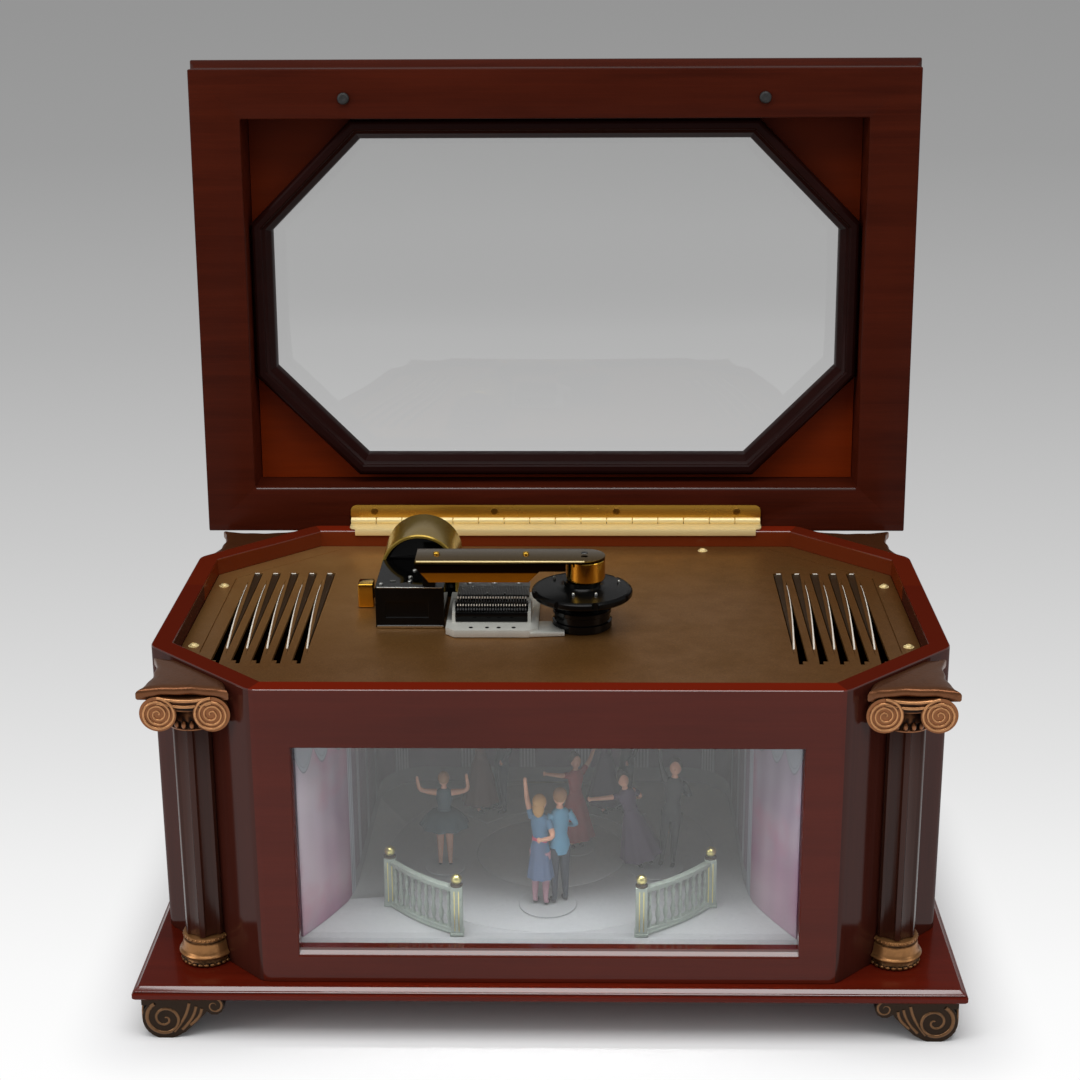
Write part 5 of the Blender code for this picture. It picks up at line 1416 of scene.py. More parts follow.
    def capital(self) -> tuple[Obj, Obj, Obj]:
        """Scrolled capital: its body with bolsters and a row of eggs, the worn ridges on it, and its slab."""
        x, y = self.spot
        parts, ridges = [], []
        neck = mm([
            (9.1, 133), (9.9, 133.3), (10.1, 133.9), (9.5, 134.5), (9.3, 136.2), (10.6, 137.8), (10, 140),
            (8.8, 142), (8.6, 152)
        ])
        parts.append(Bench.lathe(neck, (x, y, 0.0), Axis.Z, 48))
        for i in range(self.eggs):
            turn = tau * (i + 0.5) / self.eggs
            place = Matrix.Translation((*around(0.0104, turn, self.spot), 0.1362))
            parts.append(Bench.ball(place @ Matrix.Diagonal((0.9, 0.9, 1.45, 1.0)), self.egg_radius, 10, 8))
        front, back = y - self.volute_front, y + self.volute_front
        for side in (-1, 1):
            centre_x = x + side * self.volute_x
            profile = []
            for share in shares(40):
                waist = 1 - 0.20 * sin(pi * share) ** 0.8
                rib = 0.00035 * cos(share * tau * 9)
                profile.append((
                    (self.volute_radius - 0.0004) * waist + rib,
                    front + 0.0009 + (back - front - 0.0018) * share
                ))
            parts.append(Bench.lathe(profile, (centre_x, 0.0, self.volute_z), Axis.Y, 40))
            for face_y in (front + 0.0007, back - 0.0007):
                ridges.append(self.spiral(centre_x, side, face_y))
        for face_y in (front + 0.0010, back - 0.0010):
            ridges.append(self.sag(self.volute_z + self.volute_radius - 0.0008, 0.0011, face_y, 0.0007))
            ridges.append(self.sag(self.volute_z + self.volute_radius - 0.0028, 0.0016, face_y, 0.0007))
        plan = []
        half_y = self.volute_front - 0.0014
        for share in shares(12):
            plan.append((
                x + self.volute_x * (2 * share - 1), self.volute_z + 0.0028 - 0.0020 * sin(pi * share)
            ))
        for step in range(13):
            share = 1 - step / 12
            plan.append((
                x + self.volute_x * (2 * share - 1), self.volute_z + 0.0074 - 0.0012 * sin(pi * share)
            ))
        parts.append(Bench.prism(plan, y - half_y, y + half_y, Axis.Y))
        made = []
        for group, reach in ((parts, 0.005), (ridges, 0.003), ([self.abacus()], 0.005)):
            obj = Bench.join(group)
            flush_to_case(obj)
            Bench.smooth(obj, 45)
            made.append(hollows(obj, reach))
        return tuple(made)

    def build(self) -> None:
        """Builds one corner and mirrors it to the others."""
        capital, ridges, slab = self.capital()
        kinds = [
            (self.shaft(), "shaft", "carved", "dark_moulding", "column_wood"),
            (self.base(), "base", "turned", "bronze", "base_bronze")
        ]
        kinds += [
            (capital, "capital", "carved", "bronze", "antique_bronze"),
            (ridges, "capital", "ridges", "bronze", "worn_bronze")
        ]
        kinds += [(slab, "capital", "slab", "bronze", "slab_bronze")]
        for model, kind, look, slot, material in kinds:
            for ending, across_x, across_y in corner_places():
                obj = to_corner(Bench.copy_of(model), across_x, across_y)
                name = f"column_{kind}_{ending}"
                whole = look in ("carved", "turned")
                self.place(obj, f"{name}_{look}", "case", slot, material, *((name,) if whole else ()))
            bpy.data.objects.remove(model, do_unlink=True)


@dataclass
class SoundPlate(Assembly):
    """Gilt top plate with louvres, side strips and dome-head screws."""

    louvres: int = 5
    first_x: float = 0.1055
    pitch: float = 0.00855
    width: float = 0.0052
    front: float = -0.0585
    back: float = 0.0570
    screws: tuple[Pair, ...] = ((0.1525, -0.0383), (0.1525, 0.0383))

    def plate(self) -> None:
        """The plate with fine seams cut along the rear chamfers."""
        obj = refined("top_plate", 0.0)
        for side in (-1, 1):
            ends = ((0.1035, 0.0935), (0.1480, 0.0500))
            path = [Vector(end) for end in ends]
            across = Vector((path[1].y - path[0].y, path[0].x - path[1].x)).normalized() * 0.00016
            plan = [path[0] + across, path[1] + across, path[1] - across, path[0] - across]
            groove = Bench.prism(
                [(side * p.x, p.y + SHIFT_Y) for p in plan], PLATE_TOP - 0.0004, PLATE_TOP + 0.001
            )
            Bench.cut(obj, groove)
        Bench.smooth(obj, 30)
        self.place(obj, "sound_plate_gilt", "case", "sound_plate", "gilt_plate", "top_plate")

    def louvre_parts(self) -> None:
        """Flap bent down in each slot, pale bars along its cut edge and along the lip at the slot's back end
        as painted highlights, and the step at the slot's front end.
        """
        flaps, edges, steps = [], [], []
        long = self.back - self.front - 0.0006
        for side in (-1, 1):
            for i in range(self.louvres):
                middle = self.first_x + self.pitch * i
                inner, outer = middle - self.width / 2, middle + self.width / 2
                rim = []
                for step in range(13):
                    along = 0.85 * step / 12
                    swing = max(0.0, (along - 0.19) / 0.66) ** 1.5
                    x = outer - 0.0002 - (self.width - 0.0008) * swing
                    rim.append((side * x, self.back - 0.0006 - long * along + SHIFT_Y))
                outline = [*rim, (side * (inner + 0.0005), rim[0][1])]
                flaps.append(Bench.outward(Bench.prism(outline, PLATE_TOP - 0.0011, PLATE_TOP - 0.0004)))
                # Painted highlights: pale bars along each flap's cut edge and along the slot's back lip.
                taper = [0.3 + 0.8 * step / 10 for step in range(11)]
                edges.append(Bench.tube([(x, y, PLATE_TOP) for x, y in rim[2:]], 0.00038, 2, taper=taper))
                lip = [
                    (side * (inner + self.width * part), self.back - 0.0007 + SHIFT_Y)
                    for part in (0.3, 0.5, 0.7)
                ]
                edges.append(Bench.tube([(x, y, PLATE_TOP - 0.0001) for x, y in lip], 0.00028, 2))
                reach = sorted((side * (middle + 0.0004), side * (outer - 0.00005)))
                y = self.front + SHIFT_Y
                steps.append(
                    Bench.box(
                        tuple(reach), (y + 0.00005, y + 0.0035), (PLATE_TOP - 0.0008, PLATE_TOP - 0.00005)
                    )
                )
        # The flaps take the dark flap finish, as painted shade inside their slots.
        flap_piece = Bench.smooth(Bench.bevel(Bench.join(flaps), 0.0001, 1), 30)
        self.place(flap_piece, "louvre_flaps", "case", "sound_plate", "louvre_flap")
        self.place(Bench.merged(edges, 40), "louvre_edges", "case", "brass", "star_tip")
        self.place(Bench.join(steps), "louvre_steps", "case", "sound_plate", "gilt_plate")

    def screw(self, x: float, y: float) -> Obj:
        """Dome-head screw with a cross recess on a thin washer."""
        profile = [(0.0023, PLATE_TOP), (0.0023, PLATE_TOP + 0.0002), (0.0019, PLATE_TOP + 0.0003)]
        for step in range(8):
            turn = radians(90 * step / 7)
            profile.append((0.0016 * cos(turn) + 0.0001, PLATE_TOP + 0.0003 + 0.0010 * sin(turn)))
        head = Bench.lathe(profile, (x, y + SHIFT_Y, 0.0), Axis.Z, 28)
        for long_x, long_y in ((0.0008, 0.0002), (0.0002, 0.0008)):
            slot = Bench.box(
                (x - long_x, x + long_x), (y + SHIFT_Y - long_y, y + SHIFT_Y + long_y),
                (PLATE_TOP + 0.0009, PLATE_TOP + 0.0030)
            )
            Bench.cut(head, slot)
        return Bench.smooth(head, 40)

    def build(self) -> None:
        """Builds the plate and what is fixed to it."""
        self.plate()
        self.louvre_parts()
        heads = [
            self.screw(side * x, y) for side in (-1, 1) for x, y in self.screws
        ] + [self.screw(0.0717, 0.0905)]
        self.place(Bench.join(heads), "plate_screws", "case", "brass", "leaf_brass")


@dataclass
class Lid(Assembly):
    """Deep frame, corner boards, octagon moulding, pane and bumpers, leaning back on the hinge."""

    lean: float = 3.2
    hinge_y: float = 0.1072
    hinge_z: float = 0.1582
    face: float = 0.0005
    opening: tuple[float, float, float] = (0.1476, 0.0165, 0.1943)
    recess: float = 0.0222
    board_thick: float = 0.0025
    pane: tuple[float, float, float, float] = (0.1374, 0.0296, 0.1842, 0.0440)
    moulding_width: float = 0.0096
    bumper: Pair = (0.0986, 0.2038)

    def at(self, x: float, s: float, n: float) -> Point:
        """Place in the frame of a point given in the lid's own flat."""
        turn = Matrix.Rotation(radians(-self.lean), 3, "X")
        spot = turn @ Vector((x, self.face + n, s))
        return (spot.x, spot.y + self.hinge_y + SHIFT_Y, spot.z + self.hinge_z)

    def octagon(self, grow: float) -> list[Pair]:
        """Octagon of the pane, grown by the same distance on all sides."""
        half_x, low, high, chamfer = self.pane
        half_x, low, high = half_x + grow, low - grow, high + grow
        chamfer += grow * (2 - sqrt(2))
        right = [
            (half_x - chamfer, low), (half_x, low + chamfer), (half_x, high - chamfer),
            (half_x - chamfer, high)
        ]
        return right + [(-x, s) for x, s in right[::-1]]

    def ring(self, outline: Pairs, n: float) -> list[Point]:
        """An outline of the lid's flat set at a depth."""
        return [self.at(x, s, n) for x, s in outline]

    def band(self, rings: Pairs) -> Obj:
        """Closed moulding through octagons given by their growth and depth."""
        shape = loft([self.ring(self.octagon(grow), n) for grow, n in [*rings, rings[0]]], capped=False)
        return Bench.outward(shape)

    def frame(self) -> None:
        """The deep outer frame with eased edges."""
        obj = refined("lid_frame", 0.0011, 3, 25, 32)
        self.place(obj, "lid_frame_lacquered", "lid", "mahogany", "lid_wood", "lid_frame")

    def panel(self) -> None:
        """Orange-brown corner boards and the dark raised moulding round the pane."""
        half_x, low, high = self.opening
        edge = GAP
        outer = []
        for grow_x, s in ((1, low + edge), (1, high - edge), (-1, high - edge), (-1, low + edge)):
            outer.append((grow_x * (half_x - edge), s))
        board = loft([self.ring(outer, self.recess), self.ring(outer, self.recess + self.board_thick)])
        hole = loft([
            self.ring(self.octagon(self.moulding_width - 0.001), n)
            for n in (self.recess - 0.005, self.recess + 0.01)
        ])
        Bench.cut(board, hole)
        Bench.smooth(board, 30)
        self.place(board, "lid_corner_boards", "lid", "corner_board", "corner_board", "lid_panel")
        wide = self.moulding_width
        rows = [
            (wide, 0.0), (wide * 0.97, 0.0094), (wide * 0.93, 0.0106), (wide * 0.84, 0.0116),
            (wide * 0.74, 0.0120)
        ]
        rows += [(wide * 0.50, 0.0118), (wide * 0.44, 0.0113), (wide * 0.41, 0.0103), (wide * 0.36, 0.0099)]
        rows += [(wide * 0.26, 0.0093), (wide * 0.10, 0.0066), (wide * 0.04, 0.0056), (0.0, 0.0048)]
        rings = [(grow, self.recess - high_n) for grow, high_n in rows]
        rings += [(0.0, self.recess + self.board_thick), (wide, self.recess + self.board_thick)]
        moulding = Bench.smooth(self.band(rings), 26)
        self.place(moulding, "lid_octagon_moulding", "lid", "corner_board", "dark_moulding")

    def glass(self) -> None:
        """Octagonal pane."""
        obj = refined("lid_glass", 0.0003, 2)
        self.place(obj, "lid_pane", "lid", "glass", "clear_glass", "lid_glass")

    def bumpers(self) -> None:
        """Soft stops with a rounded face and a dimple."""
        for side, name in ((-1, "lid_bumper_left"), (1, "lid_bumper_right")):
            x, s = side * self.bumper[0], self.bumper[1]
            rows = mm([(2.8, -0.3), (2.8, -1.2), (2.6, -1.7), (2.1, -2), (1.2, -2.1), (0.6, -1.8)])
            rings = [self.ring(ring_of(radius, 24, (x, s)), n) for radius, n in rows]
            obj = Bench.smooth(loft(rings), 45)
            self.place(obj, name + "_moulded", "lid", "rubber", "bumper_rubber", name)

    def build(self) -> None:
        """Builds the lid."""
        self.frame()
        self.panel()
        self.glass()
        self.bumpers()


@dataclass
class Hinge(Assembly):
    """Long brass piano hinge with rolled knuckles and slotted screws."""

    lid: Lid
    half_x: float = 0.1008
    radius: float = 0.0019
    pairs: int = 8
    leaf: float = 0.0008
    upper_reach: float = 0.0080
    lower_reach: float = 0.0090
    screw_x: tuple[float, ...] = (-0.089, -0.030, 0.030, 0.089)

    def knuckles(self, first: int) -> list[Obj]:
        """Every second knuckle, with eased ends."""
        pitch = self.half_x / self.pairs
        rolls = []
        centre_y, centre_z = self.lid.hinge_y + SHIFT_Y, self.lid.hinge_z
        for i in range(first, self.pairs * 2, 2):
            low = -self.half_x + pitch * i + GAP / 2
            high = low + pitch - GAP
            profile = [
                (0.0012, low), (self.radius - 0.0002, low), (self.radius, low + 0.0002),
                (self.radius, high - 0.0002)
            ]
            profile += [(self.radius - 0.0002, high), (0.0012, high)]
            rolls.append(Bench.lathe(profile, (0.0, centre_y, centre_z), Axis.X, 28))
        return rolls

    def plan(self, near: float, far: float, corner: float) -> list[Pair]:
        """Leaf outline with rounded far corners."""
        half = self.half_x
        points = [(-half, near)]
        for centre_x, start in ((-half + corner, 180), (half - corner, 90)):
            for step in range(6):
                turn = radians(start - 18 * step)
                points.append(around(corner, turn, (centre_x, far - corner)))
        points.append((half, near))
        return points

    def upper(self) -> None:
        """Leaf on the lid."""
        outline = self.plan(self.radius * 0.6, self.upper_reach, 0.0030)
        near = [self.lid.at(x, s, -GAP) for x, s in outline]
        far = [self.lid.at(x, s, -GAP - self.leaf) for x, s in outline]
        plate = Bench.bevel(loft([near, far]), 0.00022, 2, 50)
        self.place(
            Bench.smooth(plate, 35), "hinge_leaf_upper", "lid", "brass", "hinge_brass", "hinge_leaf_lid"
        )
        rolls = Bench.merged(self.knuckles(1), 35)
        self.place(rolls, "hinge_knuckles_upper", "lid", "brass", "leaf_brass")

    def lower(self) -> None:
        """Leaf on the case's rear rim."""
        low = RIM_TOP + GAP
        outline = [
            (x, self.lid.hinge_y + SHIFT_Y - reach)
            for x, reach in self.plan(self.radius * 0.6, self.lower_reach, 0.0030)
        ]
        plate = Bench.bevel(Bench.prism(outline, low, low + self.leaf), 0.00022, 2, 50)
        lip_y = SHIFT_Y + CASE_HALF_Y - WALL - GAP
        lip = Bench.box(
            (-self.half_x + 0.003, self.half_x - 0.003), (lip_y - self.leaf, lip_y),
            (low - 0.0024, low + self.leaf - 0.0001)
        )
        bridge = Bench.box(
            (-self.half_x + 0.003, self.half_x - 0.003), (lip_y - self.leaf / 2, lip_y + 0.003),
            (low + 0.0001, low + self.leaf - 0.0001)
        )
        obj = Bench.join([plate, Bench.bevel(lip, 0.0003, 2, 50), bridge, *self.knuckles(0)])
        self.place(
            Bench.smooth(obj, 35), "hinge_leaf_lower", "case", "brass", "leaf_brass", "hinge_leaf_case"
        )
        pin = Bench.lathe(
            [
                (0.0008, -self.half_x), (0.0009, -self.half_x + 0.0002), (0.0009, self.half_x - 0.0002),
                (0.0008, self.half_x)
            ],
            (0.0, self.lid.hinge_y + SHIFT_Y, self.lid.hinge_z), Axis.X, 20
        )
        self.place(Bench.smooth(pin, 35), "hinge_pin_turned", "case", "brass", "pale_brass", "hinge_pin")

    def screws(self) -> None:
        """Slotted countersunk screws in the upper leaf."""
        heads = []
        for i, x in enumerate(self.screw_x):
            rows = mm([(1.7, -1), (1.8, -1.2), (1.6, -1.4), (1, -1.5)])
            head = loft([self.lid.ring(ring_of(radius, 24, (x, 0.0049)), n) for radius, n in rows])
            turn = radians(25 + 50 * i)
            way, side = Vector((cos(turn), sin(turn))), Vector((-sin(turn), cos(turn)))
            cut = [
                Vector((x, 0.0049)) + way * a * 0.0022 + side * b * 0.00022
                for a, b in ((-1, -1), (1, -1), (1, 1), (-1, 1))
            ]
            slot = loft([self.lid.ring([tuple(p) for p in cut], n) for n in (-0.0012, -0.0030)])
            heads.append(Bench.cut(head, slot))
        obj = Bench.merged(heads, 35)
        self.place(obj, "hinge_screws", "lid", "brass", "screw_brass")

    def build(self) -> None:
        """Builds both leaves, the pin and the screws."""
        self.upper()
        self.lower()
        self.screws()


@dataclass
class Movement(Assembly):
    """Disc movement on the plate: housing, dome, bed, star wheels, comb, arm, hub and lever."""

    base_z: float = 0.1485
    housing_x: Pair = (-0.0765, -0.0465)
    housing_y: Pair = (-0.0163, 0.0210)
    housing_high: float = 0.0185
    dome: Pair = (-0.0602, 0.0176)
    dome_high: float = 0.0301
    dome_back: float = 0.0540
    hub: Pair = (0.0136, -0.0130)
    trough_x: Pair = (-0.0430, -0.0087)
    trough_y: Pair = (-0.0185, -0.0035)
    star_radius: float = 0.0048
    stars: int = 26
    star_tips: int = 8
    teeth: int = 44
    comb_top: float = 0.0090
    arm_top: float = 0.0323
    cap_x: float = 0.0151
    rivets: tuple[float, ...] = (-0.0497, -0.0108)

    def y(self, value: float) -> float:
        """Place in the frame of a depth measured from the middle of the case."""
        return value + SHIFT_Y

    def z(self, value: float) -> float:
        """Place in the frame of a height above the plate."""
        return value + self.base_z

    def block(self, x: tuple, y: tuple, z: tuple) -> Obj:
        """A block given by depths and heights of the movement."""
        return Bench.box(x, (self.y(y[0]), self.y(y[1])), (self.z(z[0]), self.z(z[1])))

    def dot(self, x: float, y: float, z: float, radius: float, high: float, axis: Axis = Axis.Z) -> Obj:
        """Small round-headed stud."""
        profile = [(radius, 0.0), (radius, high * 0.5)]
        for step in range(1, 6):
            turn = radians(90 * step / 6)
            profile.append((radius * cos(turn), high * (0.5 + 0.5 * sin(turn))))
        return Bench.lathe(profile, (x, self.y(y), self.z(z)), axis, 16)

    def housing(self) -> None:
        """Black housing with a sunk panel and studs on its top, with a thin steel strip along its foot and a
        steel bar along its top front edge as painted highlights.
        """
        obj = refined("movement_housing", 0.0)
        front = self.housing_y[0]
        panel = self.block((-0.0722, -0.0535), (front - 0.001, front + 0.0007), (0.0045, 0.0118))
        Bench.cut(obj, panel)
        Bench.bevel(obj, 0.0007, 3, 40)
        Bench.smooth(obj, 35)
        self.place(obj, "housing_moulded", "case", "black_gloss", "gloss_black", "movement_housing")
        # Painted highlight: a thin bright steel strip along the housing's foot.
        strip = self.block(
            (self.housing_x[0] + 0.0005, self.housing_x[1] - 0.0004), (front - 0.0007, front + 0.0004),
            (0.0, 0.0012)
        )
        Bench.bevel(strip, 0.0003, 2, 40)
        studs = [
            self.dot(x, y, self.housing_high - 0.0001, 0.0010, 0.0009)
            for x, y in mm(((-61.8, -8.8), (-62.1, -3), (-60.9, 6.2), (-74.2, -12)))
        ]
        slot = self.block(
            (-0.0706, -0.0682), (-0.0088, -0.0080), (self.housing_high - 0.0001, self.housing_high + 0.0004)
        )
        # Painted highlight: a thin steel bar along the housing's top front edge.
        edge_y, edge_z = self.y(front) + 0.00012, self.z(self.housing_high) - 0.00012
        studs.append(Bench.tube([(-0.0757, edge_y, edge_z), (-0.0473, edge_y, edge_z)], 0.00026, 3))
        self.place(Bench.merged([strip, slot, *studs], 40), "housing_studs", "case", "steel", "steel")

    def dome_cover(self) -> None:
        """Rolled sheet dome with a bright front rim and a dark inside."""
        x, radius = self.dome
        centre = self.dome_high - radius
        front, back = self.housing_y[1] + GAP, self.dome_back

        def arch(r: float, low: float) -> list[Pair]:
            points = [(x + r, self.z(low))]
            points += [around(r, pi * i / 40, (x, self.z(centre))) for i in range(41)]
            return points + [(x - r, self.z(low))]

        rows = [
            (radius - 0.0005, front), (radius, front + 0.0006), (radius, back - 0.0010),
            (radius - 0.0003, back - 0.0003), (radius - 0.0010, back)
        ]
        shell = loft([face_on(arch(r, 0.0), Axis.Y, self.y(d)) for r, d in rows])
        well = loft([
            face_on(arch(r, -0.004), Axis.Y, self.y(d))
            for r, d in ((radius - 0.0014, front - 0.001), (radius - 0.0014, front + 0.012))
        ])
        Bench.cut(shell, well)
        Bench.smooth(shell, 30)
        self.place(shell, "dome_rolled", "case", "dome_brass", "dome_brass", "dome_cover")
        inner = loft([
            face_on(arch(r, 0.0002), Axis.Y, self.y(d))
            for r, d in (
                (radius - 0.0022, front + 0.0022), (radius - 0.0016, front + 0.0026),
                (radius - 0.0016, front + 0.0110)
            )
        ])
        boss = Bench.lathe(
            [(0.0060, 0.0), (0.0060, 0.0012), (0.0030, 0.0018)],
            (x, self.y(front + 0.0012), self.z(centre)), Axis.Y, 32
        )
        self.place(Bench.merged([inner, boss], 35), "dome_inside", "case", "black_gloss", "gloss_black")

    def lever(self) -> None:
        """Small sliding start lever."""
        obj = refined("start_lever", 0.0006, 3, 40)
        self.place(obj, "start_lever_polished", "start_lever", "brass", "polished_brass", "start_lever")

    def bed(self) -> None:
        """Cast bed with studs along its front, and the black bearing block of the star wheels."""
        obj = refined("bedplate", 0.0005, 2, 40)
        self.place(obj, "bedplate_cast", "case", "grey_cast", "grey_casting", "bedplate")
        low_x, high_x = self.trough_x
        near, far = self.trough_y
        lining = self.block(
            (low_x + 0.0014, high_x - 0.0014), (near - 0.0003, near + 0.0016), (0.0034, 0.0079)
        )
        Bench.bevel(lining, 0.0003, 2, 40)
        rear = self.block((low_x + 0.0014, high_x - 0.0014), (far - 0.0016, far + 0.0003), (0.0034, 0.0079))
        pits = [self.dot(x, -0.0250, 0.0031, 0.0009, 0.0004) for x in (-0.0345, -0.0275, -0.0225, -0.0160)]
        self.place(
            Bench.merged([lining, rear, *pits], 35), "bearing_block", "case", "black_gloss", "gloss_black"
        )

    def star_row(self) -> None:
        """Shaft with thin pointed wheels, with small pale marks on their upper front tips as painted glints.
        """
        centre_y = sum(self.trough_y) / 2
        centre_z = 0.0032 + GAP + self.star_radius
        low, high = self.trough_x[0] + 0.0018, self.trough_x[1] - 0.0018
        pitch = (high - low) / self.stars
        shaft = Bench.lathe(
            [(0.0014, low - 0.0014), (0.0014, high + 0.0014)], (0.0, self.y(centre_y), self.z(centre_z)),
            Axis.X, 20
        )
        wheel_plan = []
        corners = 4 * self.star_tips
        for i in range(corners):
            turn = tau * (i + 0.5) / corners
            radius = self.star_radius if i % 4 == 0 else (0.0040 if i % 4 in (1, 3) else 0.0026)
            wheel_plan.append(around(radius, turn, (self.y(centre_y), self.z(centre_z))))
        parts = [shaft]
        for i in range(self.stars):
            left = low + pitch * (i + 0.22)
            parts.append(Bench.prism(wheel_plan, left, left + pitch * 0.56, Axis.X))
        obj = Bench.merged(parts, 30)
        self.place(obj, "star_wheel_row", "star_wheels", "steel", "dark_star", "star_wheels")
        # Painted glints: small pale blocks on the upper front tips of every wheel.
        glints = []
        for degrees, half in ((112.5, 0.00028), (157.5, 0.00020)):
            turn = radians(degrees)
            y, z = around(self.star_radius, turn, (centre_y, centre_z))
            for i in range(self.stars):
                middle = low + pitch * (i + 0.5)
                glints.append(
                    self.block(
                        (middle - half, middle + half), (y - 0.0003, y + 0.0003), (z - 0.0004, z + 0.0004)
                    )
                )
        self.place(Bench.join(glints), "star_wheel_tips", "star_wheels", "steel", "star_tip")

    def comb(self) -> None:
        """Tuned comb with fine teeth, clamped on its foot with screws."""
        low, high = self.trough_x[0] + 0.0012, self.trough_x[1] - 0.0012
        pitch, top = (high - low) / self.teeth, self.comb_top
        tip, root = self.y(0.0012), self.y(0.0130)
        plan = [(high, self.y(0.0195)), (low, self.y(0.0195))]
        for i in range(self.teeth):
            left = low + pitch * i
            plan += [(left, tip), (left + pitch * 0.66, tip)]
            if i < self.teeth - 1:
                plan += [(left + pitch * 0.66, root), (left + pitch, root)]
        plan += [(high - pitch * 0.34, root), (high, root)]
        sheet = Bench.prism(plan, self.z(top - 0.0012), self.z(top))
        foot = self.block((low + GAP, high - GAP), (0.0133, 0.0192), (0.0035, top - 0.0006))
        self.place(Bench.merged([sheet, foot], 30), "comb_tuned", "case", "steel", "dark_steel", "comb")
        heads = [self.dot(x, 0.0160, top, 0.0014, 0.0010) for x in (-0.0370, -0.0260, -0.0150)]
        tall = [
            self.block((x - 0.0003, x + 0.0003), (-0.0030, -0.0022), (0.0050, 0.0112))
            for x in (-0.0283, -0.0206)
        ]
        self.place(Bench.merged([*heads, *tall], 35), "comb_screws", "case", "steel", "steel")

    def arm(self) -> None:
        """Folded brass arm with rivets, a pale bar along its top front edge as a painted highlight, and the
        turned cap that presses on the hub.
        """
        obj = refined("pressure_arm", 0.0004, 3, 40, 30)
        under, low = self.arm_top - 0.0013, 0.0215
        centre = (self.cap_x, self.y(self.hub[1]), self.base_z)
        Bench.cut(obj, Bench.lathe([(0.0088, low - 0.001), (0.0088, under)], centre, Axis.Z, 48))
        self.place(obj, "pressure_arm_folded", "pressure_arm", "brass", "arm_brass", "pressure_arm")
        rim = [(0.0080, low), (0.0085, low + 0.0006), (0.0085, under - 0.0005), (0.0082, under)]
        cap = Bench.lathe(rim, centre, Axis.Z, 64)
        self.place(Bench.smooth(cap, 30), "arm_cap_turned", "pressure_arm", "brass", "polished_brass")
        # Painted highlight: a thin pale brass bar along the arm's top front edge.
        front = self.y(self.hub[1] - 0.0088) + 0.0002
        ends = [
            (-0.0578, front, self.z(self.arm_top - 0.0002)),
            (self.cap_x - 0.0006, front, self.z(self.arm_top - 0.0002))
        ]
        line = Bench.tube(ends, 0.00042, 3)
        self.place(Bench.smooth(line, 40), "arm_bright_edge", "pressure_arm", "brass", "leaf_brass")
        heads = [
            self.dot(x, self.hub[1] + 0.0012, self.arm_top - 0.0001, 0.0014, 0.0014) for x in self.rivets
        ]
        self.place(Bench.merged(heads, 40), "arm_rivets", "pressure_arm", "brass", "polished_brass")
        screw = self.dot(self.cap_x - 0.0005, self.hub[1] + 0.0004, self.arm_top + 0.0007, 0.0015, 0.0006)
        Bench.cut(
            screw,
            self.block(
                (self.cap_x - 0.003, self.cap_x + 0.002), (self.hub[1] + 0.0002, self.hub[1] + 0.0006),
                (self.arm_top + 0.0010, self.arm_top + 0.003)
            )
        )
        self.place(Bench.smooth(screw, 40), "arm_screw", "pressure_arm", "steel", "dark_steel")

    def hub_parts(self) -> None:
        """Black turntable hub with a notched flange and drive pins, over its stepped base."""
        x, y = self.hub
        centre = (x, self.y(y), self.base_z)
        base = mm([
            (12.6, 0), (13, 0.4), (13, 3.4), (12.2, 3.8), (12.2, 6.6), (12.8, 7), (12.8, 8.6), (11.7, 9.8)
        ])
        obj = Bench.smooth(Bench.lathe(base, centre, Axis.Z, 48), 30)
        self.place(obj, "hub_base_turned", "case", "black_gloss", "gloss_black", "hub_base")
        profile = mm([
            (11.7, 10.1), (12.6, 11.2), (16, 12.6), (19.4, 13.4), (21.3, 14.1), (21.9, 14.8), (22, 15.6)
        ])
        profile += mm([
            (21.9, 16.6), (21.3, 17.2), (20.6, 17.5), (20.2, 17.3), (12, 18), (9.2, 18.2), (8.6, 18.6),
            (8, 19.2), (8, 21.2)
        ])
        flange = Bench.lathe(profile, centre, Axis.Z, 72)
        for i, degrees in enumerate((-28, 8, 44, 82, 150, 200, 240, 285)):
            turn = radians(degrees)
            wide = 0.0011 + 0.0005 * (i % 3)
            spot = (*around(0.0222, turn, (x, self.y(y))), 0.0)
            notch = Bench.lathe([(wide, self.z(0.012)), (wide, self.z(0.020))], spot, Axis.Z, 12)
            Bench.cut(flange, notch)
        Bench.smooth(flange, 30)
        self.place(flange, "disc_hub_turned", "disc_hub", "black_gloss", "satin_black", "disc_hub")
        pins = []
        for degrees, radius in ((-62, 0.0128), (-108, 0.0122), (18, 0.0168), (140, 0.0160)):
            turn = radians(degrees)
            pins.append(self.dot(*around(radius, turn, self.hub), 0.0176, 0.0007, 0.0016))
        self.place(Bench.merged(pins, 40), "hub_pins", "disc_hub", "steel", "steel")

    def motor(self) -> None:
        """Gear motor under the plate."""
        obj = refined("movement_motor", 0.0005, 2, 40)
        self.place(obj, "movement_motor_cast", "case", "grey_cast", "grey_casting", "movement_motor")

    def build(self) -> None:
        """Builds the movement."""
        self.housing()
        self.dome_cover()
        self.lever()
        self.bed()
        self.star_row()
        self.comb()
        self.arm()
        self.hub_parts()
        self.motor()


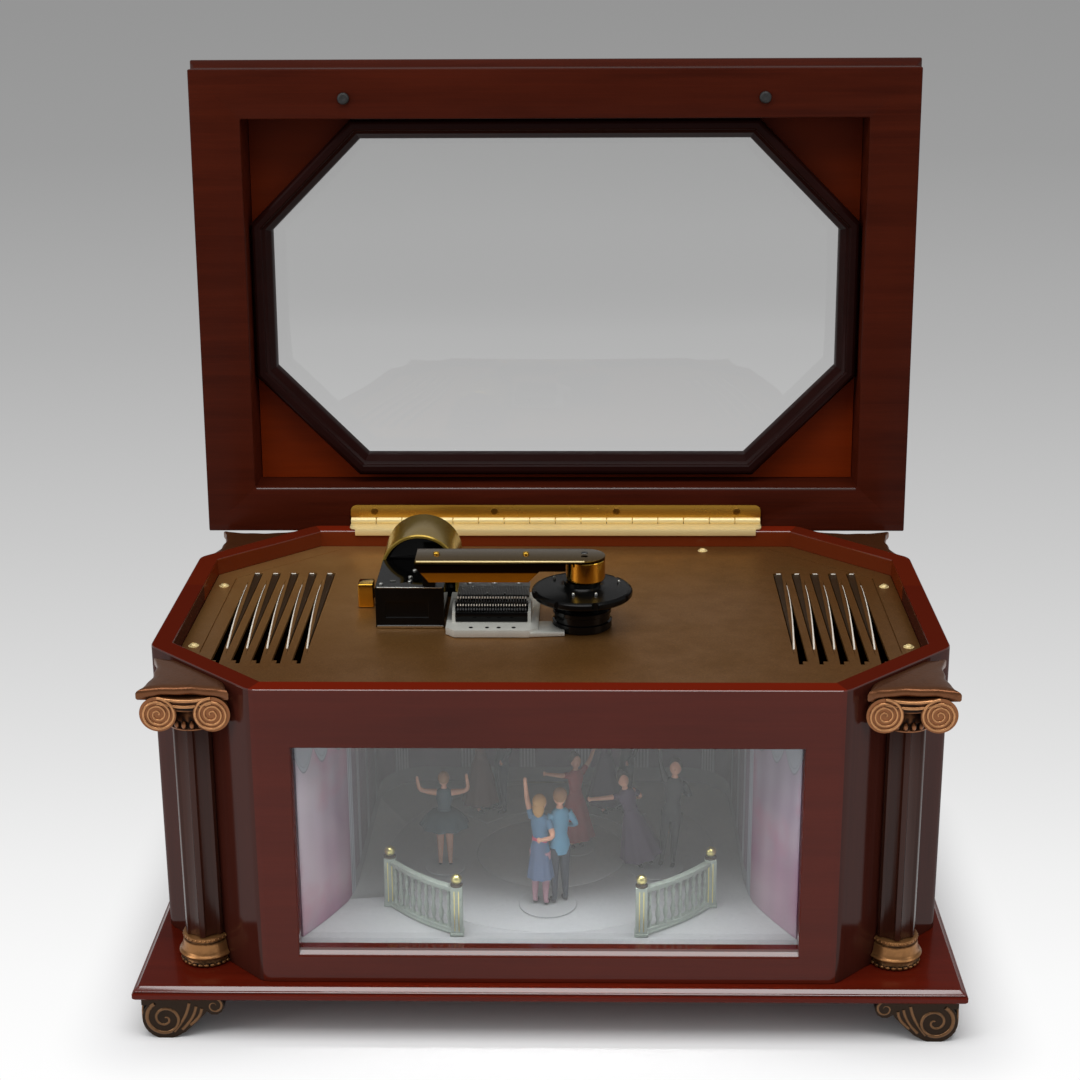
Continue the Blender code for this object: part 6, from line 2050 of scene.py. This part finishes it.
@dataclass
class Feet(Assembly):
    """Cast scroll feet with raised spirals on both outer faces."""

    toe: Pair = (0.1693, 0.1085)
    volute_radius: float = 0.0095
    volute_z: float = 0.0090
    curl_radius: float = 0.0042
    reach: float = 0.0345
    top: float = 0.0194

    def spiral(
        self, centre: Point, radius: float, along: Vector, turns: float, start: float, bar: float
    ) -> Obj:
        """Raised spiral ridge in an upright face, winding in from its rim."""
        path, taper = [], []
        count = int(36 * turns)
        for i in range(count + 1):
            share = i / count
            angle = radians(start) - tau * turns * share
            size = radius * (1 - share) ** 0.9 + 0.0004
            point = Vector(centre) + along * (size * cos(angle)) + Vector((0.0, 0.0, size * sin(angle)))
            path.append(tuple(point))
            taper.append(1.0 - 0.45 * share)
        return Bench.tube(path, bar, 3, taper=taper)

    def flutes(self, toe: float, face: float, across: bool) -> list[Obj]:
        """Slanting ridges of the leaf between the two scrolls."""
        ridges = []
        for (a, low), (b, high) in (
            ((0.0130, 0.0030), (0.0200, 0.0165)), ((0.0165, 0.0040), (0.0228, 0.0150)),
            ((0.0200, 0.0062), (0.0250, 0.0140))
        ):
            path = []
            for share in shares(8):
                out = toe - (a + (b - a) * share + 0.0012 * sin(pi * share))
                z = low + (high - low) * share
                path.append((face, -out, z) if across else (out, face, z))
            ridges.append(Bench.tube(path, 0.0008, 3))
        return ridges

    def build(self) -> None:
        """Builds the four feet."""
        for ending, across_x, across_y in corner_places():
            name = "foot_" + ending
            body = refined(name, 0.0011, 3, 40, 45)
            parts = []
            for across, toe, face in ((False, self.toe[0], -self.toe[1]), (True, self.toe[1], self.toe[0])):
                along = Vector((0.0, -1.0, 0.0)) if across else Vector((1.0, 0.0, 0.0))
                centre = (
                    face, -(toe - self.volute_radius), self.volute_z
                ) if across else (toe - self.volute_radius, face, self.volute_z)
                curl_along = toe - self.reach + self.curl_radius
                curl_z = self.top - self.curl_radius
                curl = (face, -curl_along, curl_z) if across else (curl_along, face, curl_z)
                for ridge in (
                    self.spiral(centre, self.volute_radius - 0.0018, along, 1.9, 60, 0.0010),
                    self.spiral(curl, self.curl_radius - 0.0008, -along, 1.4, 120, 0.0007),
                    *self.flutes(toe, face, across),
                ):
                    inset = Vector((-0.0004, 0.0, 0.0)) if across else Vector((0.0, 0.0004, 0.0))
                    Bench.moved(ridge, Matrix.Translation(inset))
                    parts.append(to_corner(ridge, across_x, across_y))
            hollows(Bench.smooth(body, 45), 0.006)
            # Both foot finishes are darkened as painted shade under the board.
            self.place(body, name + "_cast", "case", "bronze", "foot_bronze", name)
            ridges = hollows(Bench.merged(parts, 45), 0.003)
            self.place(ridges, name + "_ridges", "case", "bronze", "foot_edge_bronze")


class Dress(Enum):
    """What a figure wears below the waist."""

    TROUSERS = "trousers"
    KNEE_SKIRT = "knee skirt"
    GOWN = "gown"
    TUTU = "tutu"


class Hair(Enum):
    """How a figure's hair is worn."""

    SHORT = "short"
    LONG = "long"
    BUN = "bun"


@dataclass(frozen=True)
class Figure:
    """One dancer: where it stands, how it holds its arms, and its colours."""

    at: Pair
    facing: float
    tall: float
    dress: Dress
    hair: Hair
    arms: tuple[tuple[Point, Point], tuple[Point, Point]]
    paints: tuple[str, str, str]
    lean: float = 0.0
    legs: Optional[str] = None


@dataclass
class Stage(Assembly):
    """Moving ballroom behind the window: floor, turntables, printed backdrop, balustrades and dancers."""

    centre_y: float = -0.0125
    floor_z: float = 0.0383
    figure_ring: float = 0.0500
    backdrop_top: float = 0.1380
    sheet: float = 0.0016
    rail_radius: float = 0.0850
    rail_span: Pair = (36.0, 63.0)
    rail_high: float = 0.0225
    path_corner: float = 0.022
    side_x: float = 0.0845
    back_y: float = 0.0635

    def floor(self) -> None:
        """Floor block, the two turntables, the gears under them and the drive."""
        rows = [
            ("stage_floor", "case", "stage_floor", "stage_floor", 0.0),
            ("stage_ring", "stage_ring", "stage_floor", "stage_floor", 0.0005)
        ]
        rows += [("stage_disc", "stage_disc", "stage_floor", "stage_floor", 0.0005)]
        rows += [
            ("stage_idler", "stage_idler", "gear_plastic", "gear_plastic", 0.0002),
            ("stage_pinion", "stage_pinion", "gear_plastic", "gear_plastic", 0.0002)
        ]
        rows += [
            ("stage_motor", "case", "grey_cast", "grey_casting", 0.0005),
            ("power_jack", "case", "black_gloss", "gloss_black", 0.0003)
        ]
        for node, body, slot, material, width in rows:
            obj = refined(node, width, 2, 35, 30)
            self.place(obj, node + "_finished", body, slot, material, node)

    def path(self) -> list[Vector]:
        """Plan of the backdrop from its right front end to its left one."""
        foot = mm([
            (103.7, -91.4), (101.2, -86.6), (98.4, -81.5), (95.5, -76), (91.8, -68), (88.4, -60),
            (86.6, -50), (85.7, -40)
        ])
        side = [Vector(point) for point in foot]
        low_y, high_y = -0.0400, self.back_y - self.path_corner
        for share in shares(8)[1:]:
            side.append(Vector((0.0857 + (self.side_x - 0.0857) * share, low_y + (high_y - low_y) * share)))
        bend = Vector((self.side_x - self.path_corner, high_y))
        for step in range(1, 9):
            turn = radians(90 * step / 8)
            side.append(bend + self.path_corner * Vector((cos(turn), sin(turn))))
        for step in range(1, 7):
            side.append(Vector((bend.x * (1 - step / 6), self.back_y)))
        return side + [Vector((-p.x, p.y)) for p in side[-2::-1]]

    def backdrop(self) -> None:
        """Bent sheet whose inner face carries a map of length along it and height, for its print."""
        path = self.path()
        lengths = [0.0]
        for a, b in zip(path, path[1:]):
            lengths.append(lengths[-1] + (b - a).length)
        middle = lengths[-1] / 2
        rows = 12
        shape = bmesh.new()
        uv = shape.loops.layers.uv.new("print")
        grid, places = [], {}
        for side in (1, -1):
            layer = []
            for i, here in enumerate(path):
                along = (path[min(i + 1, len(path) - 1)] - path[max(i - 1, 0)]).normalized()
                across = Vector((-along.y, along.x)) * self.sheet / 2 * side
                column = []
                for k in range(rows + 1):
                    z = self.floor_z + (self.backdrop_top - self.floor_z) * k / rows
                    vertex = shape.verts.new((here.x + across.x, here.y + across.y + SHIFT_Y, z))
                    places[vertex] = (lengths[i] - middle, z)
                    column.append(vertex)
                layer.append(column)
            grid.append(layer)
        inner, outer = grid
        last = len(path) - 1
        for i in range(last):
            for k in range(rows):
                shape.faces.new((inner[i][k], inner[i + 1][k], inner[i + 1][k + 1], inner[i][k + 1]))
                shape.faces.new((outer[i][k], outer[i][k + 1], outer[i + 1][k + 1], outer[i + 1][k]))
            for k in (0, rows):
                shape.faces.new((inner[i][k], outer[i][k], outer[i + 1][k], inner[i + 1][k]))
        for i in (0, last):
            for k in range(rows):
                shape.faces.new((inner[i][k], inner[i][k + 1], outer[i][k + 1], outer[i][k]))
        bmesh.ops.recalc_face_normals(shape, faces=shape.faces)
        for face in shape.faces:
            for loop in face.loops:
                loop[uv].uv = places[loop.vert]
        obj = Bench.smooth(from_bmesh("backdrop", shape), 40)
        self.place(obj, "backdrop_printed", "case", "drape_print", "backdrop_print", "backdrop")

    def rail_point(self, side: int, share: float) -> Pair:
        """Plan place along a balustrade."""
        turn = radians(self.rail_span[0] + (self.rail_span[1] - self.rail_span[0]) * share)
        return (side * self.rail_radius * cos(turn), self.centre_y + SHIFT_Y - self.rail_radius * sin(turn))

    def balustrade(self, side: int, name: str) -> None:
        """Curved rails on turned balusters between square posts with gilt lines and gilt balls."""
        low, high = self.floor_z, self.floor_z + self.rail_high
        parts = []
        for z_low, z_high, wide in (
            (low, low + 0.0012, 0.0032), (low + 0.0010, low + 0.0026, 0.0024),
            (high - 0.0032, high - 0.0024, 0.0022), (high - 0.0026, high - 0.0008, 0.0030)
        ):
            ring = []
            points = [Vector(self.rail_point(side, i / 16)) for i in range(17)]
            centre = Vector((0.0, self.centre_y + SHIFT_Y))
            for offset, order in ((wide / 2, points), (-wide / 2, points[::-1])):
                ring += [tuple(point + (point - centre).normalized() * offset) for point in order]
            parts.append(Bench.bevel(Bench.prism(ring, z_low, z_high), 0.0002, 1, 60))
        tall = high - low - 0.0054
        profile = [
            (0.0009, 0.0), (0.0009, 0.06), (0.0005, 0.10), (0.0010, 0.24), (0.0011, 0.34), (0.0006, 0.50),
            (0.0005, 0.56), (0.0009, 0.60), (0.0006, 0.66), (0.0010, 0.80), (0.0005, 0.90), (0.0009, 0.94),
            (0.0009, 1.0)
        ]
        for i in range(9):
            x, y = self.rail_point(side, (i + 1) / 10)
            parts.append(
                Bench.lathe([(r, low + 0.0024 + tall * h) for r, h in profile], (x, y, 0.0), Axis.Z, 12)
            )
        for share in (0.0, 1.0):
            x, y = self.rail_point(side, share)
            half = 0.0025
            post = Bench.bevel(
                Bench.box((x - half, x + half), (y - half, y + half), (low, high)), 0.00025, 2, 40
            )
            parts += [
                post,
                Bench.bevel(
                    Bench.box(
                        (x - half - 0.0004, x + half + 0.0004), (y - half - 0.0004, y + half + 0.0004),
                        (low, low + 0.0014)
                    ),
                    0.0002, 1, 40
                )
            ]
        obj = Bench.merged(parts, 35)
        self.place(obj, name + "_turned", "case", "resin", "resin", name)
        gilt, dark = [], []
        for share in (0.0, 1.0):
            x, y = self.rail_point(side, share)
            dark.append(
                Bench.lathe(
                    [
                        (0.0022, high - 0.0002), (0.0026, high), (0.0026, high + 0.0006),
                        (0.0012, high + 0.0012)
                    ],
                    (x, y, 0.0), Axis.Z, 20
                )
            )
            profile = [
                (0.0023 * sin(pi * k / 12), high + 0.0029 - 0.0023 * cos(pi * k / 12)) for k in range(1, 12)
            ]
            gilt.append(Bench.lathe(profile, (x, y, 0.0), Axis.Z, 24))
            for line_x in (-0.0009, 0.0009):
                gilt.append(
                    Bench.box(
                        (x + line_x - 0.00022, x + line_x + 0.00022), (y - 0.0026, y - 0.0024),
                        (low + 0.0024, high - 0.0016)
                    )
                )
        self.place(Bench.merged(gilt, 40), name + "_gilding", "case", "brass", "soft_gold")
        self.place(Bench.merged(dark, 40), name + "_ball_seats", "case", "resin", "louvre_flap")

    def ellipses(
        self, rows: Sequence[tuple[float, float, float, float, float]], sides: int = 18,
        waves: tuple[int, float] = (0, 0.0)
    ) -> Obj:
        """Body through level ellipses: height, two radii and a shift each way."""
        rings = []
        for k, (z, wide, deep, shift_x, shift_y) in enumerate(rows):
            ring = []
            for i in range(sides):
                turn = tau * i / sides
                wave = 1 + waves[1] * cos(waves[0] * turn) * k / max(1, len(rows) - 1)
                ring.append((shift_x + wide * wave * cos(turn), shift_y + deep * wave * sin(turn), z))
            rings.append(ring)
        return loft(rings)

    def painted(self, obj: Obj, paint: str) -> Obj:
        """Gives a part of a figure its paint."""
        obj.data.materials.clear()
        obj.data.materials.append(self.finishes["paint_" + paint])
        return obj

    def limb(self, points: Sequence[Point], radii: Sequence[float], paint: str) -> Obj:
        """Rounded limb through a few points, softened between them."""
        path, sizes = [], []
        for k in range(len(points) - 1):
            a, b = Vector(points[k]), Vector(points[k + 1])
            for share in shares(4)[:-1]:
                path.append(tuple(a.lerp(b, share)))
                sizes.append(radii[k] + (radii[k + 1] - radii[k]) * share)
        path.append(points[-1])
        sizes.append(radii[-1])
        smoothed = [Vector(p) for p in path]
        for _ in range(2):
            inner = [
                (smoothed[i - 1] + smoothed[i] * 2 + smoothed[i + 1]) / 4
                for i in range(1, len(smoothed) - 1)
            ]
            smoothed = [smoothed[0], *inner, smoothed[-1]]
        obj = Bench.tube([tuple(p) for p in smoothed], 1.0, 3, taper=sizes)
        return self.painted(obj, paint)

    def ovoid(self, centre: Point, radii: Point, paint: str) -> Obj:
        """Small egg-shaped part."""
        matrix = Matrix.Translation(centre) @ Matrix.Diagonal((*radii, 1.0))
        return self.painted(Bench.ball(matrix, 1.0, 20, 12), paint)

    def figure(self, who: Figure) -> Obj:
        """Models one dancer at a height of one, then sets it on the stage."""
        top, bottom, hair = who.paints
        parts = []
        hem = {Dress.KNEE_SKIRT: 0.26, Dress.GOWN: 0.12, Dress.TUTU: 0.44, Dress.TROUSERS: 0.0}[who.dress]
        leg_paint = bottom if who.dress is Dress.TROUSERS else (who.legs or "skin")
        for side in (-1, 1):
            points = [
                (side * 0.042, 0.0, 0.50), (side * 0.046, -0.012, 0.27), (side * 0.048, 0.004, 0.055),
                (side * 0.05, -0.012, 0.022)
            ]
            parts.append(self.limb(points, (0.052, 0.036, 0.021, 0.020), leg_paint))
            parts.append(self.ovoid((side * 0.051, -0.028, 0.018), (0.020, 0.046, 0.018), "shoe"))
        torso = [
            (0.44, 0.070, 0.055, 0, 0), (0.49, 0.088, 0.062, 0, 0), (0.54, 0.080, 0.058, 0, 0),
            (0.60, 0.060, 0.046, 0, 0), (0.66, 0.068, 0.050, 0, 0)
        ]
        torso += [
            (0.73, 0.082, 0.058, 0, -0.004), (0.78, 0.084, 0.050, 0, 0), (0.815, 0.066, 0.040, 0, 0.002),
            (0.835, 0.036, 0.032, 0, 0.002)
        ]
        parts.append(self.painted(self.ellipses(torso, 22), top))
        neck = [
            (0.80, 0.052, 0.036, 0, 0.002), (0.83, 0.032, 0.029, 0, 0.002), (0.86, 0.024, 0.025, 0, 0.0),
            (0.89, 0.024, 0.025, 0, -0.002)
        ]
        parts.append(self.painted(self.ellipses(neck, 16), "skin"))
        if who.dress is not Dress.TROUSERS:
            radius = {Dress.KNEE_SKIRT: 0.112, Dress.GOWN: 0.20, Dress.TUTU: 0.235}[who.dress]
            rows = []
            for share in shares(6):
                bulge = share ** (0.6 if who.dress is Dress.TUTU else 0.85)
                drop = share if who.dress is not Dress.TUTU else share**1.6
                wide = 0.063 + (radius - 0.063) * bulge
                rows.append((0.60 + (hem - 0.60) * drop, wide, wide * 0.9, 0, 0))
            parts.append(self.painted(self.ellipses(rows, 36, (9, 0.07)), bottom))
            parts.append(
                self.painted(
                    self.ellipses(
                        [
                            (0.585, 0.068, 0.054, 0, 0), (0.60, 0.070, 0.055, 0, 0),
                            (0.625, 0.068, 0.053, 0, 0)
                        ],
                        22
                    ),
                    "sash" if top == "blue" else top
                )
            )
        parts.append(self.ovoid((0, -0.004, 0.932), (0.052, 0.060, 0.070), "skin"))
        parts.append(self.ovoid((0, -0.064, 0.926), (0.008, 0.010, 0.014), "skin"))
        parts.append(self.ovoid((0, 0.010, 0.948), (0.058, 0.060, 0.064), hair))
        if who.hair is Hair.LONG:
            parts.append(self.ovoid((0, 0.034, 0.895), (0.052, 0.036, 0.085), hair))
        if who.hair is Hair.BUN:
            parts.append(self.ovoid((0, 0.040, 0.998), (0.030, 0.030, 0.026), hair))
        for side, (elbow, hand) in zip((-1, 1), who.arms):
            sleeve = "skin" if who.dress is Dress.TUTU else top
            shoulder = (side * 0.070, 0.0, 0.785)
            parts.append(
                self.limb([shoulder, tuple((Vector(shoulder) + Vector(elbow)) / 2)], (0.034, 0.029), sleeve)
            )
            parts.append(
                self.limb(
                    [shoulder, elbow, hand], (0.028, 0.022, 0.015),
                    "skin" if who.dress is not Dress.TROUSERS else top
                )
            )
            parts.append(self.ovoid(hand, (0.016, 0.016, 0.026), "skin"))
        obj = Bench.join(parts)
        Bench.smooth(obj, 60)
        lift = who.tall * 0.08 * abs(sin(radians(who.lean))) + 0.0009
        turn = Matrix.Rotation(radians(who.facing), 4, "Z") @ Matrix.Rotation(radians(who.lean), 4, "Y")
        spot = Matrix.Translation((who.at[0], who.at[1] + SHIFT_Y, self.floor_z + lift))
        return Bench.moved(obj, spot @ turn @ Matrix.Diagonal((who.tall, who.tall, who.tall, 1.0)))

    def group(self, name: str, body: str, figures: Sequence[Figure], stand: Pairs) -> None:
        """Sets dancers on their thin clear stand as one piece."""
        plate = Bench.prism([(x, y + SHIFT_Y) for x, y in stand], self.floor_z, self.floor_z + 0.0006)
        Bench.bevel(plate, 0.0002, 2, 50)
        self.painted(plate, "stand")
        obj = Bench.join([self.figure(who) for who in figures] + [plate])
        self.place(obj, name + "_painted", body, "painted_figure", "", name)

    def on_ring(self, degrees: float) -> Pair:
        """Plan position on the circle where the couples stand."""
        return around(self.figure_ring, radians(degrees), (0.0, self.centre_y))

    def dancers(self) -> None:
        """All the dancers."""
        raised = ((-0.13, -0.01, 0.93), (-0.15, -0.02, 1.10))
        holding_r = ((0.15, 0.05, 0.66), (0.06, 0.14, 0.64))
        holding_l = ((-0.15, 0.05, 0.66), (-0.05, 0.14, 0.66))
        bent_l = ((-0.24, -0.01, 0.80), (-0.22, -0.02, 0.95))
        bent_r = ((0.24, -0.01, 0.80), (0.26, -0.02, 0.92))
        wide_l = ((-0.20, -0.01, 0.82), (-0.36, -0.02, 0.88))
        down_r = ((0.16, 0.02, 0.68), (0.14, -0.08, 0.56))
        x, y = self.on_ring(-90)
        woman = Figure(
            (x - 0.0042, y - 0.0012), 158, 0.0515, Dress.KNEE_SKIRT, Hair.LONG,
            ((holding_l[0], holding_l[1]), ((0.12, -0.01, 0.93), (0.14, -0.02, 1.10))),
            ("blue", "slate_blue", "blond"), legs="stocking"
        )
        man = Figure(
            (x + 0.0042, y + 0.001), 205, 0.0535, Dress.TROUSERS, Hair.SHORT,
            (((-0.15, 0.02, 0.66), (-0.08, -0.12, 0.62)), ((0.16, 0.02, 0.66), (0.10, -0.12, 0.64))),
            ("sky", "navy", "sandy")
        )
        self.group("couple_front", "stage_ring", (woman, man), ring_of(0.0125, 32, (x - 0.001, y)))
        x, y = self.on_ring(-18)
        woman = Figure(
            (x - 0.006, y), 20, 0.0475, Dress.GOWN, Hair.BUN, (wide_l, holding_r),
            ("plum", "plum", "dark_hair"), -14
        )
        man = Figure(
            (x + 0.004, y + 0.001), -10, 0.0515, Dress.TROUSERS, Hair.SHORT, (raised, holding_r),
            ("black_coat", "black_coat", "dark_hair"), 4
        )
        self.group("couple_right", "stage_ring", (woman, man), ring_of(0.0125, 32, (x - 0.001, y)))
        x, y = self.on_ring(198)
        solo = Figure(
            (x, y), 180, 0.0455, Dress.TUTU, Hair.BUN, (bent_l, bent_r), ("teal", "teal", "sandy")
        )
        self.group("dancer_left", "stage_ring", (solo,), ring_of(0.0090, 32, (x, y)))
        rear = []
        for degrees, gown, coat in ((54, "plum", "black_coat"), (126, "rust", "navy")):
            x, y = self.on_ring(degrees)
            rear.append(
                Figure(
                    (x - 0.005, y), 60, 0.0475, Dress.GOWN, Hair.BUN, (wide_l, holding_r),
                    (gown, gown, "sandy")
                )
            )
            rear.append(
                Figure(
                    (x + 0.005, y), -60, 0.0505, Dress.TROUSERS, Hair.SHORT, (holding_l, down_r),
                    (coat, coat, "dark_hair")
                )
            )
        arc = []
        for radius, order in (
            (self.figure_ring + 0.0085, range(42, 139, 6)), (self.figure_ring - 0.0085, range(138, 41, -6))
        ):
            arc += [around(radius, radians(a), (0.0, self.centre_y)) for a in order]
        self.group("couples_rear", "stage_ring", rear, arc)
        spot = (0.0105, self.centre_y + 0.0040)
        spinner = Figure(
            spot, 30, 0.0455, Dress.GOWN, Hair.BUN, (wide_l, ((0.20, 0.05, 0.88), (0.28, 0.09, 1.02))),
            ("red", "red", "dark_hair")
        )
        self.group("dancer_centre", "stage_disc", (spinner,), ring_of(0.0090, 32, spot))

    def build(self) -> None:
        """Builds the moving scene."""
        self.floor()
        self.backdrop()
        self.balustrade(-1, "balustrade_left")
        self.balustrade(1, "balustrade_right")
        self.dancers()


def main() -> None:
    """Builds the studio and the dressed object."""
    logging.basicConfig(level=logging.INFO, format="%(name)s %(message)s")
    Studio().build()
    finishes = all_finishes()
    lid = Lid(finishes)
    for assembly in (
        Case(finishes), Columns(finishes), SoundPlate(finishes), lid, Hinge(finishes, lid),
        Movement(finishes), Feet(finishes), Stage(finishes)
    ):
        assembly.build()
    bpy.context.view_layer.update()


if __name__ == "__main__":
    main()
